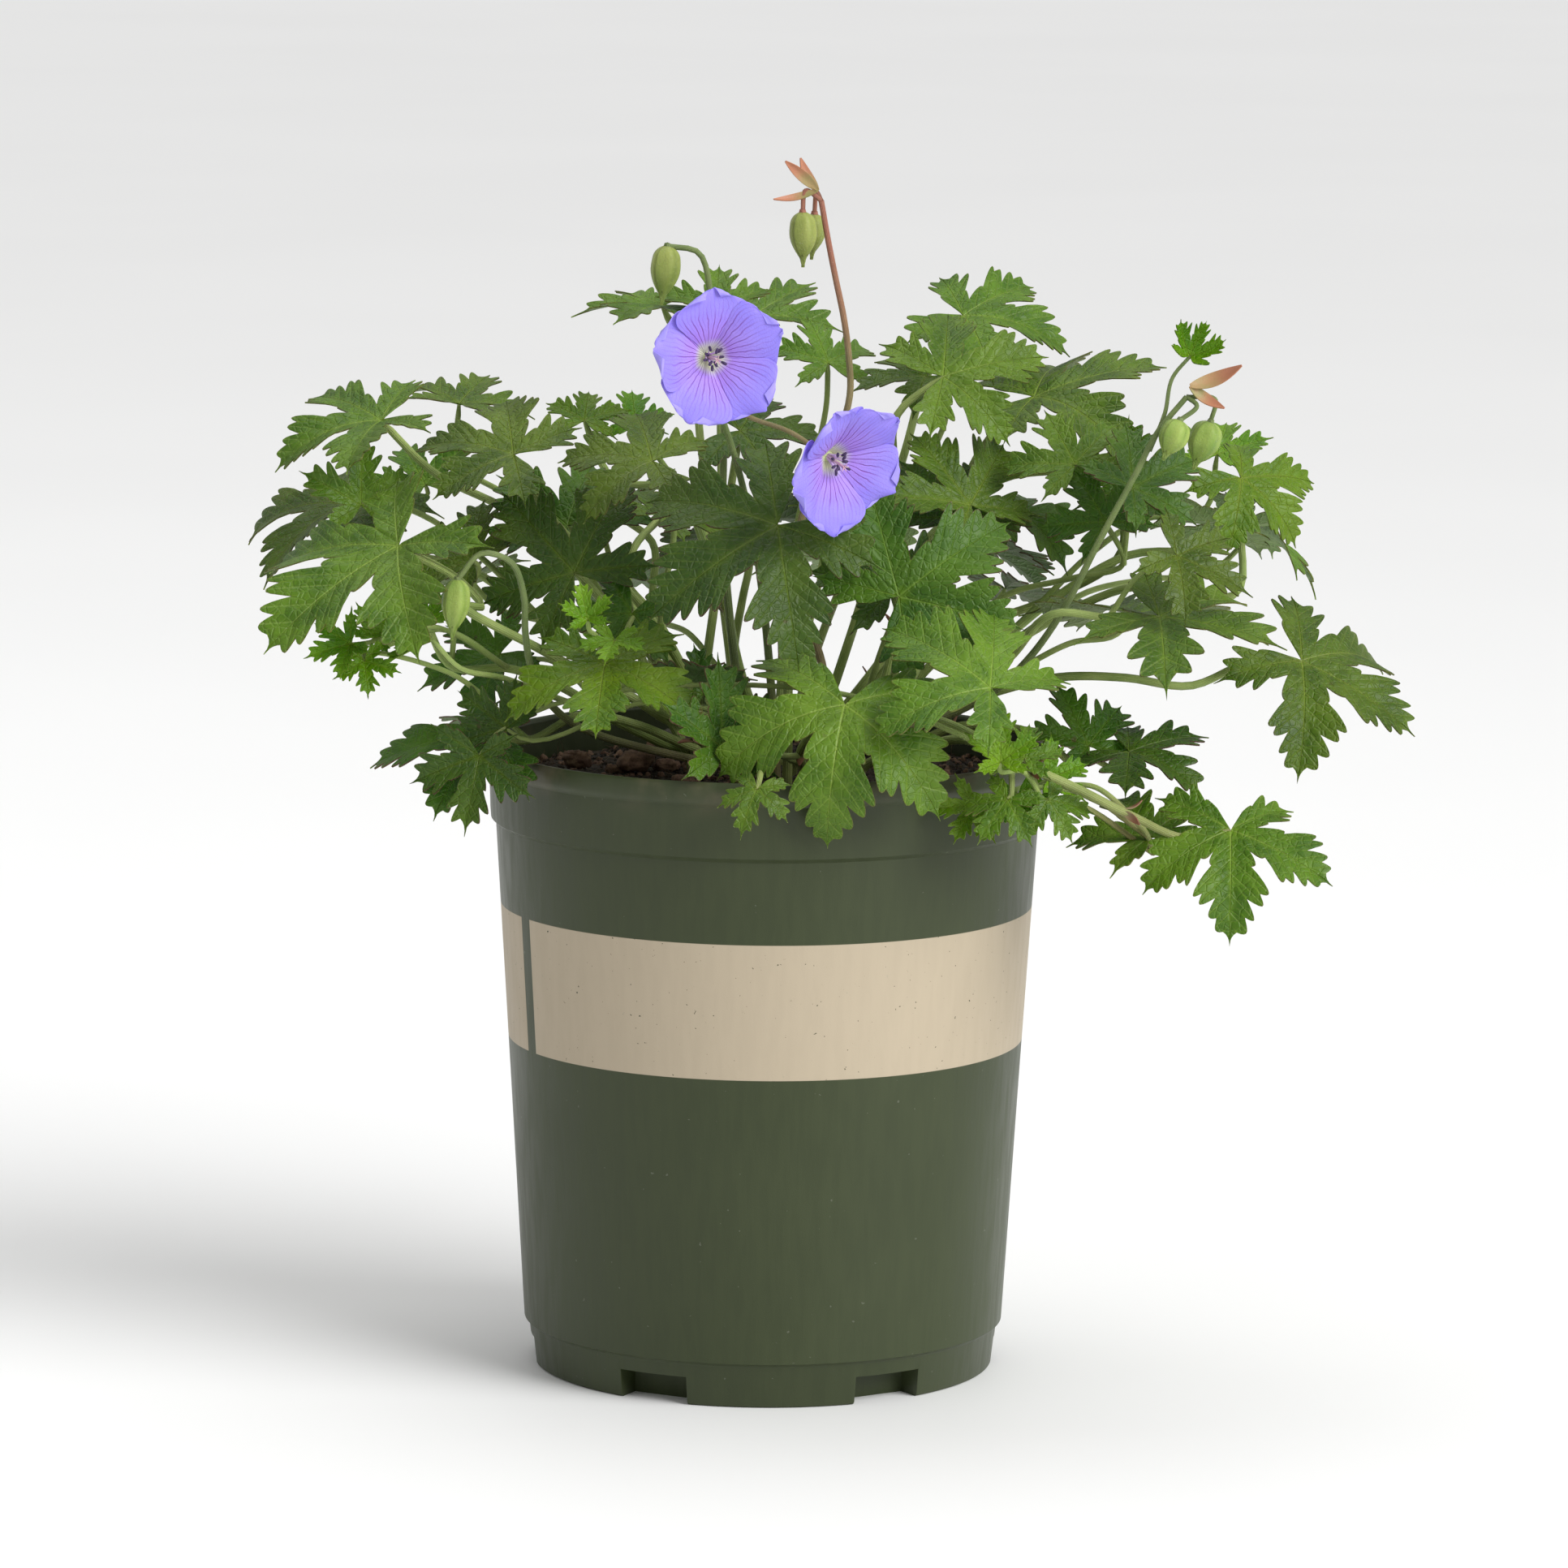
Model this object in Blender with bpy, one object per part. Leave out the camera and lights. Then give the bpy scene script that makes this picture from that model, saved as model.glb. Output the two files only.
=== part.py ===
"""A hardy geranium growing in its one-gallon nursery pot.

The pot's axis is the Z axis and the ground is z = 0.  Sizes are in millimetres and are scaled to metres
when a mesh is made.  Leaves, buds and blooms are placed in a drawing of the front view: millimetres across
from the pot's axis, millimetres up the picture, and a depth, which is the plain y coordinate.
"""
import math
import random
from dataclasses import dataclass

import bpy
import numpy as np
from mathutils import Matrix, Vector
from mathutils.bvhtree import BVHTree

MM = 0.001

# The front view's eye point, its tilt down and its small roll.
EYE_DISTANCE = 2500.0
EYE_HEIGHT = 561.4
EYE_PITCH = 0.153
EYE_ROLL = 0.009
EYE_ACROSS = 5.0
VIEW_PLANE = 2489.4
VIEW_CENTRE = (6.0, 173.6)

# Pot: outside radius and height of each turn of its profile, from the base up.
POT_OUTSIDE = (
    (69.2, 0.0),
    (70.9, 12.6),
    (72.2, 13.6),
    (81.4, 165.2),
    (82.9, 166.2),
    (83.5, 181.6),
    (84.6, 182.8),
    (84.8, 187.4),
    (84.0, 188.8),
)
POT_WALL = 1.6
POT_FLOOR = 2.2
POT_SEGMENTS = 30
FOOT_RADIUS, FOOT_BEND = POT_OUTSIDE[1]
SHOULDER = POT_OUTSIDE[3][1]
LIP_RADIUS, LIP_BASE = POT_OUTSIDE[5]
RIM_TOP = POT_OUTSIDE[-1][1]
FOOT_INSET = 2.0
BEND_INSET = 0.6
POCKETS = 6
POCKET_FIRST = -27.6
POCKET_HALF_WIDTH = 11.0
POCKET_HEIGHT = 8.6
POCKET_DEPTH = 9.0
POCKET_BOTTOM = -5.0
DRAIN_RADIUS = 4.2
DRAIN_SPAN = (5.0, 14.0)
DRAIN_PLACE = 0.52
GAP = 0.3

# Potting mix, with the bark pieces that lie in it and the holes that stems stand in.
SOIL_LEVEL = 179.0
SOIL_DOME = 3.0
SOIL_FLAT = 50.0
SOIL_EDGE = 1.2
BARK_PIECES = 6
BARK_REACH = 62.0
BARK_SIZES = (6.5, 11.5)
BARK_ROOM = 3.0
BARK_LUMP = ((0, -0.55), (1.0, -0.1), (0.66, 0.48), (0, 0.62))
ROOT_DEPTH = 9.0
ROOT_RISE = 3.0
HOLE_RISE = 12.0
HOLE_SIDES = 4
HOLE_SLACK = 1.48
CROWN_RINGS = (9.0, 16.0, 23.0, 30.0)
CROWN_CENTRE = (4.0, 2.0)

# Stems, petioles and the blades' thickness.
STEM_RADIUS = 1.6
STEM_SIDES = 4
PETIOLE_RADIUS = 1.1
PETIOLE_SIDES = 3
PETIOLE_TIP = 0.5
PETIOLE_FOOT = 0.7
BLADE = 0.66
FOOT_WEIGHTS = (0.76, 0.12)
SKIN = 0.45

# Ways for a petiole to meet its leaf, as parts of the leaf's middle lobe, normal and left, and places for
# the top of its arch as a part of its span.
ENTRIES = (
    (0.55, 0.83, 0.0),
    (0.90, 0.40, 0.0),
    (0.15, 0.98, 0.0),
    (0.40, 0.75, 0.50),
    (0.40, 0.75, -0.50),
    (-0.40, 0.90, 0.0),
)
ARCHES = (0.5, 0.75, 0.3)
BEND_STEPS = (0, 6, -6, 12, -12, 20, -20)
ARCH_RISE = 0.12
LEAST_BEND = 15.0
MOST_BEND = 36.0
FORK_PART = 0.36
FORK_CLEARANCE = 6.0

# Steps in which a leaf is moved clear of its neighbours: depth, roll or pitch in degrees, and scale.
DEPTH_STEPS = (0, 4, -4, 8, -8, 12, -12, 17, -17, 22, -22, 28, -28)
TURN_STEPS = (0, 12, -12, 24, -24)
SCALE_STEPS = (1.0, 0.92, 0.84)

# A leaf has five lobes about its petiole.  Side veins leave a midrib at VEIN_ANGLE; a lobe's outline is
# given tooth by notch as the place on the midrib and the length of the side vein that starts there.
LOBE_BEARINGS = (-122.0, -60.0, 0.0, 60.0, 122.0)
LOBE_LENGTHS = (0.72, 0.95, 1.0, 0.95, 0.72)
VEIN_ANGLE = math.radians(40.0)
RIB_PLACE = 0.42
SINUS = 0.30
FOLD = 0.38
WAVE = 0.07
LOBE_BASE = (0.09, 0.23)
LOBE_TEETH = {
    3: (LOBE_BASE, (0.30, 0.46), (0.43, 0.30)),
    2: (LOBE_BASE, (0.34, 0.42)),
    1: (LOBE_BASE,),
}

COLOURS = {
    "pot": (0.060, 0.082, 0.040),
    "mix": (0.035, 0.022, 0.014),
    "mature": (0.085, 0.200, 0.035),
    "young": (0.150, 0.330, 0.040),
    "old": (0.045, 0.115, 0.028),
    "stalk": (0.210, 0.300, 0.090),
    "petal": (0.360, 0.290, 0.870),
    "stamen": (0.055, 0.010, 0.040),
    "bract": (0.520, 0.180, 0.110),
}


@dataclass
class Leaf:
    """One palmate leaf: where its petiole joins it, how it faces and how it bends."""

    name: str
    place: tuple
    size: float
    aim: float
    normal: tuple
    droop: float
    cup: float
    detail: int
    via: tuple = ()
    heading: tuple = ()
    fork: float = 0.40


@dataclass
class Stem:
    """One leafy stem: its colour and its leaves, fused in one solid."""

    name: str
    tone: str
    leaves: tuple


# Leafy stems.  A leaf's place is (across, up, depth), its aim is the bearing of its middle lobe in the
# front view, and its normal is the way its upper face looks.
STEMS = (
    Stem("leafy_stem_front_rim", "mature", (
        Leaf("long_lobe", (24, 197, -76), 52, 256, (-0.05, -0.80, 0.60), 86, 10, 3),
        Leaf("small_hanging_leaf", (-2, 172, -97), 15, 250, (-0.1, -0.75, 0.65), 60, 8, 2,
             ((0, 186, -78), (-1, 182, -89))),
    )),
    Stem("leafy_stem_front_right", "mature", (
        Leaf("open_hand", (67, 202, -86), 40, 150, (0.0, -0.72, 0.69), 42, 8, 3),
    )),
    Stem("leafy_stem_front_left", "young", (
        Leaf("new_leaf", (-47, 209, -58), 37, 262, (-0.08, -0.55, 0.83), 38, 10, 3),
        Leaf("newest_leaf", (-44, 216, -60), 14, 250, (-0.08, -0.60, 0.80), 20, 20, 2),
    )),
    Stem("leafy_stem_front_low", "old", (
        Leaf("folded_leaf", (-12, 184, -64), 28, 100, (0.45, -0.75, 0.35), 6, 15, 2),
        Leaf("back_turned_leaf", (-21, 204, -42), 22, 60, (0.1, 0.35, 0.90), 20, 10, 2),
    )),
    Stem("leafy_stem_centre", "old", (
        Leaf("broad_leaf", (4, 250, -55), 50, 214, (-0.05, -0.80, 0.60), 50, 8, 3),
    )),
    Stem("leafy_stem_left_rim", "old", (
        Leaf("rim_leaf", (-80, 187, -34), 42, 196, (-0.35, -0.40, 0.85), 62, 12, 3,
             ((-60, 193, -28),)),
    )),
    Stem("leafy_stem_left_bud", "young", (
        Leaf("small_leaf", (-100, 222, -18), 17, 120, (-0.3, -0.6, 0.74), 28, 10, 2),
        Leaf("opening_leaf", (-98, 216, -46), 25, 95, (-0.90, -0.38, 0.10), 30, 66, 2,
             ((-80, 206, -40),)),
    )),
    Stem("leafy_stem_left_far", "mature", (
        Leaf("long_reach", (-108, 244, -45), 50, 218, (-0.35, -0.50, 0.79), 42, 12, 3,
             ((-82, 228, -35), (-70, 224, -25))),
    )),
    Stem("leafy_stem_left_end", "mature", (
        Leaf("end_leaf", (-123, 256, 25), 42, 206, (-0.20, -0.28, 0.94), 57, 14, 3),
        Leaf("upright_leaf", (-119, 256, 2), 22, 96, (0.1, -0.9, 0.42), 6, 10, 2),
    )),
    Stem("leafy_stem_left_top", "mature", (
        Leaf("left_top_leaf", (-113, 281, 10), 36, 192, (-0.15, -0.30, 0.94), 42, 16, 3),
        Leaf("behind_top_leaf", (-90, 286, 45), 26, 30, (0.1, -0.2, 0.97), 35, 14, 2),
    )),
    Stem("leafy_stem_left_mid", "mature", (
        Leaf("left_mid_leaf", (-74, 271, -12), 34, 165, (0.0, -0.55, 0.83), 42, 10, 3),
    )),
    Stem("leafy_stem_left_dark", "old", (
        Leaf("dark_leaf", (-56, 236, -26), 36, 135, (-0.2, -0.85, 0.48), 28, 8, 3),
        Leaf("shaded_leaf", (-48, 251, 26), 28, 150, (0.0, -0.4, 0.92), 42, 10, 2),
    )),
    Stem("leafy_stem_mid_left", "mature", (
        Leaf("second_leaf", (-30, 253, 2), 27, 15, (0.1, -0.3, 0.95), 42, 8, 2),
        Leaf("mid_left_leaf", (-33, 269, -25), 33, 172, (0.0, -0.5, 0.87), 47, 10, 3),
    )),
    Stem("leafy_stem_top_left", "mature", (
        Leaf("top_left_leaf", (-30, 315, 55), 27, 180, (0.0, -0.15, 0.99), 32, 10, 2),
        Leaf("top_left_young", (-14, 314, 46), 22, 95, (0.0, -0.45, 0.89), 20, 12, 2),
    )),
    Stem("leafy_stem_top_mid", "mature", (
        Leaf("top_mid_leaf", (-3, 312, 62), 28, 20, (0.1, -0.35, 0.93), 28, 12, 2),
        Leaf("sunlit_leaf", (19, 298, 38), 22, 112, (0.2, -0.6, 0.77), 35, 8, 2),
    )),
    Stem("leafy_stem_mid", "old", (
        Leaf("mid_dark_leaf", (-7, 278, 6), 31, -4, (0.1, -0.6, 0.79), 42, 10, 2),
    )),
    Stem("leafy_stem_back_row", "young", (
        Leaf("back_row_left", (-53, 281, 60), 18, 80, (0.0, -0.5, 0.87), 28, 8, 2),
        Leaf("back_row_right", (-38, 280, 66), 18, 100, (0.0, -0.5, 0.87), 28, 8, 2),
    )),
    Stem("leafy_stem_right_top", "mature", (
        Leaf("crowning_leaf", (59, 312, 36), 35, -8, (0.05, -0.45, 0.89), 47, 14, 3),
        Leaf("under_crowning_leaf", (48, 294, 18), 25, 186, (0.0, -0.35, 0.94), 42, 12, 2),
    )),
    Stem("leafy_stem_right_mid", "mature", (
        Leaf("right_mid_leaf", (53, 294, -6), 34, 14, (0.05, -0.72, 0.69), 42, 8, 3),
        Leaf("side_on_leaf", (61, 256, -20), 32, 128, (0.40, -0.62, 0.67), 20, 8, 3),
    )),
    Stem("leafy_stem_right_high", "mature", (
        Leaf("right_high_leaf", (80, 288, 18), 42, 12, (-0.1, -0.5, 0.86), 47, 12, 3),
        Leaf("right_inner_leaf", (92, 268, -10), 24, 118, (-0.1, -0.75, 0.65), 28, 8, 2),
    )),
    Stem("leafy_stem_right_dark", "old", (
        Leaf("right_shaded_leaf", (75, 254, 22), 27, -35, (0.2, -0.4, 0.89), 50, 8, 2),
        Leaf("right_dark_leaf", (101, 251, -20), 23, 122, (-0.2, -0.8, 0.57), 20, 8, 2),
    )),
    Stem("leafy_stem_centre_right", "old", (
        Leaf("raised_leaf", (38, 231, -34), 30, 108, (0.1, -0.85, 0.52), 23, 8, 2),
        Leaf("spread_leaf", (40, 229, -50), 42, 38, (-0.1, -0.8, 0.59), 38, 8, 3),
    )),
    Stem("leafy_stem_right_tip", "young", (
        Leaf("bright_leaf", (141, 264, -12), 29, -38, (0.3, -0.65, 0.70), 57, 8, 3),
        Leaf("bright_small_leaf", (134, 271, 20), 20, 70, (0.0, -0.5, 0.87), 20, 10, 2),
    )),
    Stem("leafy_stem_right_under", "mature", (
        Leaf("turned_leaf", (141, 249, 18), 34, 168, (0.1, 0.45, 0.89), 35, 10, 2),
        Leaf("hanging_leaf", (145, 248, 32), 34, -32, (0.2, -0.2, 0.96), 57, 10, 2),
    )),
    Stem("leafy_stem_right_low", "mature", (
        Leaf("level_leaf", (117, 223, -52), 42, -9, (0.0, -0.35, 0.94), 35, 10, 2),
        Leaf("slanting_leaf", (110, 224, -28), 48, -40, (0.15, 0.50, 0.85), 32, 8, 3, ((96, 217, -25),)),
    )),
    Stem("leafy_stem_right_grey", "old", (
        Leaf("grey_leaf", (106, 261, 4), 26, 78, (-0.2, -0.7, 0.69), 20, 8, 2),
    )),
    Stem("trailing_stem", "mature", (
        Leaf("furthest_leaf", (159, 210, -5), 45, -30, (0.25, -0.60, 0.76), 52, 8, 3,
             ((98, 200, -10), (128, 197, -8), (136, 199, -6), (148, 205, -5))),
    )),
    Stem("leafy_stem_right_rim", "old", (
        Leaf("rim_upright_leaf", (96, 185, -16), 25, 125, (0.3, -0.6, 0.74), 20, 8, 2),
        Leaf("rim_flat_leaf", (108, 183, -20), 33, -10, (0.0, -0.3, 0.95), 42, 10, 2),
    )),
    Stem("runner", "mature", (
        Leaf("runner_leaf", (138, 160, -64), 36, 268, (0.0, -0.62, 0.78), 50, 10, 3,
             ((76, 177, -78), (94, 169, -74), (114, 159, -68))),
        Leaf("runner_turned_leaf", (114, 158, -50), 32, 128, (-0.1, -0.45, 0.89), 42, 8, 2,
             fork=0.78),
        Leaf("rim_bud_middle", (77, 181, -77), 15, 80, (0.0, -0.75, 0.66), 30, 5, 2, fork=0.50),
        Leaf("rim_bud_left", (72, 169, -82), 18, 236, (-0.2, -0.8, 0.57), 35, 5, 2, fork=0.54),
        Leaf("rim_bud_right", (84, 169, -80), 16, -60, (0.3, -0.8, 0.52), 35, 5, 2, fork=0.58),
    )),
)

# Leafy stems behind, which the front view only shows through the others, ranged round the back by rule.
BACK_STEMS = 4
BACK_BEARINGS = (28.0, 152.0)
BACK_INNER = (66.0, 246.0)
BACK_OUTER = (104.0, 226.0)
BACK_SIZE = 35.0
BACK_TILT = 0.42

# Flower stalks: tubes through (across, up, depth) points, with the radius at the foot and at the top.
STALK_RADIUS = (1.45, 1.05)
PEDICEL_RADIUS = 0.75
FRONT_STALK = ((2, 205, -14), (-4, 252, -34), (-11, 278, -50), (-15, 288, -60))
PEDICELS = (
    ((-15, 287, -59), (-19, 294, -62)),
    ((-15, 287, -59), (-3, 281.5, -62), (8, 277.5, -66)),
)
TALL_STALK = ((17, 210, -2), (9, 234, 2), (14, 261, 2), (25, 285, -2), (24, 309, -6), (20, 329, -8),
              (17, 346, -9))
LEFT_TOP_STALK = ((-12, 250, 20), (-12, 288, 30), (-15, 314, 34), (-17.5, 326, 34), (-24, 335.5, 33),
                  (-28.5, 332.5, 32))
LEFT_LOW_STALK = ((-62, 196, -34), (-70, 213, -50), (-72, 233, -56), (-79, 243, -58), (-86, 240, -59),
                  (-90.5, 234, -60))
RIGHT_STALK = ((74, 206, -30), (86, 221, -40), (100, 247, -48), (112, 269, -50), (120, 283, -50),
               (125, 288, -50))

FLOWER_STALKS = {
    "flower_stalk_front": FRONT_STALK,
    "flower_stalk_tall": TALL_STALK,
    "flower_stalk_left_top": LEFT_TOP_STALK,
    "flower_stalk_left_low": LEFT_LOW_STALK,
    "flower_stalk_right": RIGHT_STALK,
}

# Buds: their turned shape as (place along the length, radius), both as parts of the whole.
BUD_ROWS = ((0.0, 0.26), (0.12, 0.78), (0.50, 1.0), (0.85, 0.44), (1.10, 0.08))
BUD_SIDES = 8
BUD_RIB = 0.09

# Blooms: petals are rows of (place along the petal, half width), both as parts of its length.
PETALS = 5
PETAL_LENGTH = 24.0
PETAL_ROWS = ((0.06, 0.05), (0.34, 0.20), (0.68, 0.49), (0.91, 0.43), (1.0, 0.22))
PETAL_COLUMNS = 2
PETAL_FLARE = (math.radians(42.0), math.radians(80.0))
PETAL_OVERLAP = 1.3
SEPAL_LENGTH = 8.5
CALYX_LENGTH = 4.4
ANTHERS = 6

# The twigs and buds of each stalk: the twig's points, the bud's tip and its widest radius.
BUD_TWIGS = {
    "flower_stalk_tall": (
        (((17, 346, -9), (12.5, 349, -9.5), (11.5, 342.5, -10)), (11.6, 328, -10.5), 3.9),
        (((17, 346, -9), (15.6, 348.5, -4), (15, 342, -1)), (14.2, 330, -0.5), 3.4),
    ),
    "flower_stalk_left_top": ((((-28.5, 332.5, 32),), (-30, 317, 31), 4.3),),
    "flower_stalk_left_low": ((((-90.5, 234, -60),), (-92, 218, -60), 4.0),),
    "flower_stalk_right": (
        (((125, 288, -50), (128, 285.5, -52), (123, 281, -53)), (118.5, 270.5, -54), 4.2),
        (((125, 288, -50), (133.5, 287, -47), (132, 280.5, -46)), (127.5, 268, -46), 4.6),
    ),
}

# Small leaves on the flower stalks, each with the points of its own stalk.
STALK_LEAVES = {
    "flower_stalk_right": (
        (((114, 272, -50), (118.5, 283, -47), (121, 294, -43)),
         Leaf("curled_leaf", (126, 300, -42), 14, 60, (0.2, -0.80, 0.55), -60, 25, 2)),
    ),
}

# Bracts, scale by scale: base, tip, half width and the way the scale faces.
BRACTS = {
    "bract_top": (
        ((16.0, 349.2, -10.7), (6.5, 357.5, -12.7), 1.9, (-0.3, -1.0, 0.3)),
        ((16.0, 349.2, -10.7), (11.0, 358.6, -7.7), 1.9, (0.5, -1.0, 0.2)),
        ((16.0, 349.2, -10.7), (3.0, 346.5, -13.7), 1.3, (-0.1, -1.0, 0.5)),
    ),
    "bract_right": (
        ((126.1, 291.3, -51.4), (141.1, 297.3, -52.9), 2.6, (-0.3, -1.0, 0.5)),
        ((126.1, 291.3, -51.4), (136.1, 284.8, -53.9), 2.0, (0.3, -1.0, 0.4)),
    ),
}

# Open blooms: name, throat, axis and the turn of the first petal.
BLOOMS = (
    ("bloom_front", (-17, 300, -68), (0.36, -0.93, 0.02), 18.0),
    ("bloom_side", (18.2, 271, -72), (0.62, -0.72, -0.30), 40.0),
)


def unit(vector):
    """The vector at length one, as a mathutils Vector."""
    return Vector(vector).normalized()


def front(place):
    """The world point of (across, up, depth) in the front view."""
    across, up, depth = place
    a = across - VIEW_CENTRE[0]
    b = up - VIEW_CENTRE[1]
    u = math.cos(EYE_ROLL) * a - math.sin(EYE_ROLL) * b
    w = math.sin(EYE_ROLL) * a + math.cos(EYE_ROLL) * b
    ray_y = math.cos(EYE_PITCH) * VIEW_PLANE + math.sin(EYE_PITCH) * w
    ray_z = math.cos(EYE_PITCH) * w - math.sin(EYE_PITCH) * VIEW_PLANE
    stretch = (depth + EYE_DISTANCE) / ray_y
    return Vector((EYE_ACROSS + u * stretch, depth, EYE_HEIGHT + ray_z * stretch))


def to_front(spot):
    """Where a world point (mm) appears in the front view: (across, up, depth)."""
    offset = Vector((spot.x - EYE_ACROSS, spot.y + EYE_DISTANCE, spot.z - EYE_HEIGHT))
    deep = math.cos(EYE_PITCH) * offset.y - math.sin(EYE_PITCH) * offset.z
    w = (math.sin(EYE_PITCH) * offset.y + math.cos(EYE_PITCH) * offset.z) * VIEW_PLANE / deep
    u = offset.x * VIEW_PLANE / deep
    a = math.cos(EYE_ROLL) * u + math.sin(EYE_ROLL) * w
    b = math.cos(EYE_ROLL) * w - math.sin(EYE_ROLL) * u
    return (a + VIEW_CENTRE[0], b + VIEW_CENTRE[1], spot.y)


def across_axes(axis):
    """Two unit vectors square to an axis and to each other."""
    axis = unit(axis)
    first = axis.orthogonal().normalized()
    return first, axis.cross(first)


def thicken(points, triangles, edge, above, below):
    """A closed blade from a top sheet: both faces split alike, and a wall round the edge."""
    points = np.asarray(points, dtype=float)
    faces = np.asarray(triangles)
    normals = np.zeros_like(points)
    corner = points[faces]
    face_normals = np.cross(corner[:, 1] - corner[:, 0], corner[:, 2] - corner[:, 0])
    for column in range(3):
        np.add.at(normals, faces[:, column], face_normals)
    normals /= np.linalg.norm(normals, axis=1)[:, None]
    count = len(points)
    vertices = np.vstack((points + normals * above, points - normals * below))
    solid = [tuple(face) for face in faces]
    solid += [(c + count, b + count, a + count) for a, b, c in faces]
    for first, second in zip(edge, edge[1:] + edge[:1]):
        solid.append((first, first + count, second + count))
        solid.append((first, second + count, second))
    return vertices, solid


def lobe_sheet(detail, bearings, lengths):
    """The flat leaf: points, distance of each from its midrib, triangles, and the edge in order."""
    last = len(bearings) - 1
    points = [(0.0, 0.0)]
    folds = [0.0]
    triangles = []
    edge = [0]

    def add(x, y, fold):
        points.append((x, y))
        folds.append(fold)
        return len(points) - 1

    shared = None
    for index, (bearing, length) in enumerate(zip(bearings, lengths)):
        along = Vector((math.cos(bearing), math.sin(bearing)))
        left = Vector((-along.y, along.x))
        outer = index in (0, last)
        teeth = LOBE_TEETH[max(1, detail - 1) if outer else detail]
        rib = add(along.x * length * RIB_PLACE, along.y * length * RIB_PLACE, 0.0)
        tip = add(along.x * length, along.y * length, 0.0)
        rims = {}
        for side in (-1, 1):
            rims[side] = []
            for number, (place, vein) in enumerate(teeth):
                if number == 0 and side == -1 and shared is not None:
                    rims[side].append(shared)
                    continue
                fold = vein * length * math.sin(VEIN_ANGLE)
                if number == 0 and side == 1 and index < last:
                    half = 0.5 * (bearing + bearings[index + 1])
                    depth = SINUS * min(length, lengths[index + 1])
                    shared = add(depth * math.cos(half), depth * math.sin(half), fold)
                    rims[side].append(shared)
                    continue
                slant = along * math.cos(VEIN_ANGLE) + left * side * math.sin(VEIN_ANGLE)
                spot = along * place + slant * vein
                rims[side].append(add(spot.x * length, spot.y * length, fold))
        rim = [0] + rims[-1] + [tip] + rims[1][::-1] + [0]
        if index == last // 2:
            foot = (0, rib, rims[-1][0])
        triangles += [(rib, first, second) for first, second in zip(rim, rim[1:])]
        edge += [spot for spot in rim[1:-1] if spot != edge[-1]]
    return np.array(points), np.array(folds), triangles, edge, foot


def leaf_axes(leaf):
    """The leaf's middle lobe, its left and its normal, as unit vectors."""
    normal = unit(leaf.normal)
    if leaf.heading:
        along = Vector(leaf.heading)
    else:
        bearing = math.radians(leaf.aim)
        lean = -(math.cos(bearing) * normal.x + math.sin(bearing) * normal.z) / normal.y
        along = Vector((math.cos(bearing), max(-2.5, min(2.5, lean)), math.sin(bearing)))
    along = (along - normal * along.dot(normal)).normalized()
    return along, normal.cross(along), normal


class LeafForm:
    """A leaf's own flat sheet, drawn once, which can then be bent and placed."""

    def __init__(self, leaf):
        draw = random.Random(leaf.name)
        bearings = [math.radians(angle + draw.uniform(-5.0, 5.0)) for angle in LOBE_BEARINGS]
        lengths = [length * draw.uniform(0.90, 1.06) for length in LOBE_LENGTHS]
        sheet = lobe_sheet(leaf.detail, bearings, lengths)
        self.flat, self.folds, self.triangles, self.edge, self.foot = sheet
        self.leaf = leaf
        self.phase = draw.uniform(0.0, math.tau)
        self.swing = draw.uniform(0.0, math.tau)

    def sheet(self, centre, axes, scale=1.0):
        """The bent sheet in the world: droop as an arc, a fold at each midrib and a slow wave."""
        size = self.leaf.size * scale
        x = self.flat[:, 0] * size
        y = self.flat[:, 1] * size
        reach = np.hypot(x, y)
        bearing = np.arctan2(y, x)
        part = reach / size
        droop = math.radians(self.leaf.droop) * (1.0 + 0.30 * np.sin(2.0 * bearing + self.phase))
        droop = np.where(np.abs(droop) < 0.05, 0.05, droop)
        cup = math.radians(self.leaf.cup)
        slope = cup - droop * part
        radial = size / droop * (math.sin(cup) - np.sin(slope))
        lift = size / droop * (np.cos(slope) - math.cos(cup))
        lift += FOLD * self.folds * size * np.minimum(part * 2.0, 1.0)
        lift += WAVE * size * part ** 2 * np.sin(3.0 * bearing + self.swing)
        local = np.stack((radial * np.cos(bearing), radial * np.sin(bearing), lift), axis=1)
        frame = np.array([tuple(axis) for axis in axes])
        return local @ frame + np.array(tuple(centre))


def smooth_path(points, count):
    """Points evenly spread on a smooth curve through the given points."""
    points = np.array([tuple(point) for point in points], dtype=float)
    steps = np.linalg.norm(np.diff(points, axis=0), axis=1)
    knots = np.concatenate(([0.0], np.cumsum(np.maximum(steps, 1e-6))))
    chords = np.diff(points, axis=0) / np.diff(knots)[:, None]
    tangents = np.empty_like(points)
    tangents[0] = chords[0]
    tangents[-1] = chords[-1]
    before = np.diff(knots)[:-1, None]
    after = np.diff(knots)[1:, None]
    tangents[1:-1] = (chords[:-1] * after + chords[1:] * before) / (before + after)
    result = []
    for place in np.linspace(0.0, knots[-1], count):
        span = min(int(np.searchsorted(knots, place, side="right")) - 1, len(points) - 2)
        width = knots[span + 1] - knots[span]
        t = (place - knots[span]) / width
        curve = (
            (2 * t ** 3 - 3 * t ** 2 + 1) * points[span]
            + (t ** 3 - 2 * t ** 2 + t) * width * tangents[span]
            + (3 * t ** 2 - 2 * t ** 3) * points[span + 1]
            + (t ** 3 - t ** 2) * width * tangents[span + 1]
        )
        result.append(Vector(curve))
    return result


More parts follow.
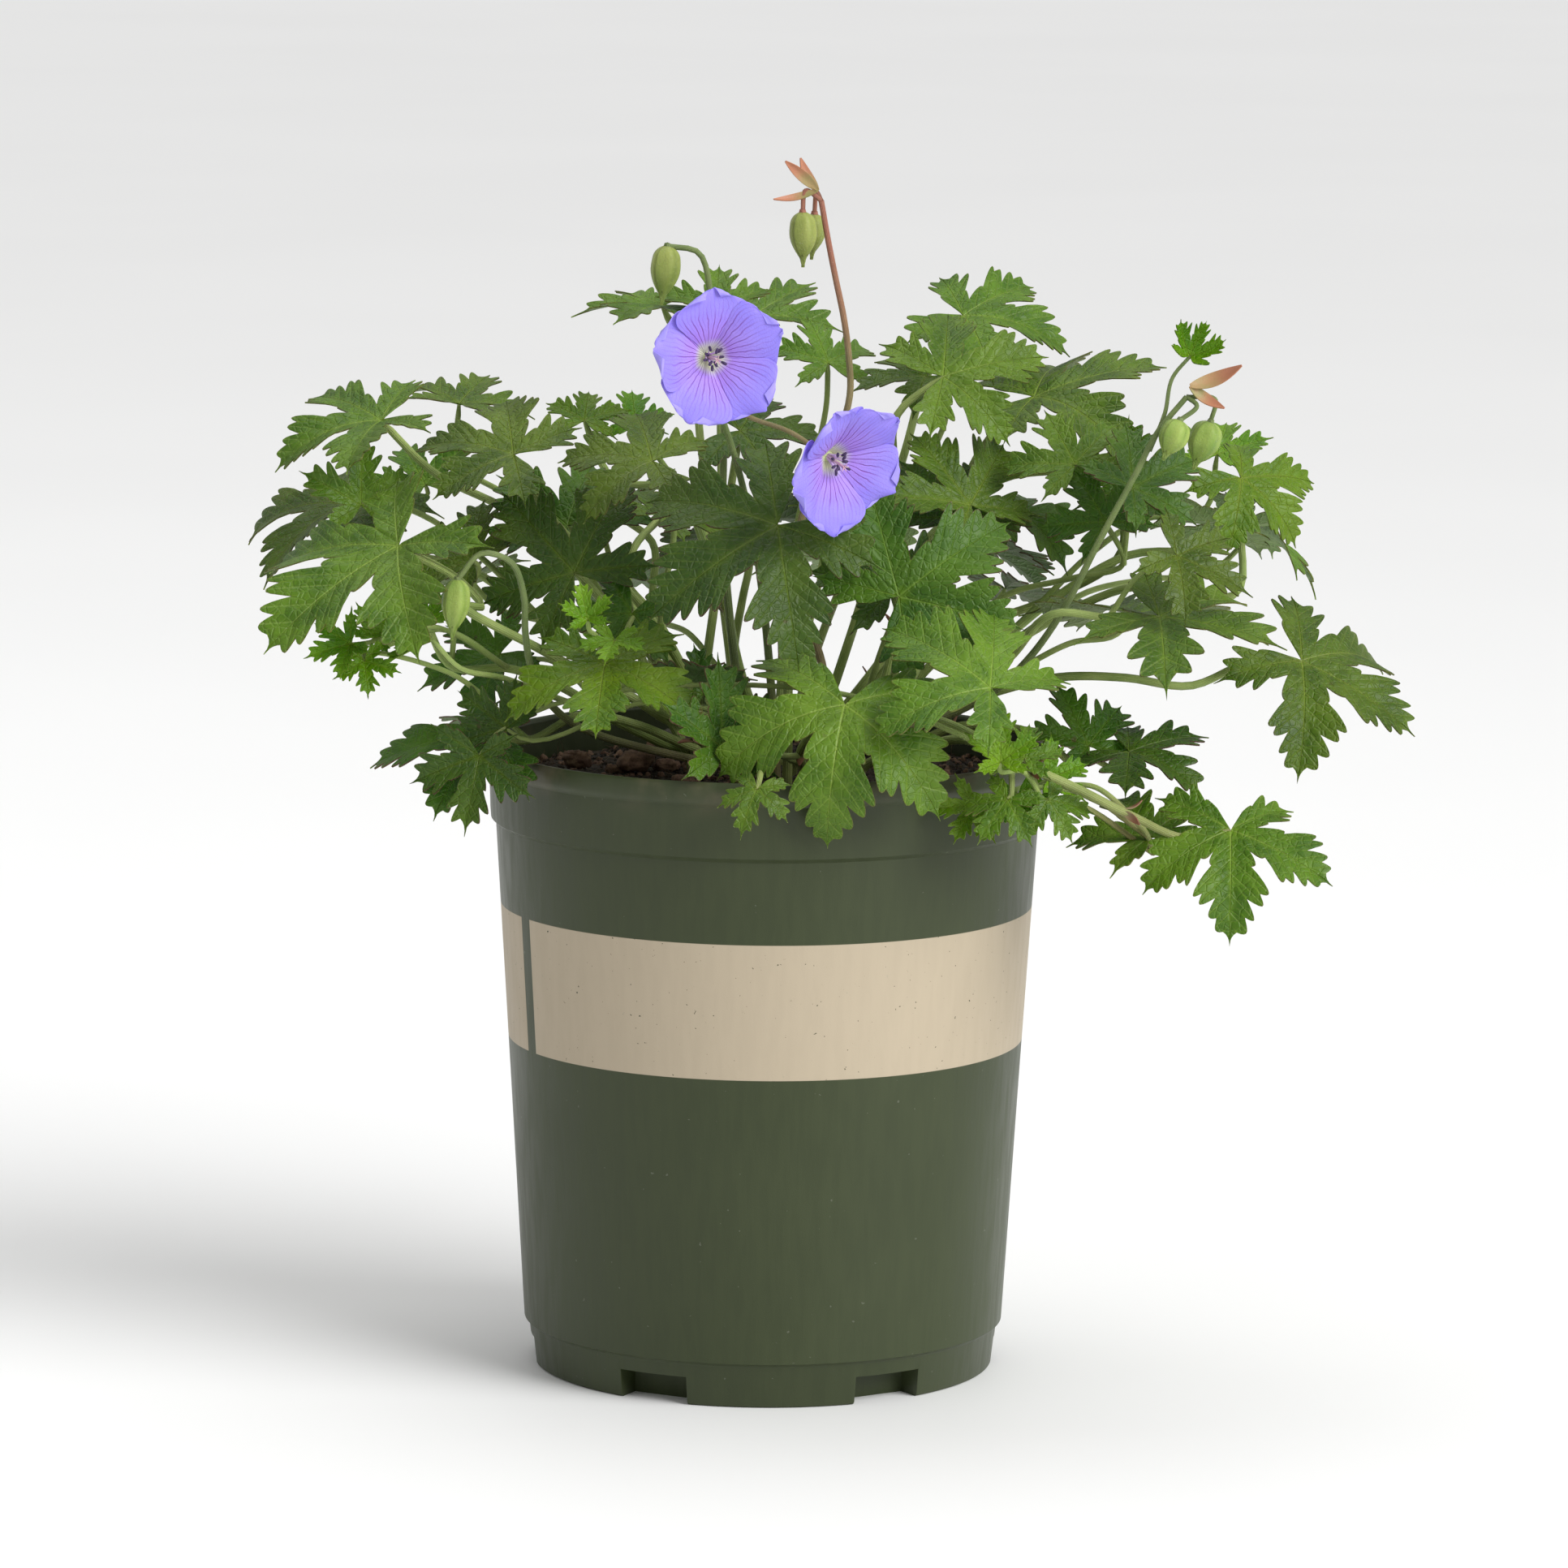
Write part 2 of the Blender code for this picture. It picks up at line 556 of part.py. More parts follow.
def tube(path, radii, sides):
    """A closed round tube along a path, with a radius for each of its points."""
    vertices = []
    triangles = []
    last = len(path) - 1
    across = None
    for index, (point, radius) in enumerate(zip(path, radii)):
        ahead = path[min(index + 1, last)] - path[max(index - 1, 0)]
        ahead.normalize()
        across = ahead.orthogonal() if across is None else across - ahead * across.dot(ahead)
        across.normalize()
        other = ahead.cross(across)
        for side in range(sides):
            turn = math.tau * side / sides
            vertices.append(tuple(point + (across * math.cos(turn) + other * math.sin(turn)) * radius))
    for ring in range(last):
        for side in range(sides):
            a = ring * sides + side
            b = ring * sides + (side + 1) % sides
            triangles.append((a, b, b + sides))
            triangles.append((a, b + sides, a + sides))
    for side in range(1, sides - 1):
        triangles.append((0, side + 1, side))
        base = last * sides
        triangles.append((base, base + side, base + side + 1))
    return np.array(vertices), triangles


def taper(first, last, count):
    """Evenly changing radii for a tube's points."""
    return [first + (last - first) * index / (count - 1) for index in range(count)]


class Clearance:
    """The solids placed so far, for telling whether a new one would touch them."""

    def __init__(self):
        self.vertices = []
        self.triangles = []
        self.owners = []
        self.tree = None

    def add(self, owner, vertices, triangles):
        """Keep a solid as an obstacle that belongs to an owner."""
        base = len(self.vertices)
        self.vertices += [tuple(vertex) for vertex in vertices]
        self.triangles += [tuple(base + corner for corner in triangle) for triangle in triangles]
        self.owners += [owner] * len(triangles)
        self.tree = None

    def touched(self, vertices, triangles, ignore=()):
        """The owners of the obstacles that a solid would touch."""
        if self.tree is None:
            self.tree = BVHTree.FromPolygons(self.vertices, self.triangles)
        tree = BVHTree.FromPolygons([tuple(v) for v in vertices], [tuple(t) for t in triangles])
        return {self.owners[mine] for mine, _ in self.tree.overlap(tree)}.difference(ignore)


def leaf_shifts():
    """Ways to move a leaf clear, the smallest first: depth, roll, pitch and scale."""
    ways = []
    for depth in DEPTH_STEPS:
        for roll in TURN_STEPS:
            for pitch in TURN_STEPS:
                for scale in SCALE_STEPS:
                    cost = abs(depth) / 4 + (abs(roll) + abs(pitch)) / 10 + (1.0 - scale) * 14
                    ways.append((cost, depth, roll, pitch, scale))
    return sorted(ways)


def bend_offsets(most):
    """Ways to lead a petiole round an obstacle, the smallest first, in millimetres."""
    ways = [Vector((x, y, z)) for x in BEND_STEPS for y in BEND_STEPS for z in BEND_STEPS]
    ways = [way for way in ways if way.length <= most]
    return sorted(ways, key=lambda way: (way.length, way.x, way.y, way.z))


def place_leaf(form, clearance):
    """Set a leaf at its place, moved as little as keeps it clear of what stands already."""
    leaf = form.leaf
    axes = leaf_axes(leaf)
    centre = front(leaf.place)
    for _, depth, roll, pitch, scale in leaf_shifts():
        across, up, deep = leaf.place
        centre = front((across, up, deep + depth))
        along, left, normal = leaf_axes(leaf)
        turn = Matrix.Rotation(math.radians(roll), 3, along) @ Matrix.Rotation(math.radians(pitch), 3, left)
        axes = [turn @ axis for axis in (along, left, normal)]
        fat = form.sheet(centre, axes, scale * 1.03)
        vertices, triangles = thicken(fat, form.triangles, form.edge, SKIN, SKIN + BLADE)
        if not clearance.touched(vertices, triangles):
            break
    sheet = form.sheet(centre, axes, scale)
    solid = thicken(sheet, form.triangles, form.edge, 0.0, BLADE)
    clearance.add(leaf.name, *solid)
    return blade_foot(sheet, form.foot), axes, scale, solid


def blade_foot(sheet, foot):
    """Where a petiole ends inside the blade, under one facet beside the leaf's centre."""
    centre, rib, sinus = (Vector(sheet[corner]) for corner in foot)
    normal = (sinus - centre).cross(rib - centre).normalized()
    return centre * FOOT_WEIGHTS[0] + rib * FOOT_WEIGHTS[1] + sinus * FOOT_WEIGHTS[1] - normal * BLADE * 0.5


def petiole_path(start, via, spot, offset, entry, arch):
    """A petiole's path: on from its start, over its via points, and into the leaf along its entry."""
    end, (along, left, normal), _, _ = spot
    last = via[-1] if via else start[-1]
    run = min(max((end - last).length * 0.25, 3.0), 16.0)
    approach = end - (along * entry[0] + normal * entry[1] + left * entry[2]) * run
    rooted = len(start) > 1
    points = start[1:] if rooted else list(start)
    if via:
        points += [point + offset for point in via]
    else:
        span = approach - start[-1]
        rise = Vector((0.0, 0.0, ARCH_RISE * math.hypot(span.x, span.y)))
        points.append(start[-1] + span * arch + rise + offset)
    points += [approach, end]
    path = smooth_path(points, len(points) + 2)
    return start[:1] + path if rooted else path


def lead_petiole(starts, leaf, spot, clearance, skip, sisters):
    """A petiole that keeps clear of everything but its own leaf and the pieces it grows from."""
    via = [front(place) for place in leaf.via]
    arches = ARCHES[:1] if via else ARCHES
    for allowed, most in ((skip, LEAST_BEND), (skip + sisters, MOST_BEND)):
        for start in starts:
            for offset in bend_offsets(most):
                for entry in ENTRIES:
                    for arch in arches:
                        path = petiole_path(start, via, spot, offset, entry, arch)
                        above = path[1:] if len(start) > 1 else path
                        fat = [PETIOLE_RADIUS + SKIN] * len(above)
                        if clearance.touched(*tube(above, fat, 5), ignore=allowed + (leaf.name,)):
                            continue
                        if len(above) > 3 and clearance.touched(*tube(above[:-2], fat, 5), ignore=allowed):
                            continue
                        return path
    return petiole_path(starts[0], via, spot, Vector(), ENTRIES[0], ARCHES[0])


def turned(profile, segments):
    """A closed solid turned about Z from (radius, height) points that go from the axis up to the axis."""
    vertices = [(0.0, 0.0, profile[0][1])]
    for radius, height in profile[1:-1]:
        for segment in range(segments):
            turn = math.tau * segment / segments
            vertices.append((radius * math.cos(turn), radius * math.sin(turn), height))
    vertices.append((0.0, 0.0, profile[-1][1]))
    top = len(vertices) - 1
    rings = len(profile) - 2
    triangles = []
    for segment in range(segments):
        after = (segment + 1) % segments
        triangles.append((0, 1 + after, 1 + segment))
        base = 1 + (rings - 1) * segments
        triangles.append((top, base + segment, base + after))
        for ring in range(rings - 1):
            low = 1 + ring * segments
            high = low + segments
            triangles.append((low + segment, low + after, high + after))
            triangles.append((low + segment, high + after, high + segment))
    return np.array(vertices), triangles


def strip(path, widths, lift, width_axis, thickness):
    """A narrow blade along a path: three points across, with its middle line sunk by lift."""
    points = []
    for point, width in zip(path, widths):
        for side in (-1.0, 0.0, 1.0):
            sink = unit(lift) * (-abs(1.0 - abs(side)) * width * 0.35)
            points.append(tuple(Vector(point) + unit(width_axis) * side * width + sink))
    return sheet_blade(points, 3, thickness)


def sheet_blade(points, stride, thickness):
    """A closed blade from rows of points, with the same count of points in each row."""
    triangles = []
    rows = len(points) // stride
    for row in range(rows - 1):
        for column in range(stride - 1):
            a = row * stride + column
            triangles.append((a, a + 1, a + stride + 1))
            triangles.append((a, a + stride + 1, a + stride))
    edge = list(range(stride)) + [row * stride + stride - 1 for row in range(1, rows)]
    edge += [(rows - 1) * stride + column for column in range(stride - 2, -1, -1)]
    edge += [row * stride for row in range(rows - 2, 0, -1)]
    return thicken(points, triangles, edge, 0.0, thickness)


def petal_sheet(index, spin):
    """One petal of a bloom that looks along +Z: points, triangles and edge."""
    columns = PETAL_COLUMNS
    centre = math.radians(spin) + math.tau * index / PETALS
    low, high = PETAL_FLARE
    rate = (high - low) / PETAL_LENGTH
    points = []
    for place, half in PETAL_ROWS:
        for column in range(columns + 1):
            side = 2.0 * column / columns - 1.0
            run = PETAL_LENGTH * (place - 0.06 * side * side * place)
            slope = low + rate * run
            radius = (math.cos(low) - math.cos(slope)) / rate
            height = (math.sin(slope) - math.sin(low)) / rate
            width = half * PETAL_LENGTH * side
            height += PETAL_OVERLAP * side * min(1.0, place * 1.6)
            height += 0.7 * place ** 3 * math.sin(3.1 * side + 1.3 * index)
            x = radius * math.cos(centre) - width * math.sin(centre)
            y = radius * math.sin(centre) + width * math.cos(centre)
            points.append((x, y, height))
    triangles = []
    stride = columns + 1
    for row in range(len(PETAL_ROWS) - 1):
        for column in range(columns):
            a = row * stride + column
            triangles.append((a, a + stride, a + stride + 1))
            triangles.append((a, a + stride + 1, a + 1))
    last = (len(PETAL_ROWS) - 1) * stride
    edge = [row * stride for row in range(len(PETAL_ROWS))]
    edge += [last + column for column in range(1, stride)]
    edge += [row * stride + columns for row in range(len(PETAL_ROWS) - 2, -1, -1)]
    edge += [column for column in range(columns - 1, 0, -1)]
    return points, triangles, edge


def facing(axis, place):
    """A matrix that stands local +Z along an axis at a place."""
    first, second = across_axes(axis)
    matrix = Matrix((first, second, unit(axis))).transposed().to_4x4()
    matrix.translation = place
    return matrix


def moved(solid, matrix):
    """A solid's vertices under a matrix, with its triangles."""
    vertices, triangles = solid
    rotation = np.array(matrix.to_3x3())
    return vertices @ rotation.T + np.array(matrix.translation), triangles


def bloom_petals(axis, throat, spin):
    """Five overlapping petals on a small cone at the throat."""
    matrix = facing(axis, throat)
    pieces = [turned(((0, 0), (2.3, 0), (1.7, 1.7), (0, 1.7)), 7)]
    for index in range(PETALS):
        points, triangles, edge = petal_sheet(index, spin)
        pieces.append(thicken(points, triangles, edge, 0.0, BLADE))
    return [moved(piece, matrix) for piece in pieces]


def bloom_stamens(axis, throat):
    """A style with anthers on short filaments, standing just clear of the throat."""
    matrix = facing(axis, throat)
    base = 1.7 + GAP
    style = [Vector((0, 0, base)), Vector((0, 0.2, 5.0)), Vector((0, 0.6, 9.5))]
    pieces = [tube(style, (0.75, 0.6, 0.45), 5)]
    for index in range(ANTHERS):
        turn = math.tau * index / ANTHERS
        reach = 2.2 + 0.9 * (index % 2)
        height = 7.6 - 1.3 * (index % 3)
        end = Vector((reach * math.cos(turn), reach * math.sin(turn), height))
        foot = Vector((0.05, 0.1, 3.0 + 0.31 * index))
        pieces.append(tube([foot, end], (0.33, 0.31), 3))
        anther = turned(((0, -0.7), (0.85, 0.1), (0, 0.9)), 5)
        pieces.append(moved(anther, Matrix.Translation(end) @ Matrix.Rotation(turn, 4, "Z")))
    return [moved(piece, matrix) for piece in pieces]


def calyx(axis, throat):
    """The green knob behind a bloom, with five sepals spread behind the petals."""
    matrix = facing(axis, throat)
    pieces = [turned(((0, -CALYX_LENGTH), (1.3, -CALYX_LENGTH + 0.2), (2.2, -2.6), (2.0, -GAP - 0.1),
                      (0, -GAP - 0.1)), 6)]
    for index in range(PETALS):
        turn = math.tau * (index + 0.5) / PETALS
        out = Vector((math.cos(turn), math.sin(turn), 0.0))
        side = Vector((-math.sin(turn), math.cos(turn), 0.0))
        points = []
        for run, rise, width in ((1.2, -2.2, 0.8), (4.6, -1.1, 1.6), (SEPAL_LENGTH, 0.8, 0.3)):
            spot = out * run + Vector((0, 0, rise))
            points += [tuple(spot + side * width), tuple(spot - side * width)]
        pieces.append(sheet_blade(points, 2, BLADE))
    return [moved(piece, matrix) for piece in pieces]


def bud(top, tip, radius):
    """A ribbed, pointed bud that hangs from its top to its tip."""
    top = front(top)
    tip = front(tip)
    length = (tip - top).length
    solid = turned([(0.0, BUD_ROWS[0][0] * length)] + [(r * radius, s * length) for s, r in BUD_ROWS]
                   + [(0.0, BUD_ROWS[-1][0] * length)], BUD_SIDES)
    vertices, triangles = solid
    turns = np.arctan2(vertices[:, 1], vertices[:, 0])
    swell = 1.0 + BUD_RIB * np.cos(BUD_SIDES / 2 * turns)
    vertices[:, 0] *= swell
    vertices[:, 1] *= swell
    return moved((vertices, triangles), facing(tip - top, top))


def bract(base, tip, half_width, face):
    """A small folded bract from its base to its tip."""
    base = Vector(base)
    tip = Vector(tip)
    side = unit((tip - base).cross(Vector(face)))
    bend = unit(face) * (tip - base).length * 0.10
    path = [base, base.lerp(tip, 0.45) + bend, tip]
    return strip(path, (0.6, half_width, 0.25), face, side, BLADE)


def material(name, colour, roughness):
    """A plain Principled material."""
    made = bpy.data.materials.new(name)
    made.use_nodes = True
    shader = made.node_tree.nodes["Principled BSDF"]
    shader.inputs["Base Color"].default_value = (*colour, 1.0)
    shader.inputs["Roughness"].default_value = roughness
    shader.inputs["Metallic"].default_value = 0.0
    made.diffuse_color = (*colour, 1.0)
    return made


def mesh_object(name, solid, collection=None):
    """An object in metres from one closed solid in millimetres."""
    vertices, triangles = solid
    mesh = bpy.data.meshes.new(name)
    mesh.from_pydata([tuple(v * MM) for v in vertices], [], [tuple(t) for t in triangles])
    mesh.validate()
    made = bpy.data.objects.new(name, mesh)
    (collection or bpy.context.scene.collection).objects.link(made)
    return made


def drop_collection(collection):
    """Remove a collection with its objects and their meshes."""
    for item in list(collection.objects):
        mesh = item.data
        bpy.data.objects.remove(item)
        bpy.data.meshes.remove(mesh)
    bpy.data.collections.remove(collection)


def apply_modifiers(made):
    """Turn an object's modifiers into its own mesh."""
    graph = bpy.context.evaluated_depsgraph_get()
    old = made.data
    made.data = bpy.data.meshes.new_from_object(made.evaluated_get(graph))
    made.modifiers.clear()
    bpy.data.meshes.remove(old)
    made.data.name = made.name


def combine(name, solids, operation="UNION", base=None, solver="MANIFOLD"):
    """One object from several closed solids, by one Boolean on a collection of them."""
    made = base or mesh_object(name, solids[0])
    others = solids if base else solids[1:]
    if others:
        extras = bpy.data.collections.new(name + "_pieces")
        bpy.context.scene.collection.children.link(extras)
        for index, solid in enumerate(others):
            mesh_object(f"{name}_{index}", solid, extras)
        modifier = made.modifiers.new("join", "BOOLEAN")
        modifier.operation = operation
        modifier.operand_type = "COLLECTION"
        modifier.collection = extras
        modifier.solver = solver
        apply_modifiers(made)
        drop_collection(extras)
    return made


def finish(made, colour, roughness, smooth_angle=35.0):
    """Give a node its own material and smooth shading with sharp edges by angle."""
    made.data.materials.clear()
    made.data.materials.append(material(made.name, colour, roughness))
    made.data.shade_smooth()
    made.data.set_sharp_from_angle(angle=math.radians(smooth_angle))
    return made


def pocket_cutter(index, grow):
    """A block at the foot of the wall, which leaves one of the pot's drain pockets."""
    turn = math.radians(POCKET_FIRST + 360.0 * index / POCKETS - 90.0)
    out = Vector((math.cos(turn), math.sin(turn), 0.0))
    side = Vector((-math.sin(turn), math.cos(turn), 0.0))
    inner = POT_OUTSIDE[0][0] - POCKET_DEPTH - grow
    outer = POT_OUTSIDE[-1][0]
    half = POCKET_HALF_WIDTH + grow
    corners = []
    for height in (POCKET_BOTTOM, POCKET_HEIGHT + grow):
        for reach, width in ((inner, -half), (outer, -half), (outer, half), (inner, half)):
            corners.append(tuple(out * reach + side * width + Vector((0, 0, height))))
    triangles = [(0, 2, 1), (0, 3, 2), (4, 5, 6), (4, 6, 7)]
    for a in range(4):
        b = (a + 1) % 4
        triangles += [(a, b, b + 4), (a, b + 4, a + 4)]
    return np.array(corners), triangles


def drain_cutter(index):
    """An upright rod that pierces a pocket's roof."""
    turn = math.radians(POCKET_FIRST + 360.0 * index / POCKETS - 90.0)
    reach = POT_OUTSIDE[0][0] - POCKET_DEPTH * DRAIN_PLACE
    low, high = DRAIN_SPAN
    rod = turned(((0, low), (DRAIN_RADIUS, low), (DRAIN_RADIUS, high), (0, high)), 8)
    return moved(rod, Matrix.Translation((reach * math.cos(turn), reach * math.sin(turn), 0.0)))


def wall_radius(height, inset):
    """The pot's outside radius at a height on its plain cone, less an inset."""
    (low_radius, low), (high_radius, high) = POT_OUTSIDE[2:4]
    return low_radius + (high_radius - low_radius) * (height - low) / (high - low) - inset


def cut_with(made, cutter):
    """Cut one object out of another and remove the cutter."""
    modifier = made.modifiers.new("cut", "BOOLEAN")
    modifier.operation = "DIFFERENCE"
    modifier.object = cutter
    modifier.solver = "MANIFOLD"
    apply_modifiers(made)
    mesh = cutter.data
    bpy.data.objects.remove(cutter)
    bpy.data.meshes.remove(mesh)


def pot():
    """The thin-walled pot with its stepped rim, pockets at the foot and drain holes."""
    made = mesh_object("pot", turned(((0.0, 0.0),) + POT_OUTSIDE + ((0.0, RIM_TOP),), POT_SEGMENTS))
    combine("pot", [pocket_cutter(index, 0.0) for index in range(POCKETS)], "DIFFERENCE", made)
    hollow = mesh_object("pot_hollow", turned((
        (0.0, POT_FLOOR),
        (FOOT_RADIUS - POT_WALL - FOOT_INSET, POT_FLOOR),
        (wall_radius(FOOT_BEND, POT_WALL + BEND_INSET), FOOT_BEND),
        (wall_radius(SHOULDER, POT_WALL), SHOULDER),
        (LIP_RADIUS - POT_WALL, LIP_BASE),
        (POT_OUTSIDE[-1][0] - POT_WALL, RIM_TOP + 5.0),
        (0.0, RIM_TOP + 5.0),
    ), POT_SEGMENTS))
    feet = [pocket_cutter(index, POT_WALL) for index in range(POCKETS)]
    combine("pot_hollow", feet, "DIFFERENCE", hollow)
    cut_with(made, hollow)
    combine("pot", [drain_cutter(index) for index in range(POCKETS)], "DIFFERENCE", made)
    return finish(made, COLOURS["pot"], 0.42)


def bark(roots):
    """Rough lumps of bark strewn on the mix, clear of the stems."""
    draw = random.Random("bark")
    lumps = []
    while len(lumps) < BARK_PIECES:
        turn = draw.uniform(0.0, math.tau)
        reach = BARK_REACH * math.sqrt(draw.uniform(0.02, 1.0))
        size = draw.uniform(*BARK_SIZES)
        spot = Vector((reach * math.cos(turn), reach * math.sin(turn), 0.0))
        if min((spot - root).length for root in roots) < size + BARK_ROOM:
            continue
        lump = turned(BARK_LUMP, 5)
        vertices = lump[0].copy()
        vertices *= np.array([[draw.uniform(0.75, 1.15) for _ in range(3)] for _ in vertices])
        grow = Matrix.Diagonal((size, size * draw.uniform(0.5, 0.8), size * 0.62, 1.0))
        spot.z = SOIL_LEVEL + draw.uniform(0.0, 1.5)
        place = Matrix.Translation(spot) @ Matrix.Rotation(draw.uniform(0.0, math.tau), 4, "Z") @ grow
        lumps.append(moved((vertices, lump[1]), place))
    return lumps


def potting_mix(roots, widths):
    """The mix that fills the pot, with bark on top and a plain hole for each stem."""
    inset = POT_WALL + GAP
    plug = mesh_object("potting_mix", turned((
        (0.0, POT_FLOOR + GAP),
        (FOOT_RADIUS - inset - FOOT_INSET, POT_FLOOR + GAP),
        (wall_radius(FOOT_BEND, inset + BEND_INSET), FOOT_BEND + GAP),
        (wall_radius(SHOULDER, inset), SHOULDER),
        (LIP_RADIUS - inset - SOIL_EDGE, SOIL_LEVEL - SOIL_DOME),
        (SOIL_FLAT, SOIL_LEVEL),
        (0.0, SOIL_LEVEL),
    ), POT_SEGMENTS))
    combine("potting_mix", [pocket_cutter(index, inset) for index in range(POCKETS)], "DIFFERENCE", plug)
    combine("potting_mix", bark(roots), "UNION", plug)
    holes = []
    for root, width in zip(roots, widths):
        low = -ROOT_DEPTH - 1.0
        hole = turned(((0, low), (width, low), (width, HOLE_RISE), (0, HOLE_RISE)), HOLE_SIDES)
        holes.append(moved(hole, Matrix.Translation((root.x, root.y, SOIL_LEVEL))))
    combine("potting_mix", holes, "DIFFERENCE", plug)
    return finish(plug, COLOURS["mix"], 0.95)


def back_stems():
    """Leafy stems that fill the back of the plant, in two ranks by rule."""
    stems = []
    low, high = BACK_BEARINGS
    for index in range(BACK_STEMS):
        leaves = []
        for rank, (reach, height) in enumerate((BACK_INNER, BACK_OUTER)):
            step = (index + 0.5 * rank) / (BACK_STEMS - 0.5)
            bearing = math.radians(low + (high - low) * step)
            out = (math.cos(bearing), math.sin(bearing))
            spot = Vector((reach * out[0], reach * out[1], height + 5.0 * (index % 2)))
            normal = (BACK_TILT * out[0], BACK_TILT * out[1], 0.9)
            leaves.append(Leaf(f"back_leaf_{index}_{rank}", to_front(spot), BACK_SIZE - 3.0 * rank,
                               0.0, normal, 30, 12, 3 - rank, heading=(out[0], out[1], -0.3)))
        stems.append(Stem(f"leafy_stem_back_{index + 1}", "mature" if index % 2 else "old", tuple(leaves)))
    return tuple(stems)


def plan_roots(aims):
    """Where each stem stands in the crown: ranked round it by bearing and dealt over its rings."""
    centre = Vector((*CROWN_CENTRE, 0.0))
    bearings = {name: math.atan2(aim.y - centre.y, aim.x - centre.x) for name, aim in aims.items()}
    roots = {}
    for rank, name in enumerate(sorted(aims, key=lambda item: (bearings[item], item))):
        turn = math.tau * rank / len(aims) - math.pi
        reach = CROWN_RINGS[rank % len(CROWN_RINGS)]
        roots[name] = centre + Vector((reach * math.cos(turn), reach * math.sin(turn), 0.0))
    return roots


def stem_foot(root):
    """The upright start of a stem: its foot in the mix and its first point above it."""
    return [Vector((root.x, root.y, SOIL_LEVEL + rise)) for rise in (-ROOT_DEPTH, ROOT_RISE)]


def stem_fork(root, centres):
    """Where a stem parts into its petioles, on its way to its leaves and clear over the rim."""
    mean = sum(centres, Vector()) / len(centres)
    start = stem_foot(root)[1]
    fork = start.lerp(mean, FORK_PART)
    fork.z = max(fork.z, RIM_TOP + FORK_CLEARANCE)
    return fork


def stalk_tube(points, root=None, radii=(PEDICEL_RADIUS, PEDICEL_RADIUS), sides=4):
    """A flower stalk or pedicel through its front-view points."""
    foot = stem_foot(root) if root else []
    path = foot[:1] + smooth_path(foot[1:] + [front(point) for point in points], 2 + 2 * len(points))
    return tube(path, taper(*radii, len(path)), sides)


def stalk_solids(roots):
    """Each flower stalk's solids: its tube, pedicels, buds and the calyxes of its blooms."""
    solids = {}
    for name, points in FLOWER_STALKS.items():
        solids[name] = [stalk_tube(points, roots[name], STALK_RADIUS, 5)]
    front_pieces = solids["flower_stalk_front"]
    for points, (_, throat, axis, _) in zip(PEDICELS, BLOOMS):
        knob = front(throat) - unit(axis) * CALYX_LENGTH * 0.8
        path = [front(point) for point in points] + [knob]
        path = smooth_path(path, 1 + 2 * len(path))
        front_pieces.append(tube(path, [PEDICEL_RADIUS] * len(path), 4))
        front_pieces += calyx(axis, front(throat))
    for name, pieces in BUD_TWIGS.items():
        for points, tip, radius in pieces:
            if len(points) > 1:
                solids[name].append(stalk_tube(points))
            solids[name].append(bud(points[-1], tip, radius))
    for name, pieces in STALK_LEAVES.items():
        for points, leaf in pieces:
            form = LeafForm(leaf)
            solids[name].append(stalk_tube(points + (leaf.place,)))
            sheet = form.sheet(front(leaf.place), leaf_axes(leaf))
            solids[name].append(thicken(sheet, form.triangles, form.edge, 0.0, BLADE))
    return solids


def along_path(path, share):
    """The point at a share of a path's length."""
    steps = [(second - first).length for first, second in zip(path, path[1:])]
    left = share * sum(steps)
    for first, second, step in zip(path, path[1:], steps):
        if left <= step:
            return first.lerp(second, left / step)
        left -= step
    return path[-1].copy()


def grow(clearance, roots):
    """Place every leaf, then lead every petiole, and return each leafy stem's solids."""
    stems = STEMS + back_stems()
    spots = {}
    forms = {}
    for stem in stems:
        for leaf in stem.leaves:
            forms[leaf.name] = LeafForm(leaf)
            spots[leaf.name] = place_leaf(forms[leaf.name], clearance)
    solids = {}
    for stem in stems:
        foot = stem_foot(roots[stem.name])
        skip = (stem.name,)
        pieces = []
        for leaf in stem.leaves:
            sisters = tuple(other.name for other in stem.leaves if other is not leaf)
            if leaf is stem.leaves[0]:
                starts = [foot]
                if sisters:
                    fork = stem_fork(roots[stem.name], [spots[item.name][0] for item in stem.leaves])
                    starts = [foot + [fork], foot]
                path = lead_petiole(starts, leaf, spots[leaf.name], clearance, skip, sisters)
                main_path = path
                radii = taper(STEM_RADIUS, PETIOLE_RADIUS, len(path) - 1) + [PETIOLE_TIP]
                stalk = tube(path, radii, STEM_SIDES)
            else:
                starts = [[along_path(main_path, leaf.fork)], [along_path(main_path, leaf.fork * 0.6)]]
                path = lead_petiole(starts, leaf, spots[leaf.name], clearance, skip, sisters)
                radii = [PETIOLE_FOOT] + [PETIOLE_RADIUS] * (len(path) - 2) + [PETIOLE_TIP]
                stalk = tube(path, radii, PETIOLE_SIDES)
            pieces += [stalk, spots[leaf.name][3]]
            clearance.add(stem.name, *stalk)
        solids[stem.name] = (stem.tone, pieces)
    return solids


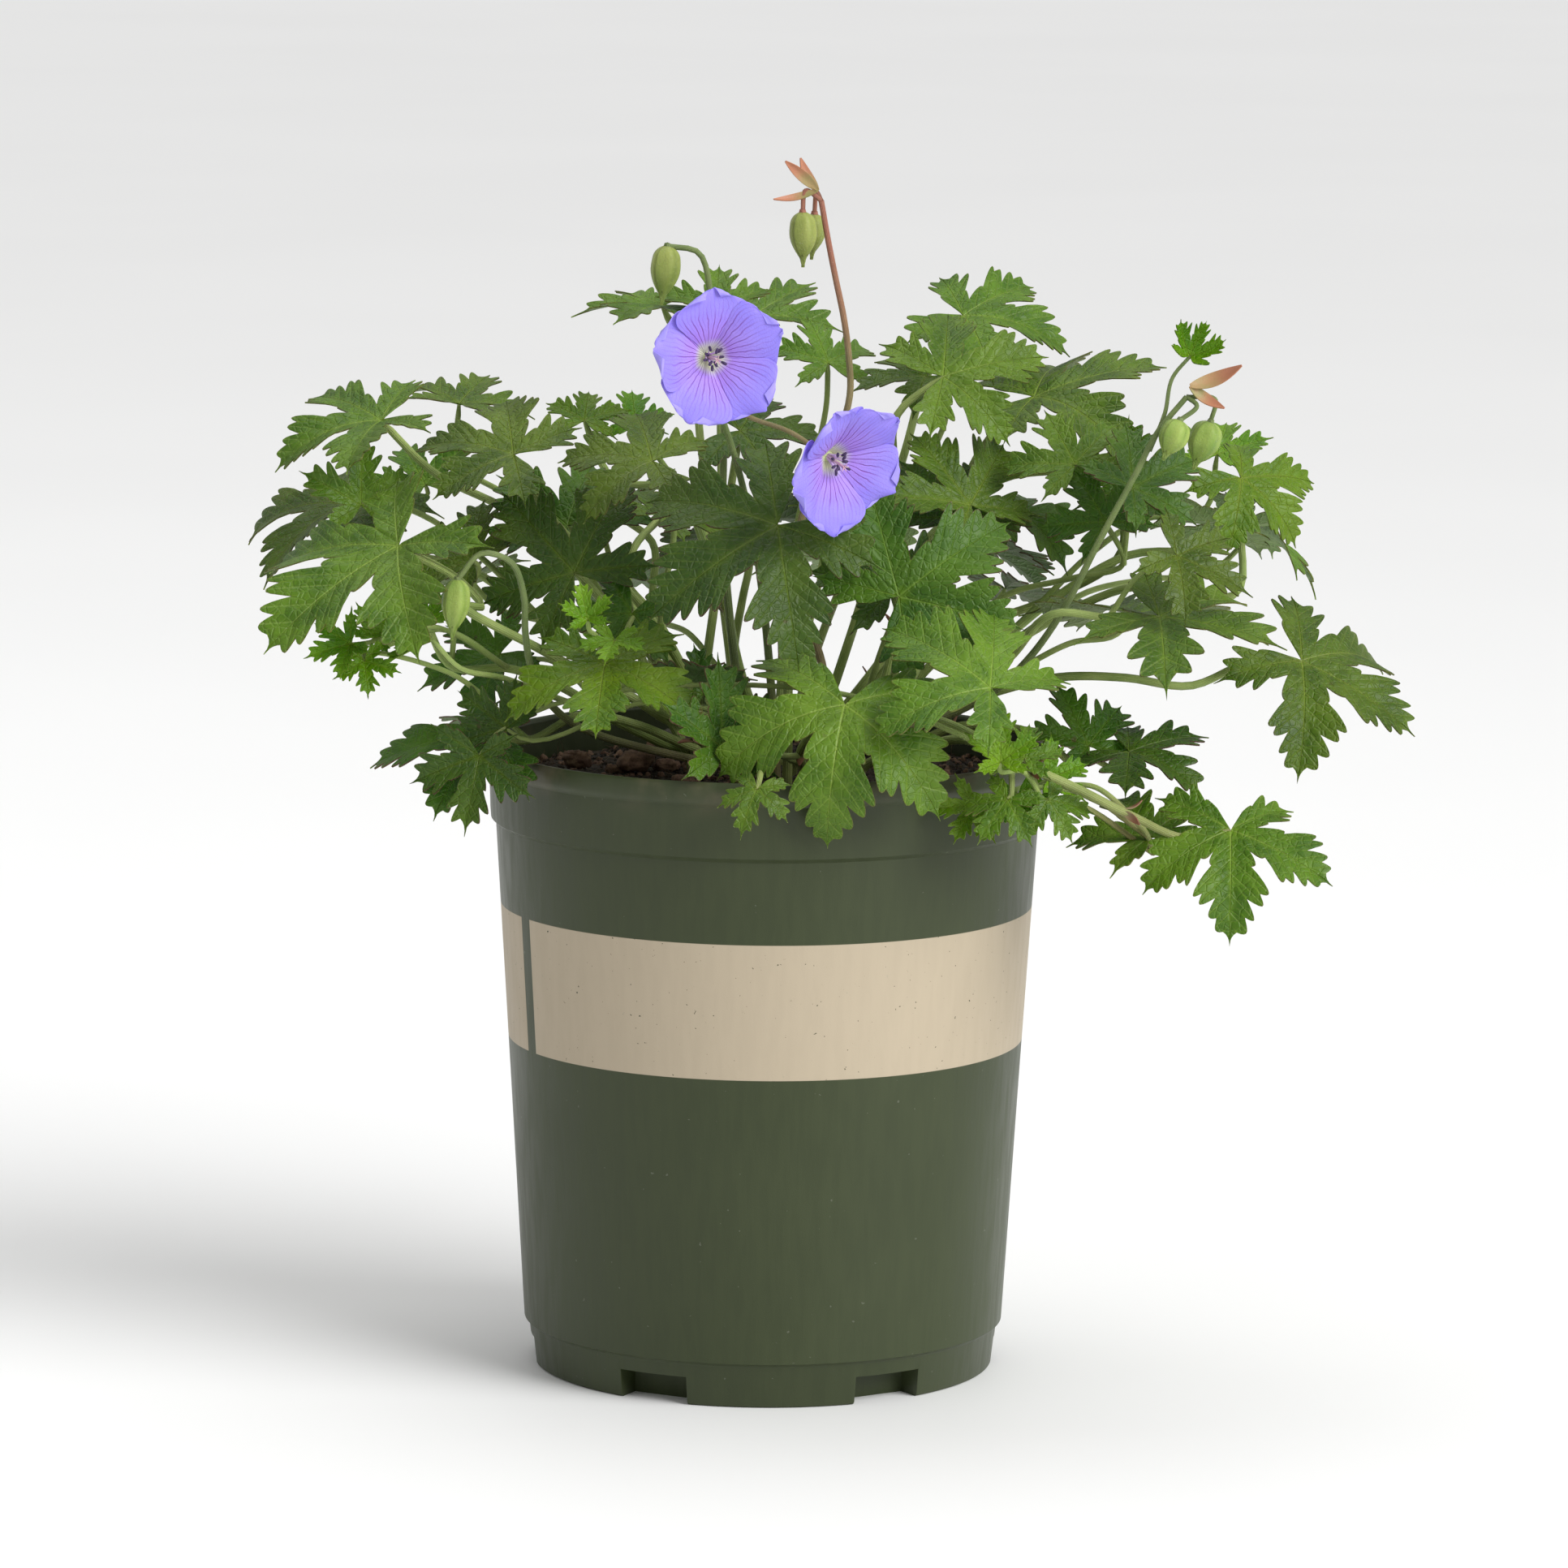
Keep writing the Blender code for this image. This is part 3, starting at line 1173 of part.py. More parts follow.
def main():
    """Build the potted plant."""
    for item in list(bpy.data.objects):
        bpy.data.objects.remove(item)
    stems = STEMS + back_stems()
    aims = {stem.name: sum((front(leaf.place) for leaf in stem.leaves), Vector()) / len(stem.leaves)
            for stem in stems}
    aims.update({name: front(points[-1]) for name, points in FLOWER_STALKS.items()})
    roots = plan_roots(aims)
    clearance = Clearance()
    cup = ((80.0, 187.0), (79.0, SOIL_LEVEL + 1.0), (0.0, SOIL_LEVEL + 1.0))
    clearance.add("pot", *turned(((0.0, 150.0),) + POT_OUTSIDE[3:] + cup, POT_SEGMENTS))
    for lump in bark(list(roots.values())):
        clearance.add("pot", *lump)
    stalks = stalk_solids(roots)
    blooms = {}
    for name, throat, axis, spin in BLOOMS:
        throat = front(throat)
        blooms[name + "_petals"] = bloom_petals(axis, throat, spin)
        blooms[name + "_stamens"] = bloom_stamens(axis, throat)
    bracts = {name: [bract(front(base), front(tip), half, face) for base, tip, half, face in pieces]
              for name, pieces in BRACTS.items()}
    for name, pieces in {**stalks, **blooms, **bracts}.items():
        for piece in pieces:
            clearance.add(name, *piece)
    leafy = grow(clearance, roots)

    pot()
    radii = [STALK_RADIUS[0] if name in FLOWER_STALKS else STEM_RADIUS for name in roots]
    potting_mix(list(roots.values()), [(radius + GAP) * HOLE_SLACK for radius in radii])
    for name, (tone, pieces) in leafy.items():
        finish(combine(name, pieces), COLOURS[tone], 0.55)
    for name, pieces in stalks.items():
        finish(combine(name, pieces), COLOURS["stalk"], 0.55)
    for name, pieces in blooms.items():
        tone = "petal" if name.endswith("petals") else "stamen"
        finish(combine(name, pieces), COLOURS[tone], 0.5)
    for name, pieces in bracts.items():
        finish(combine(name, pieces), COLOURS["bract"], 0.5)


main()
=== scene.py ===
"""The looks of a hardy geranium in its nursery pot.

The pot's axis is Z and the ground is z = 0.  Sizes are in millimetres and are scaled to metres when a mesh
is made.  Leaves, buds and blooms are placed in a drawing of the front view: millimetres across from the
pot's axis, millimetres up the picture, and a depth, which is the plain y coordinate.
"""

import functools
import itertools
import logging
import math
import random
from dataclasses import dataclass, field
from enum import Enum

import bpy
import numpy as np
from mathutils import Matrix, Vector, noise
from mathutils.bvhtree import BVHTree
from mathutils.kdtree import KDTree


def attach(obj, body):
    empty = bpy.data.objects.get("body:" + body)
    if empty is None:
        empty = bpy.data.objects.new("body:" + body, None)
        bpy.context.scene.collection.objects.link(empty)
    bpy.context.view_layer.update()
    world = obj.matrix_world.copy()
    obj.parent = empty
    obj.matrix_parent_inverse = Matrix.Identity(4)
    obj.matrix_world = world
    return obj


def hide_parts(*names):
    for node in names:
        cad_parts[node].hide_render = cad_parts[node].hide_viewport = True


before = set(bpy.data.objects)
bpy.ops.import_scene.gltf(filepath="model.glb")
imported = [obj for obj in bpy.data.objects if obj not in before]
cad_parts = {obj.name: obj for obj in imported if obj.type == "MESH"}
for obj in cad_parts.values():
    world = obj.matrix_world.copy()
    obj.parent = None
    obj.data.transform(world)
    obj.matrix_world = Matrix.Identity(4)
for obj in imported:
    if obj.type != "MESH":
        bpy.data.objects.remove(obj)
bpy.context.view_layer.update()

LOG = logging.getLogger("geranium")
MM = 0.001
BODY = "root"
SCALE_KEEL = 0.30
SCALE_THICKNESS = 0.35


class Tone(Enum):
    """How old a stem's leaves are, as the record's slot for them."""

    OLD = "leaf_old"
    MATURE = "leaf_mature"
    YOUNG = "leaf_young"


class Side(Enum):
    """Where a face of a plant's skin lies, as its place among the piece's materials."""

    UPPER = 0
    UNDER = 1
    STALK = 2
    BUD = 3


@dataclass(frozen=True)
class Leaf:
    """One palmate leaf: where its petiole joins it, how it faces and how it bends."""

    name: str
    place: tuple
    size: float
    aim: float
    normal: tuple
    droop: float
    cup: float
    detail: int
    via: tuple = ()
    heading: tuple = ()
    fork: float = 0.40


@dataclass(frozen=True)
class Stem:
    """One leafy stem: its leaves' age and its leaves."""

    name: str
    tone: Tone
    leaves: tuple


# Leafy stems.  A leaf's place is (across, up, depth), its aim is the bearing of its middle lobe in the
# front view, and its normal is the way its upper face looks.
STEMS = (
    Stem("leafy_stem_front_rim", Tone.MATURE, (
        Leaf("long_lobe", (24, 197, -76), 52, 256, (-0.05, -0.80, 0.60), 86, 10, 3),
        Leaf("small_hanging_leaf", (-2, 172, -97), 15, 250, (-0.1, -0.75, 0.65), 60, 8, 2,
             ((0, 186, -78), (-1, 182, -89))),
    )),
    Stem("leafy_stem_front_right", Tone.MATURE, (
        Leaf("open_hand", (67, 202, -86), 40, 150, (0.0, -0.72, 0.69), 42, 8, 3),
    )),
    Stem("leafy_stem_front_left", Tone.YOUNG, (
        Leaf("new_leaf", (-47, 209, -58), 37, 262, (-0.08, -0.55, 0.83), 38, 10, 3),
        Leaf("newest_leaf", (-44, 216, -60), 14, 250, (-0.08, -0.60, 0.80), 20, 20, 2),
    )),
    Stem("leafy_stem_front_low", Tone.OLD, (
        Leaf("folded_leaf", (-12, 184, -64), 28, 100, (0.45, -0.75, 0.35), 6, 15, 2),
        Leaf("back_turned_leaf", (-21, 204, -42), 22, 60, (0.1, 0.35, 0.90), 20, 10, 2),
    )),
    Stem("leafy_stem_centre", Tone.OLD, (
        Leaf("broad_leaf", (4, 250, -55), 50, 214, (-0.05, -0.80, 0.60), 50, 8, 3),
    )),
    Stem("leafy_stem_left_rim", Tone.OLD, (
        Leaf("rim_leaf", (-80, 187, -34), 42, 196, (-0.35, -0.40, 0.85), 62, 12, 3,
             ((-60, 193, -28),)),
    )),
    Stem("leafy_stem_left_bud", Tone.YOUNG, (
        Leaf("small_leaf", (-100, 222, -18), 17, 120, (-0.3, -0.6, 0.74), 28, 10, 2),
        Leaf("opening_leaf", (-98, 216, -46), 25, 95, (-0.90, -0.38, 0.10), 30, 66, 2,
             ((-80, 206, -40),)),
    )),
    Stem("leafy_stem_left_far", Tone.MATURE, (
        Leaf("long_reach", (-108, 244, -45), 50, 218, (-0.35, -0.50, 0.79), 42, 12, 3,
             ((-82, 228, -35), (-70, 224, -25))),
    )),
    Stem("leafy_stem_left_end", Tone.MATURE, (
        Leaf("end_leaf", (-123, 256, 25), 42, 206, (-0.20, -0.28, 0.94), 57, 14, 3),
        Leaf("upright_leaf", (-119, 256, 2), 22, 96, (0.1, -0.9, 0.42), 6, 10, 2),
    )),
    Stem("leafy_stem_left_top", Tone.MATURE, (
        Leaf("left_top_leaf", (-113, 281, 10), 36, 192, (-0.15, -0.30, 0.94), 42, 16, 3),
        Leaf("behind_top_leaf", (-90, 286, 45), 26, 30, (0.1, -0.2, 0.97), 35, 14, 2),
    )),
    Stem("leafy_stem_left_mid", Tone.MATURE, (
        Leaf("left_mid_leaf", (-74, 271, -12), 34, 165, (0.0, -0.55, 0.83), 42, 10, 3),
    )),
    Stem("leafy_stem_left_dark", Tone.OLD, (
        Leaf("dark_leaf", (-56, 236, -26), 36, 135, (-0.2, -0.85, 0.48), 28, 8, 3),
        Leaf("shaded_leaf", (-48, 251, 26), 28, 150, (0.0, -0.4, 0.92), 42, 10, 2),
    )),
    Stem("leafy_stem_mid_left", Tone.MATURE, (
        Leaf("second_leaf", (-30, 253, 2), 27, 15, (0.1, -0.3, 0.95), 42, 8, 2),
        Leaf("mid_left_leaf", (-33, 269, -25), 33, 172, (0.0, -0.5, 0.87), 47, 10, 3),
    )),
    Stem("leafy_stem_top_left", Tone.MATURE, (
        Leaf("top_left_leaf", (-30, 315, 55), 27, 180, (0.0, -0.15, 0.99), 32, 10, 2),
        Leaf("top_left_young", (-14, 314, 46), 22, 95, (0.0, -0.45, 0.89), 20, 12, 2),
    )),
    Stem("leafy_stem_top_mid", Tone.MATURE, (
        Leaf("top_mid_leaf", (-3, 312, 62), 28, 20, (0.1, -0.35, 0.93), 28, 12, 2),
        Leaf("sunlit_leaf", (19, 298, 38), 22, 112, (0.2, -0.6, 0.77), 35, 8, 2),
    )),
    Stem("leafy_stem_mid", Tone.OLD, (
        Leaf("mid_dark_leaf", (-7, 278, 6), 31, -4, (0.1, -0.6, 0.79), 42, 10, 2),
    )),
    Stem("leafy_stem_back_row", Tone.YOUNG, (
        Leaf("back_row_left", (-53, 281, 60), 18, 80, (0.0, -0.5, 0.87), 28, 8, 2),
        Leaf("back_row_right", (-38, 280, 66), 18, 100, (0.0, -0.5, 0.87), 28, 8, 2),
    )),
    Stem("leafy_stem_right_top", Tone.MATURE, (
        Leaf("crowning_leaf", (59, 312, 36), 35, -8, (0.05, -0.45, 0.89), 47, 14, 3),
        Leaf("under_crowning_leaf", (48, 294, 18), 25, 186, (0.0, -0.35, 0.94), 42, 12, 2),
    )),
    Stem("leafy_stem_right_mid", Tone.MATURE, (
        Leaf("right_mid_leaf", (53, 294, -6), 34, 14, (0.05, -0.72, 0.69), 42, 8, 3),
        Leaf("side_on_leaf", (61, 256, -20), 32, 128, (0.40, -0.62, 0.67), 20, 8, 3),
    )),
    Stem("leafy_stem_right_high", Tone.MATURE, (
        Leaf("right_high_leaf", (80, 288, 18), 42, 12, (-0.1, -0.5, 0.86), 47, 12, 3),
        Leaf("right_inner_leaf", (92, 268, -10), 24, 118, (-0.1, -0.75, 0.65), 28, 8, 2),
    )),
    Stem("leafy_stem_right_dark", Tone.OLD, (
        Leaf("right_shaded_leaf", (75, 254, 22), 27, -35, (0.2, -0.4, 0.89), 50, 8, 2),
        Leaf("right_dark_leaf", (101, 251, -20), 23, 122, (-0.2, -0.8, 0.57), 20, 8, 2),
    )),
    Stem("leafy_stem_centre_right", Tone.OLD, (
        Leaf("raised_leaf", (38, 231, -34), 30, 108, (0.1, -0.85, 0.52), 23, 8, 2),
        Leaf("spread_leaf", (40, 229, -50), 42, 38, (-0.1, -0.8, 0.59), 38, 8, 3),
    )),
    Stem("leafy_stem_right_tip", Tone.YOUNG, (
        Leaf("bright_leaf", (141, 264, -12), 29, -38, (0.3, -0.65, 0.70), 57, 8, 3),
        Leaf("bright_small_leaf", (134, 271, 20), 20, 70, (0.0, -0.5, 0.87), 20, 10, 2),
    )),
    Stem("leafy_stem_right_under", Tone.MATURE, (
        Leaf("turned_leaf", (141, 249, 18), 34, 168, (0.1, 0.45, 0.89), 35, 10, 2),
        Leaf("hanging_leaf", (145, 248, 32), 34, -32, (0.2, -0.2, 0.96), 57, 10, 2),
    )),
    Stem("leafy_stem_right_low", Tone.MATURE, (
        Leaf("level_leaf", (117, 223, -52), 42, -9, (0.0, -0.35, 0.94), 35, 10, 2),
        Leaf("slanting_leaf", (110, 224, -28), 48, -40, (0.15, 0.50, 0.85), 32, 8, 3, ((96, 217, -25),)),
    )),
    Stem("leafy_stem_right_grey", Tone.OLD, (
        Leaf("grey_leaf", (106, 261, 4), 26, 78, (-0.2, -0.7, 0.69), 20, 8, 2),
    )),
    Stem("trailing_stem", Tone.MATURE, (
        Leaf("furthest_leaf", (159, 210, -5), 45, -30, (0.25, -0.60, 0.76), 52, 8, 3,
             ((98, 200, -10), (128, 197, -8), (136, 199, -6), (148, 205, -5))),
    )),
    Stem("leafy_stem_right_rim", Tone.OLD, (
        Leaf("rim_upright_leaf", (96, 185, -16), 25, 125, (0.3, -0.6, 0.74), 20, 8, 2),
        Leaf("rim_flat_leaf", (108, 183, -20), 33, -10, (0.0, -0.3, 0.95), 42, 10, 2),
    )),
    Stem("runner", Tone.MATURE, (
        Leaf("runner_leaf", (138, 160, -64), 36, 268, (0.0, -0.62, 0.78), 50, 10, 3,
             ((76, 177, -78), (94, 169, -74), (114, 159, -68))),
        Leaf("runner_turned_leaf", (114, 158, -50), 32, 128, (-0.1, -0.45, 0.89), 42, 8, 2,
             fork=0.78),
        Leaf("rim_bud_middle", (77, 181, -77), 15, 80, (0.0, -0.75, 0.66), 30, 5, 2, fork=0.50),
        Leaf("rim_bud_left", (72, 169, -82), 18, 236, (-0.2, -0.8, 0.57), 35, 5, 2, fork=0.54),
        Leaf("rim_bud_right", (84, 169, -80), 16, -60, (0.3, -0.8, 0.52), 35, 5, 2, fork=0.58),
    )),
)

# Flower stalks, as the (across, up, depth) points that each runs through.
FRONT_STALK = ((2, 205, -14), (-4, 252, -34), (-11, 278, -50), (-15, 288, -60))
PEDICELS = (
    ((-15, 287, -59), (-19, 294, -62)),
    ((-15, 287, -59), (-3, 281.5, -62), (8, 277.5, -66)),
)
TALL_STALK = ((17, 210, -2), (9, 234, 2), (14, 261, 2), (25, 285, -2), (24, 309, -6), (20, 329, -8),
              (17, 346, -9))
LEFT_TOP_STALK = ((-12, 250, 20), (-12, 288, 30), (-15, 314, 34), (-17.5, 326, 34), (-24, 335.5, 33),
                  (-28.5, 332.5, 32))
LEFT_LOW_STALK = ((-62, 196, -34), (-70, 213, -50), (-72, 233, -56), (-79, 243, -58), (-86, 240, -59),
                  (-90.5, 234, -60))
RIGHT_STALK = ((74, 206, -30), (86, 221, -40), (100, 247, -48), (112, 269, -50), (120, 283, -50),
               (125, 288, -50))
FLOWER_STALKS = {
    "flower_stalk_front": FRONT_STALK,
    "flower_stalk_tall": TALL_STALK,
    "flower_stalk_left_top": LEFT_TOP_STALK,
    "flower_stalk_left_low": LEFT_LOW_STALK,
    "flower_stalk_right": RIGHT_STALK,
}

# The nodding buds of each stalk: its twig's points, the bud's tip and its widest radius.
BUD_TWIGS = {
    "flower_stalk_tall": (
        (((17, 346, -9), (12.5, 349, -9.5), (11.5, 342.5, -10)), (11.6, 328, -10.5), 3.9),
        (((17, 346, -9), (15.6, 348.5, -4), (15, 342, -1)), (14.2, 330, -0.5), 3.4),
    ),
    "flower_stalk_left_top": ((((-28.5, 332.5, 32),), (-30, 317, 31), 4.3),),
    "flower_stalk_left_low": ((((-90.5, 234, -60),), (-92, 218, -60), 4.0),),
    "flower_stalk_right": (
        (((125, 288, -50), (128, 285.5, -52), (123, 281, -53)), (118.5, 270.5, -54), 4.2),
        (((125, 288, -50), (133.5, 287, -47), (132, 280.5, -46)), (127.5, 268, -46), 4.6),
    ),
}
STALK_LEAVES = {
    "flower_stalk_right": (
        (((114, 272, -50), (118.5, 283, -47), (121, 294, -43)),
         Leaf("curled_leaf", (126, 300, -42), 14, 60, (0.2, -0.80, 0.55), -60, 25, 2)),
    ),
}
BRACTS = {
    "bract_top": (
        ((16.0, 349.2, -10.7), (6.5, 357.5, -12.7), 1.9, (-0.3, -1.0, 0.3)),
        ((16.0, 349.2, -10.7), (11.0, 358.6, -7.7), 1.9, (0.5, -1.0, 0.2)),
        ((16.0, 349.2, -10.7), (3.0, 346.5, -13.7), 1.3, (-0.1, -1.0, 0.5)),
    ),
    "bract_right": (
        ((126.1, 291.3, -51.4), (141.1, 297.3, -52.9), 2.6, (-0.3, -1.0, 0.5)),
        ((126.1, 291.3, -51.4), (136.1, 284.8, -53.9), 2.0, (0.3, -1.0, 0.4)),
    ),
}
BLOOMS = (
    ("bloom_front", (-17, 300, -68), (0.36, -0.93, 0.02), 18.0),
    ("bloom_side", (18.2, 271, -72), (0.62, -0.72, -0.30), 40.0),
)


def unit(vector: tuple) -> Vector:
    """The vector at length one."""
    return Vector(vector).normalized()


def taper(first: float, last: float, count: int) -> list:
    """Evenly changing radii for a tube's points."""
    return list(np.linspace(first, last, count))


def smooth_path(points: list, count: int) -> list:
    """Evenly spread points on a smooth curve.

    Args:
        points: The points that the curve runs through.
        count: How many points to give.

    Returns:
        The curve's points as vectors.
    """
    points = np.array([tuple(point) for point in points], dtype=float)
    steps = np.linalg.norm(np.diff(points, axis=0), axis=1)
    knots = np.concatenate(([0.0], np.cumsum(np.maximum(steps, 1e-6))))
    chords = np.diff(points, axis=0) / np.diff(knots)[:, None]
    tangents = np.empty_like(points)
    tangents[0] = chords[0]
    tangents[-1] = chords[-1]
    before = np.diff(knots)[:-1, None]
    after = np.diff(knots)[1:, None]
    tangents[1:-1] = (chords[:-1] * after + chords[1:] * before) / (before + after)
    places = np.linspace(0.0, knots[-1], count)
    spans = np.minimum(np.searchsorted(knots, places, side="right") - 1, len(points) - 2)
    width = (knots[spans + 1] - knots[spans])[:, None]
    t = (places[:, None] - knots[spans][:, None]) / width
    curve = (
        (2 * t ** 3 - 3 * t ** 2 + 1) * points[spans]
        + (t ** 3 - 2 * t ** 2 + t) * width * tangents[spans]
        + (3 * t ** 2 - 2 * t ** 3) * points[spans + 1]
        + (t ** 3 - t ** 2) * width * tangents[spans + 1]
    )
    return [Vector(spot) for spot in curve]


def along_path(path: list, share: float) -> Vector:
    """The point at a share of a path's length."""
    steps = [(second - first).length for first, second in zip(path, path[1:])]
    left = share * sum(steps)
    for first, second, step in zip(path, path[1:], steps):
        if left <= step:
            return first.lerp(second, left / step)
        left -= step
    return path[-1].copy()


def facing(axis: tuple, place: Vector) -> Matrix:
    """A matrix that stands local +Z along an axis at a place."""
    up = unit(axis)
    first = up.orthogonal().normalized()
    matrix = Matrix((first, up.cross(first), up)).transposed().to_4x4()
    matrix.translation = place
    return matrix


@dataclass(frozen=True)
class FrontView:
    """The front view's eye: where it stands, how it is tilted, and the plane its drawing is made on."""

    distance: float = 2500.0
    height: float = 561.4
    across: float = 5.0
    pitch: float = 0.153
    roll: float = 0.009
    plane: float = 2489.4
    centre: tuple = (6.0, 173.6)
    sensor: float = 36.0
    lens: float = 193.43

    def world(self, place: tuple) -> Vector:
        """The world point of an (across, up, depth) place.

        Args:
            place: The place in the front view's drawing, in millimetres.

        Returns:
            The point in millimetres.
        """
        across, up, depth = place
        a = across - self.centre[0]
        b = up - self.centre[1]
        u = math.cos(self.roll) * a - math.sin(self.roll) * b
        w = math.sin(self.roll) * a + math.cos(self.roll) * b
        ray_y = math.cos(self.pitch) * self.plane + math.sin(self.pitch) * w
        ray_z = math.cos(self.pitch) * w - math.sin(self.pitch) * self.plane
        stretch = (depth + self.distance) / ray_y
        return Vector((self.across + u * stretch, depth, self.height + ray_z * stretch))

    def drawn(self, spot: Vector) -> tuple:
        """Where a world point appears in the drawing.

        Args:
            spot: The point in millimetres.

        Returns:
            Its (across, up, depth) place.
        """
        offset = Vector((spot.x - self.across, spot.y + self.distance, spot.z - self.height))
        deep = math.cos(self.pitch) * offset.y - math.sin(self.pitch) * offset.z
        w = (math.sin(self.pitch) * offset.y + math.cos(self.pitch) * offset.z) * self.plane / deep
        u = offset.x * self.plane / deep
        a = math.cos(self.roll) * u + math.sin(self.roll) * w
        b = math.cos(self.roll) * w - math.sin(self.roll) * u
        return (a + self.centre[0], b + self.centre[1], spot.y)

    def make_camera(self) -> bpy.types.Object:
        """The camera that sees the drawing."""
        lens = bpy.data.cameras.new("front_view")
        lens.sensor_width = self.sensor
        lens.lens = self.lens
        lens.clip_end = 100.0
        camera = bpy.data.objects.new("front_view", lens)
        bpy.context.scene.collection.objects.link(camera)
        stand = Vector((self.across, -self.distance, self.height)) * MM
        tilt = Matrix.Rotation(math.pi / 2 - self.pitch, 4, "X") @ Matrix.Rotation(self.roll, 4, "Z")
        camera.matrix_world = Matrix.Translation(stand) @ tilt
        bpy.context.scene.camera = camera
        return camera


VIEW = FrontView()


def worlds(places: tuple) -> list:
    """The world points of several places in the front view."""
    return [VIEW.world(place) for place in places]


def round_spot(turn: float, reach: float = 1.0, height: float = 0.0) -> tuple:
    """The point at a part of a full turn round Z."""
    return (reach * math.cos(math.tau * turn), reach * math.sin(math.tau * turn), height)


class Skin:
    """A mesh in the making: points in millimetres, with each one's pattern place and tint."""

    def __init__(self) -> None:
        """Start with nothing."""
        self.points: list = []
        self.places: list = []
        self.tints: list = []
        self.faces: list = []
        self.slots: list = []

    def add(self, points: np.ndarray, faces: list, slot: int = 0, places: np.ndarray = None,
            tints: np.ndarray = None) -> None:
        """Add a closed shape.

        Args:
            points: Its points in millimetres, one row each.
            faces: Its faces as tuples of point numbers.
            slot: The material slot of all its faces, or a list with one for each face.
            places: Each point's place in the surface pattern, two numbers a row.
            tints: Each point's tint, four numbers a row.
        """
        base = sum(len(part) for part in self.points)
        count = len(points)
        self.points.append(np.asarray(points, dtype=float))
        self.places.append(np.zeros((count, 2)) if places is None else places)
        self.tints.append(np.zeros((count, 4)) if tints is None else tints)
        self.faces += [tuple(base + corner for corner in face) for face in faces]
        self.slots += list(slot) if isinstance(slot, list) else [slot] * len(faces)

    def add_turned(self, profile: list, segments: int, place: Matrix = Matrix(), slot: int = 0,
                   swell: float = 0.0, ribs: int = 0) -> None:
        """Add a closed shape turned about Z.

        Args:
            profile: (radius, height) points that run up from the axis and back to it.
            segments: How many faces go round it.
            place: Where it stands.
            slot: The material slot of all its faces.
            swell: Its ribs' height as a part of the radius.
            ribs: How many ribs run up it.
        """
        points, faces, places = turned(profile, segments, swell, ribs)
        self.add(moved(points, place), faces, slot, places)

    def build(self, name: str, materials: list, sharp: float = 60.0) -> bpy.types.Object:
        """Make the object.

        Args:
            name: The object's name.
            materials: The materials of its slots, in order.
            sharp: The angle in degrees past which an edge stays sharp.

        Returns:
            The object, in the scene.
        """
        mesh = bpy.data.meshes.new(name)
        mesh.from_pydata((np.vstack(self.points) * MM).tolist(), [], self.faces)
        corners = np.empty(len(mesh.loops), dtype=np.int32)
        mesh.loops.foreach_get("vertex_index", corners)
        layer = mesh.uv_layers.new(name="pattern")
        layer.data.foreach_set("uv", np.vstack(self.places)[corners].astype(np.float32).ravel())
        tint = mesh.color_attributes.new("tint", "FLOAT_COLOR", "POINT")
        tint.data.foreach_set("color", np.vstack(self.tints).astype(np.float32).ravel())
        for finish in materials:
            mesh.materials.append(finish)
        mesh.polygons.foreach_set("material_index", np.array(self.slots, dtype=np.int32))
        mesh.shade_smooth()
        mesh.set_sharp_from_angle(angle=math.radians(sharp))
        made = bpy.data.objects.new(name, mesh)
        bpy.context.scene.collection.objects.link(made)
        return made


def seat(piece: bpy.types.Object, slot: str, *nodes: str) -> bpy.types.Object:
    """Fix a finished piece to the frame.

    Args:
        piece: The finished piece.
        slot: The record's slot for its finish; not used.
        nodes: The CAD nodes that it stands for.

    Returns:
        The piece.
    """
    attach(piece, BODY)
    if nodes:
        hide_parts(*nodes)
    LOG.info("%s: %d faces", piece.name, len(piece.data.polygons))
    return piece


def point_normals(points: np.ndarray, faces: list) -> np.ndarray:
    """The unit normal at each point of a sheet of triangles and quads."""
    normals = np.zeros_like(points)
    for size in (3, 4):
        chosen = np.array([face for face in faces if len(face) == size], dtype=int)
        if not len(chosen):
            continue
        corner = points[chosen]
        across = corner[:, 2] - corner[:, 0]
        other = corner[:, 3] - corner[:, 1] if size == 4 else corner[:, 2] - corner[:, 1]
        made = np.cross(across, other)
        for column in range(size):
            np.add.at(normals, chosen[:, column], made)
    lengths = np.linalg.norm(normals, axis=1)
    lengths[lengths < 1e-12] = 1.0
    return normals / lengths[:, None]


def thicken(points: np.ndarray, faces: list, thickness: float, upper: int, under: int) -> tuple:
    """Close a sheet into a thin blade.

    Args:
        points: The upper sheet's points.
        faces: Its faces, turned to look up.
        thickness: How far below it the under side lies.
        upper: The slot of the upper side and the margin.
        under: The slot of the under side.

    Returns:
        The blade's points, faces and slots.
    """
    count = len(points)
    below = points - point_normals(points, faces) * thickness
    sides = {}
    for face in faces:
        for first, second in zip(face, face[1:] + face[:1]):
            sides[(first, second)] = True
    rim = [side for side in sides if (side[1], side[0]) not in sides]
    solid = list(faces) + [tuple(corner + count for corner in reversed(face)) for face in faces]
    solid += [(second, first, first + count, second + count) for first, second in rim]
    slots = [upper] * len(faces) + [under] * len(faces) + [upper] * len(rim)
    return np.vstack((points, below)), solid, slots


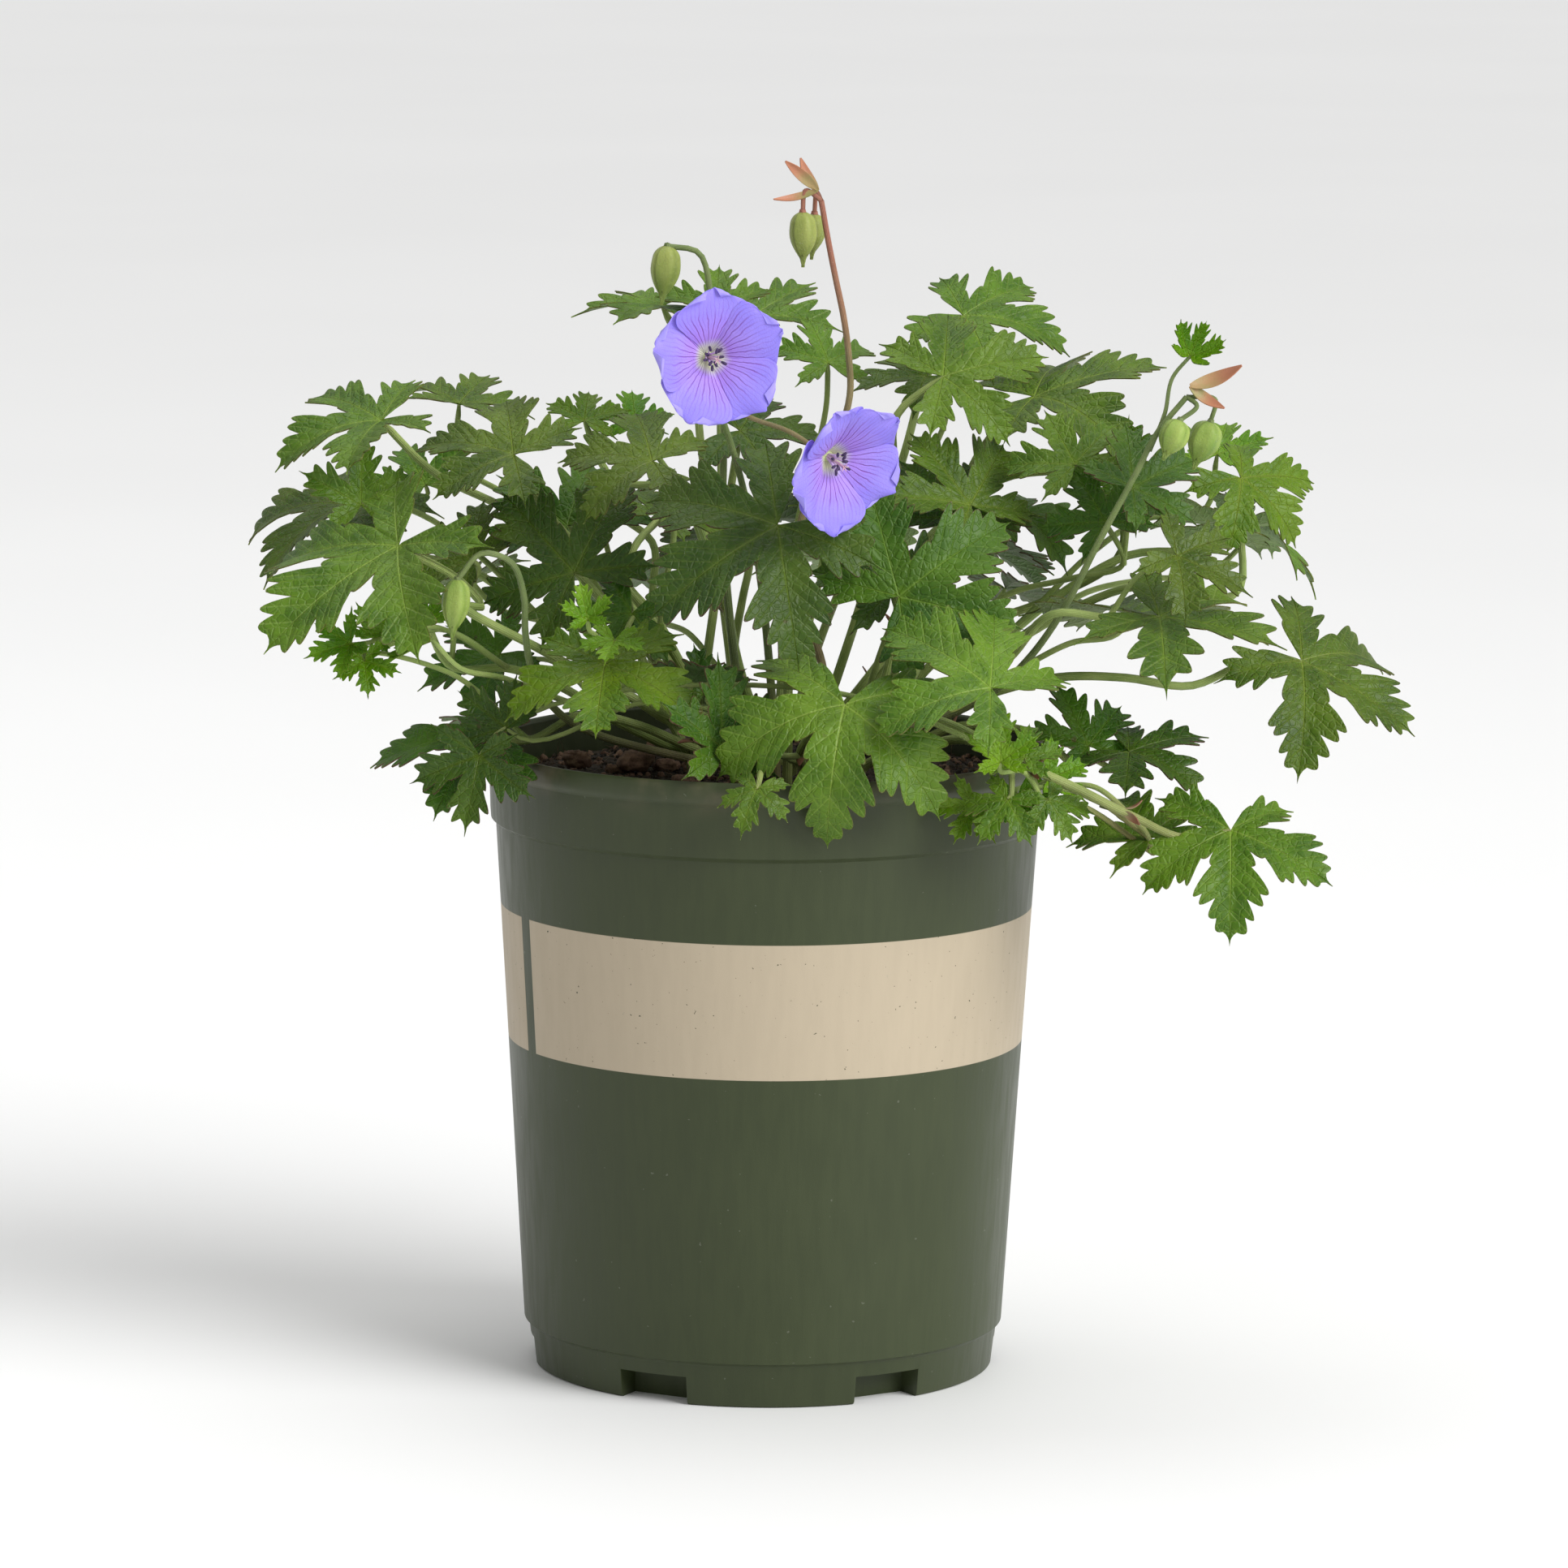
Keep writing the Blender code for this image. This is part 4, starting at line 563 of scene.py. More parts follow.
def add_tube(skin: Skin, path: list, radii: list, sides: int, slot: int, tone: float = 0.5) -> None:
    """Add a closed round tube that follows a path.

    Args:
        skin: The mesh to add it to.
        path: The tube's middle line.
        radii: Its radius at each point of the path.
        sides: How many faces go round it.
        slot: Its material slot.
        tone: Its shade, from 0 to 1.
    """
    points = []
    places = []
    run = 0.0
    across = None
    last = len(path) - 1
    for index, (point, radius) in enumerate(zip(path, radii)):
        ahead = (path[min(index + 1, last)] - path[max(index - 1, 0)]).normalized()
        across = ahead.orthogonal() if across is None else across - ahead * across.dot(ahead)
        across.normalize()
        other = ahead.cross(across)
        run += (point - path[index - 1]).length if index else 0.0
        for side in range(sides):
            turn = math.tau * side / sides
            points.append(tuple(point + (across * math.cos(turn) + other * math.sin(turn)) * radius))
            places.append((run / 10.0, side / sides))
    faces = []
    for ring in range(last):
        for side in range(sides):
            a = ring * sides + side
            b = ring * sides + (side + 1) % sides
            faces.append((a, b, b + sides, a + sides))
    faces.append(tuple(range(sides - 1, -1, -1)))
    faces.append(tuple(range(last * sides, (last + 1) * sides)))
    tints = np.tile((0.0, 0.0, 0.0, tone), (len(points), 1))
    skin.add(np.array(points), faces, slot, np.array(places), tints)


def turned(profile: list, segments: int, swell: float = 0.0, ribs: int = 0) -> tuple:
    """A closed shape turned about Z.

    Args:
        profile: (radius, height) points that run up from the axis and back to it.
        segments: How many faces go round it.
        swell: The ribs' height as a part of the radius.
        ribs: How many ribs run up it.

    Returns:
        Its points, its faces and each point's pattern place.
    """
    turns = np.linspace(0.0, math.tau, segments, endpoint=False)
    wave = 1.0 + swell * np.cos(ribs * turns)
    points = [(0.0, 0.0, profile[0][1])]
    places = [(0.0, 0.0)]
    inner = profile[1:-1]
    for number, (radius, height) in enumerate(inner):
        for turn, grow in zip(turns, wave):
            points.append((radius * grow * math.cos(turn), radius * grow * math.sin(turn), height))
            places.append(((number + 1.0) / len(inner), turn / math.tau))
    points.append((0.0, 0.0, profile[-1][1]))
    places.append((1.0, 0.0))
    top = len(points) - 1
    faces = []
    base = 1 + (len(inner) - 1) * segments
    for segment in range(segments):
        after = (segment + 1) % segments
        faces.append((0, 1 + after, 1 + segment))
        faces.append((top, base + segment, base + after))
        for ring in range(len(inner) - 1):
            low = 1 + ring * segments
            faces.append((low + segment, low + after, low + segments + after, low + segments + segment))
    return np.array(points), faces, np.array(places)


def moved(points: np.ndarray, matrix: Matrix) -> np.ndarray:
    """Points under a matrix."""
    return points @ np.array(matrix.to_3x3()).T + np.array(matrix.translation)


def grid_faces(rows: int, columns: int) -> list:
    """The quads of a sheet of rows by columns of points, turned to look up."""
    faces = []
    for row in range(rows - 1):
        for column in range(columns - 1):
            a = row * columns + column
            faces.append((a, a + columns, a + columns + 1, a + 1))
    return faces


@dataclass(frozen=True)
class LobeMargin:
    """How a leaf's lobes are cut: side veins leave the midrib at one angle and end at the margin.

    A knot is a place on the midrib with the length of the side vein that starts there, both as parts of the
    lobe's length.  A tooth's tip is a knot marked True and a notch is one marked False.
    """

    vein_angle: float = math.radians(40.0)
    bearings: tuple = (-122.0, -60.0, 0.0, 60.0, 122.0)
    lengths: tuple = (0.72, 0.95, 1.0, 0.95, 0.72)
    sinus: float = 0.30
    sinus_rows: int = 4
    tooth_rows: int = 4
    columns: tuple = (0.0, 0.30, 0.60, 0.86, 0.965, 1.0)
    roundness: float = 1.9
    waver: float = 0.012
    teeth: dict = field(default_factory=lambda: {
        3: ((0.17, 0.275, True), (0.225, 0.240, False), (0.31, 0.470, True), (0.375, 0.365, False),
            (0.43, 0.395, True), (0.515, 0.190, False), (0.60, 0.295, True), (0.675, 0.175, False),
            (0.75, 0.200, True), (0.83, 0.085, False)),
        2: ((0.19, 0.290, True), (0.24, 0.260, False), (0.34, 0.435, True), (0.46, 0.200, False),
            (0.59, 0.285, True), (0.70, 0.125, False)),
        1: ((0.30, 0.330, True), (0.40, 0.210, False), (0.54, 0.250, True), (0.66, 0.120, False)),
    })

    def rows(self, base: tuple, detail: int, draw: random.Random) -> list:
        """The side veins of one half of a lobe past its sinus.

        Args:
            base: The sinus's own place and vein length.
            detail: How finely the lobe is toothed, from 1 to 3.
            draw: Where the small differences from lobe to lobe come from.

        Returns:
            (place, vein length, vein mark, notch mark) rows up to the lobe's tip.
        """
        knots = [(*base, False)]
        for place, vein, tip in self.teeth[detail]:
            shift = draw.uniform(-self.waver, self.waver)
            knots.append((place + shift, vein * draw.uniform(0.94, 1.05), tip))
        knots.append((1.0, 0.0, True))
        rows = []
        for (place, vein, tip), (next_place, next_vein, next_tip) in zip(knots, knots[1:]):
            for step in range(1, self.tooth_rows + 1):
                t = step / self.tooth_rows
                eased = 1.0 - (1.0 - t) ** self.roundness if next_tip else t ** self.roundness
                mark = t if next_tip else 1.0 - t
                rows.append((place + (next_place - place) * t, vein + (next_vein - vein) * eased,
                             max(0.0, mark), 0.0 if next_tip or step < self.tooth_rows else 1.0))
        return rows


MARGIN = LobeMargin()


class LeafForm:
    """A leaf's own flat outline, drawn once, which can then be bent and placed."""

    RIB_PLACE = 0.42
    FOLD = 0.38
    WAVE = 0.07
    BASE = (0.09, 0.23)
    COARSE_TEETH = {3: (BASE, (0.30, 0.46), (0.43, 0.30)), 2: (BASE, (0.34, 0.42)), 1: (BASE,)}
    CREASE = 0.03
    QUILT = 0.010

    def __init__(self, leaf: Leaf) -> None:
        """Draw the leaf's own bearings and lengths.

        Args:
            leaf: The leaf to draw.
        """
        draw = random.Random(leaf.name)
        self.leaf = leaf
        self.bearings = [math.radians(angle + draw.uniform(-5.0, 5.0)) for angle in MARGIN.bearings]
        self.lengths = [length * draw.uniform(0.90, 1.06) for length in MARGIN.lengths]
        self.phase = draw.uniform(0.0, math.tau)
        self.swing = draw.uniform(0.0, math.tau)
        self.tone = draw.uniform(0.0, 1.0)

    def axes(self) -> tuple:
        """The leaf's middle lobe, its left and its normal, as unit vectors."""
        normal = unit(self.leaf.normal)
        if self.leaf.heading:
            along = Vector(self.leaf.heading)
        else:
            bearing = math.radians(self.leaf.aim)
            lean = -(math.cos(bearing) * normal.x + math.sin(bearing) * normal.z) / normal.y
            along = Vector((math.cos(bearing), max(-2.5, min(2.5, lean)), math.sin(bearing)))
        along = (along - normal * along.dot(normal)).normalized()
        return along, normal.cross(along), normal

    def detail_of(self, lobe: int) -> int:
        """How finely a lobe is toothed: the outer ones are plainer."""
        return max(1, self.leaf.detail - 1) if lobe in (0, len(self.bearings) - 1) else self.leaf.detail

    def seam(self, lobe: int) -> tuple:
        """The bearing and the length of the line that a lobe shares with the next one."""
        half = 0.5 * (self.bearings[lobe] + self.bearings[lobe + 1])
        return half, MARGIN.sinus * min(self.lengths[lobe], self.lengths[lobe + 1])

    def coarse(self) -> tuple:
        """The solid's own points.

        Returns:
            The flat points, the distance of each from its midrib, and the three that carry the foot.
        """
        points = [(0.0, 0.0)]
        folds = [0.0]
        foot = (0, 1, 3)
        last = len(self.bearings) - 1
        for lobe, (bearing, length) in enumerate(zip(self.bearings, self.lengths)):
            along = np.array((math.cos(bearing), math.sin(bearing)))
            left = np.array((-along[1], along[0]))
            first = len(points)
            points += [tuple(along * length * self.RIB_PLACE), tuple(along * length)]
            folds += [0.0, 0.0]
            for side in (-1, 1):
                for number, (place, vein) in enumerate(self.COARSE_TEETH[self.detail_of(lobe)]):
                    if number == 0 and side == -1 and lobe > 0:
                        if lobe == last // 2:
                            foot = (0, first, shared)
                        continue
                    folds.append(vein * length * math.sin(MARGIN.vein_angle))
                    if number == 0 and side == 1 and lobe < last:
                        half, depth = self.seam(lobe)
                        shared = len(points)
                        points.append((depth * math.cos(half), depth * math.sin(half)))
                        continue
                    out = along * math.cos(MARGIN.vein_angle) + left * side * math.sin(MARGIN.vein_angle)
                    points.append(tuple((along * place + out * vein) * length))
        return np.array(points), np.array(folds), foot

    def bend(self, flat: np.ndarray, folds: np.ndarray, centre: Vector, axes: tuple, scale: float,
             crease: float = 0.0, relief: np.ndarray = None) -> np.ndarray:
        """Bend flat points into the world: droop as an arc, a fold at each midrib and a slow wave.

        Args:
            flat: The flat points.
            folds: The distance of each from its midrib.
            centre: Where the lobes meet.
            axes: The leaf's middle lobe, left and normal.
            scale: The leaf's size against its own.
            crease: How far from a midrib its fold is rounded.
            relief: How far each point stands out, as a part of the leaf's size.

        Returns:
            The bent points in millimetres.
        """
        size = self.leaf.size * scale
        reach = np.hypot(flat[:, 0], flat[:, 1])
        bearing = np.arctan2(flat[:, 1], flat[:, 0])
        droop = math.radians(self.leaf.droop) * (1.0 + 0.30 * np.sin(2.0 * bearing + self.phase))
        droop = np.where(np.abs(droop) < 0.05, 0.05, droop)
        cup = math.radians(self.leaf.cup)
        slope = cup - droop * reach
        radial = size / droop * (math.sin(cup) - np.sin(slope))
        lift = size / droop * (np.cos(slope) - math.cos(cup))
        eased = np.sqrt(folds ** 2 + crease ** 2) - crease
        lift += self.FOLD * eased * size * np.minimum(reach * 2.0, 1.0)
        lift += self.WAVE * size * reach ** 2 * np.sin(3.0 * bearing + self.swing)
        if relief is not None:
            lift += relief * size
        local = np.stack((radial * np.cos(bearing), radial * np.sin(bearing), lift), axis=1)
        return local @ np.array([tuple(axis) for axis in axes]) + np.array(tuple(centre))

    @functools.cached_property
    def fine(self) -> tuple:
        """The leaf's full outline with its teeth.

        Returns:
            The flat points, their distances from the midribs, their relief, their pattern places, their
            tints (vein, inside, notch, tone) and the faces.
        """
        draw = random.Random(self.leaf.name + "_teeth")
        known = {}
        faces = []
        flat, folds, relief, places, tints = [], [], [], [], []

        def spot(key: tuple, xy: np.ndarray, fold: float, place: tuple, tint: tuple) -> int:
            if key not in known:
                known[key] = len(flat)
                flat.append(tuple(xy))
                folds.append(fold)
                relief.append((1.0 - tint[0]) * tint[1] * (1.0 - tint[1]) * 4.0 * self.QUILT)
                places.append(place)
                tints.append((*tint, self.tone))
            return known[key]

        last = len(self.bearings) - 1
        shares = MARGIN.columns
        centre = spot(("centre",), np.zeros(2), 0.0, (0.0, 0.0), (0.0, 1.0, 0.0))
        for lobe, (bearing, length) in enumerate(zip(self.bearings, self.lengths)):
            along = np.array((math.cos(bearing), math.sin(bearing)))
            left = np.array((-along[1], along[0]))
            halves = {side: self.half_rows(lobe, side, draw) for side in (-1, 1)}
            ribs = [0.5 * (low[0] + high[0]) for low, high in zip(halves[-1], halves[1])]
            for side, rows in halves.items():
                inner = 0 <= lobe + side <= last
                out = along * math.cos(MARGIN.vein_angle) + left * side * math.sin(MARGIN.vein_angle)
                before = [centre] * len(shares)
                for step, ((place, vein, mark, notch), rib) in enumerate(zip(rows, ribs), 1):
                    line = []
                    for column, share in enumerate(shares):
                        joined = inner and step <= MARGIN.sinus_rows
                        name = (lobe, side, step, column)
                        if step == len(rows):
                            name = (lobe, "tip")
                        elif column == 0:
                            name = (lobe, "rib", step)
                        elif joined and share == 1.0:
                            name = (min(lobe, lobe + side), "seam", step)
                        start = rib + (place - rib) * share
                        inside = 1.0 if joined and step < MARGIN.sinus_rows else 1.0 - share
                        line.append(spot(
                            name,
                            (along * start + out * vein * share) * length,
                            vein * share * length * math.sin(MARGIN.vein_angle),
                            (start, vein * share),
                            (mark, inside, notch * share),
                        ))
                    for column in range(len(shares) - 1):
                        quad = (before[column], line[column], line[column + 1], before[column + 1])
                        face = tuple(dict.fromkeys(quad))
                        if len(face) > 2:
                            faces.append(face if side == 1 else tuple(reversed(face)))
                    before = line
        return (np.array(flat), np.array(folds), np.array(relief), np.array(places), np.array(tints), faces)

    def sheet(self, spot: "Spot") -> np.ndarray:
        """The points of its fine outline, bent, where it stands."""
        flat, folds, relief = self.fine[:3]
        return self.bend(flat, folds, spot.centre, spot.axes, spot.scale, self.CREASE, relief)

    def half_rows(self, lobe: int, side: int, draw: random.Random) -> list:
        """The side veins of one half of a lobe, from the centre to its tip.

        Args:
            lobe: The lobe's number.
            side: -1 for its right half and 1 for its left.
            draw: Where the small differences come from.

        Returns:
            (place, vein length, vein mark, notch mark) rows.
        """
        base = self.BASE
        if 0 <= lobe + side < len(self.bearings):
            half, depth = self.seam(min(lobe, lobe + side))
            half = abs(half - self.bearings[lobe])
            reach = depth / self.lengths[lobe]
            base = (reach * (math.cos(half) - math.sin(half) / math.tan(MARGIN.vein_angle)),
                    reach * math.sin(half) / math.sin(MARGIN.vein_angle))
        rows = []
        for step in range(1, MARGIN.sinus_rows + 1):
            share = step / MARGIN.sinus_rows
            rows.append((base[0] * share, base[1] * share, 0.0, 1.0 if share == 1.0 else 0.0))
        return rows + MARGIN.rows(base, self.detail_of(lobe), draw)


def leaf_shifts() -> list:
    """Ways in which a leaf may have been moved clear of its neighbours, the smallest first.

    Returns:
        (cost, depth, roll, pitch, scale) for each way.
    """
    ways = []
    for depth in (0, 4, -4, 8, -8, 12, -12, 17, -17, 22, -22, 28, -28):
        for roll, pitch in itertools.product((0, 12, -12, 24, -24), repeat=2):
            for scale in (1.0, 0.92, 0.84):
                cost = abs(depth) / 4 + (abs(roll) + abs(pitch)) / 10 + (1.0 - scale) * 14
                ways.append((cost, depth, roll, pitch, scale))
    return sorted(ways)


def bend_offsets(most: float) -> list:
    """Ways in which a petiole may go round an obstacle.

    Args:
        most: The longest way to give, in millimetres.

    Returns:
        The offsets of its arch, the smallest first.
    """
    steps = (0, 6, -6, 12, -12, 20, -20)
    ways = [Vector(way) for way in itertools.product(steps, repeat=3)]
    ways = [way for way in ways if way.length <= most]
    return sorted(ways, key=lambda way: (way.length, way.x, way.y, way.z))


@dataclass
class Spot:
    """Where a leaf stands: the point its lobes meet at, its axes, its scale and its petiole's end."""

    centre: Vector
    axes: tuple
    scale: float
    foot: Vector


@dataclass
class Crown:
    """Where the stems stand in the mix, and how each leads to its leaves.

    The solids' leaves were moved a little to keep clear of each other.  The same ways are tried here in the
    same order, and the one whose points lie on the frame's own node is the one that was taken.
    """

    soil: float = 179.0
    root_depth: float = 9.0
    rim: float = 188.8
    rings: tuple = (9.0, 16.0, 23.0, 30.0)
    centre: tuple = (4.0, 2.0)
    fork_part: float = 0.36
    stem_radius: float = 1.6
    petiole_radius: float = 1.1
    blade: float = 0.66
    foot_weights: tuple = (0.76, 0.12)
    entries: tuple = (
        (0.55, 0.83, 0.0),
        (0.90, 0.40, 0.0),
        (0.15, 0.98, 0.0),
        (0.40, 0.75, 0.50),
        (0.40, 0.75, -0.50),
        (-0.40, 0.90, 0.0),
    )
    arches: tuple = (0.5, 0.75, 0.3)
    least_bend: float = 15.0
    most_bend: float = 36.0
    near: float = 0.06
    back_count: int = 4
    back_bearings: tuple = (28.0, 152.0)
    back_ranks: tuple = ((66.0, 246.0), (104.0, 226.0))
    back_size: float = 35.0
    back_tilt: float = 0.42
    back_step: float = 3.0
    back_lift: float = 5.0
    rise: float = 3.0
    clearance: float = 6.0

    def back_stems(self) -> tuple:
        """The leafy stems behind, in two ranks by rule."""
        stems = []
        low, high = self.back_bearings
        for index in range(self.back_count):
            leaves = []
            for rank, (reach, height) in enumerate(self.back_ranks):
                step = (index + 0.5 * rank) / (self.back_count - 0.5)
                bearing = math.radians(low + (high - low) * step)
                out = (math.cos(bearing), math.sin(bearing))
                spot = Vector((reach * out[0], reach * out[1], height + self.back_lift * (index % 2)))
                normal = (self.back_tilt * out[0], self.back_tilt * out[1], 0.9)
                size = self.back_size - self.back_step * rank
                leaves.append(Leaf(f"back_leaf_{index}_{rank}", VIEW.drawn(spot), size, 0.0, normal, 30, 12,
                                   3 - rank, heading=(*out, -0.3)))
            tone = Tone.MATURE if index % 2 else Tone.OLD
            stems.append(Stem(f"leafy_stem_back_{index + 1}", tone, tuple(leaves)))
        return tuple(stems)

    def roots(self, stems: tuple) -> dict:
        """Where each stem stands: ranked round the crown by bearing and dealt over its rings.

        Args:
            stems: All the leafy stems.

        Returns:
            The foot of each leafy stem and flower stalk by name.
        """
        aims = {stem.name: sum((VIEW.world(leaf.place) for leaf in stem.leaves), Vector()) / len(stem.leaves)
                for stem in stems}
        aims.update({name: VIEW.world(points[-1]) for name, points in FLOWER_STALKS.items()})
        middle = Vector((*self.centre, 0.0))
        bearings = {name: math.atan2(aim.y - middle.y, aim.x - middle.x) for name, aim in aims.items()}
        roots = {}
        for rank, name in enumerate(sorted(aims, key=lambda item: (bearings[item], item))):
            turn = math.tau * rank / len(aims) - math.pi
            reach = self.rings[rank % len(self.rings)]
            roots[name] = middle + Vector((reach * math.cos(turn), reach * math.sin(turn), 0.0))
        return roots

    def foot(self, root: Vector) -> list:
        """The upright start of a stem: its foot in the mix and its first point above it."""
        heights = (self.soil - self.root_depth, self.soil + self.rise)
        return [Vector((root.x, root.y, height)) for height in heights]

    def fork(self, root: Vector, ends: list) -> Vector:
        """Where a stem parts into its petioles, on its way to its leaves and clear over the rim."""
        mean = sum(ends, Vector()) / len(ends)
        fork = Vector((root.x, root.y, self.soil + self.rise)).lerp(mean, self.fork_part)
        fork.z = max(fork.z, self.rim + self.clearance)
        return fork

    def node_points(self, node: str) -> KDTree:
        """The points of a CAD node, in millimetres, ready to be searched."""
        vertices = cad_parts[node].data.vertices
        tree = KDTree(len(vertices))
        for index, vertex in enumerate(vertices):
            tree.insert(vertex.co / MM, index)
        tree.balance()
        return tree

    def place(self, form: LeafForm, known: KDTree) -> Spot:
        """Find how a leaf stands in its node.

        Args:
            form: The leaf's form.
            known: The node's points.

        Returns:
            Where it stands.
        """
        flat, folds, corners = form.coarse()
        best = (-1.0, None)
        for _, depth, roll, pitch, scale in leaf_shifts():
            across, up, deep = form.leaf.place
            centre = VIEW.world((across, up, deep + depth))
            along, left, normal = form.axes()
            lean = Matrix.Rotation(math.radians(pitch), 3, left)
            turn = Matrix.Rotation(math.radians(roll), 3, along) @ lean
            axes = tuple(turn @ axis for axis in (along, left, normal))
            sheet = form.bend(flat, folds, centre, axes, scale)
            found = sum(known.find(point)[2] < self.near for point in sheet) / len(sheet)
            if found > best[0]:
                mid, rib, sinus = (Vector(sheet[corner]) for corner in corners)
                down = (sinus - mid).cross(rib - mid).normalized() * self.blade * 0.5
                foot = mid * self.foot_weights[0] + (rib + sinus) * self.foot_weights[1] - down
                best = (found, Spot(centre, axes, scale, foot))
            if found > 0.8:
                break
        if best[0] < 0.5:
            LOG.warning("%s isn't where its node has it (%.2f)", form.leaf.name, best[0])
        return best[1]

    def ways(self, starts: list, leaf: Leaf, spot: Spot) -> object:
        """Each way that a petiole may take from its start to its leaf, in the order they are tried."""
        via = [VIEW.world(place) for place in leaf.via]
        for most in (self.least_bend, self.most_bend):
            for start in starts:
                for offset in bend_offsets(most):
                    for entry in self.entries:
                        for arch in self.arches[:1] if via else self.arches:
                            yield self.petiole_path(start, via, spot, offset, entry, arch)

    def petiole_path(self, start: list, via: list, spot: Spot, offset: Vector, entry: tuple,
                     arch: float) -> list:
        """A petiole's path: on from its start, over its via points, and into the leaf along its entry.

        Args:
            start: The points it starts with.
            via: Points that it is led over.
            spot: Its leaf's place.
            offset: How far it is bent aside.
            entry: The way into the leaf along the leaf's middle lobe, normal and left.
            arch: Where its arch stands, as a part of its span.

        Returns:
            The path's points.
        """
        along, left, normal = spot.axes
        last = via[-1] if via else start[-1]
        run = min(max((spot.foot - last).length * 0.25, 3.0), 16.0)
        approach = spot.foot - (along * entry[0] + normal * entry[1] + left * entry[2]) * run
        rooted = len(start) > 1
        points = start[1:] if rooted else list(start)
        if via:
            points += [point + offset for point in via]
        else:
            span = approach - start[-1]
            rise = Vector((0.0, 0.0, 0.12 * math.hypot(span.x, span.y)))
            points.append(start[-1] + span * arch + rise + offset)
        points += [approach, spot.foot]
        path = smooth_path(points, len(points) + 2)
        return start[:1] + path if rooted else path

    def lead(self, starts: list, leaf: Leaf, spot: Spot, known: KDTree, radii: tuple, sides: int) -> list:
        """Find the way that a petiole takes in its node.

        Args:
            starts: The starts that it may have.
            leaf: Its leaf.
            spot: Where the leaf stands.
            known: The node's points.
            radii: The petiole's radius at its start and its end.
            sides: How many faces go round it in the solid.

        Returns:
            The petiole's path.
        """
        best = (-1.0, None)
        for path in self.ways(starts, leaf, spot):
            inner = range(2 if len(starts[0]) > 1 else 1, len(path) - 1)
            found = 0
            for index in inner:
                radius = radii[0] + (radii[1] - radii[0]) * index / (len(path) - 2)
                ring = [hit[2] for hit in known.find_n(path[index], sides)]
                found += all(abs(distance - radius) < self.near for distance in ring)
            share = found / len(inner)
            if share > best[0]:
                best = (share, path)
            if share > 0.7:
                break
        if best[0] < 0.3:
            LOG.warning("the petiole of %s isn't where its node has it (%.2f)", leaf.name, best[0])
        return best[1]


class Graph:
    """A node tree with short ways to add and join nodes."""

    def __init__(self, tree: bpy.types.NodeTree) -> None:
        """Work on a tree."""
        self.tree = tree

    def feed(self, socket: bpy.types.NodeSocket, value: object) -> None:
        """Join a socket to another one, or set its own value."""
        if isinstance(value, bpy.types.NodeSocket):
            self.tree.links.new(value, socket)
        elif socket.type == "RGBA":
            socket.default_value = (*value, 1.0)
        else:
            socket.default_value = value

    def node(self, kind: str, feeds: dict = None, **settings: object) -> bpy.types.Node:
        """Add a node.

        Args:
            kind: Its type.
            feeds: What its inputs read or hold, by name or number.
            settings: Its own settings.

        Returns:
            The node.
        """
        made = self.tree.nodes.new(kind)
        for key, value in settings.items():
            setattr(made, key, value)
        for key, value in (feeds or {}).items():
            self.feed(made.inputs[key], value)
        return made

    def calc(self, operation: str, *values: object, clamp: bool = False) -> bpy.types.NodeSocket:
        """A Math node's result."""
        feeds = dict(enumerate(values))
        return self.node("ShaderNodeMath", feeds, operation=operation, use_clamp=clamp).outputs[0]

    def times(self, *values: object) -> bpy.types.NodeSocket:
        """The product of all values."""
        return functools.reduce(lambda first, second: self.calc("MULTIPLY", first, second), values)

    def most(self, *values: object) -> bpy.types.NodeSocket:
        """The greatest of all values."""
        return functools.reduce(lambda first, second: self.calc("MAXIMUM", first, second), values)

    def plus(self, value: object, factor: float, base: object) -> bpy.types.NodeSocket:
        """A value times a factor, on top of another one."""
        return self.calc("MULTIPLY_ADD", value, factor, base)

    def span(self, value: object, low: float, high: float, first: float = 0.0,
             last: float = 1.0) -> bpy.types.NodeSocket:
        """A value eased from the range low to high into the range first to last."""
        feeds = dict(enumerate((value, low, high, first, last)))
        return self.node("ShaderNodeMapRange", feeds, interpolation_type="SMOOTHSTEP").outputs[0]

    def blend(self, share: object, first: object, second: object) -> bpy.types.NodeSocket:
        """One colour mixed into another."""
        return self.node("ShaderNodeMix", {0: share, 6: first, 7: second}, data_type="RGBA").outputs[2]

    def noise(self, scale: object, detail: float = 2.0, place: object = None) -> bpy.types.NodeSocket:
        """A cloudy value on the object's own coordinates, or on a given place."""
        feeds = {"Vector": place or self.place(), "Scale": scale, "Detail": detail}
        return self.node("ShaderNodeTexNoise", feeds).outputs[0]

    def place(self) -> bpy.types.NodeSocket:
        """The object's own coordinates."""
        return self.node("ShaderNodeTexCoord").outputs["Object"]

    def parts(self, vector: object = None) -> list:
        """The three numbers of a vector, or of the object's own coordinates."""
        return self.node("ShaderNodeSeparateXYZ", {0: vector or self.place()}).outputs[:3]

    def pattern(self) -> list:
        """The two numbers of the surface pattern."""
        return self.parts(self.node("ShaderNodeUVMap", uv_map="pattern").outputs[0])[:2]

    def tint(self) -> tuple:
        """The four numbers of the surface tint."""
        layer = self.node("ShaderNodeAttribute", attribute_name="tint")
        parts = self.node("ShaderNodeSeparateColor", {0: layer.outputs["Color"]})
        return (*parts.outputs[:3], layer.outputs["Alpha"])

    def effect(self, tree: bpy.types.NodeTree, **values: object) -> bpy.types.bpy_prop_collection:
        """Place an effect with its own values, and give its results."""
        feeds = {name.title(): value for name, value in values.items()}
        return self.node("ShaderNodeGroup", feeds, node_tree=tree).outputs


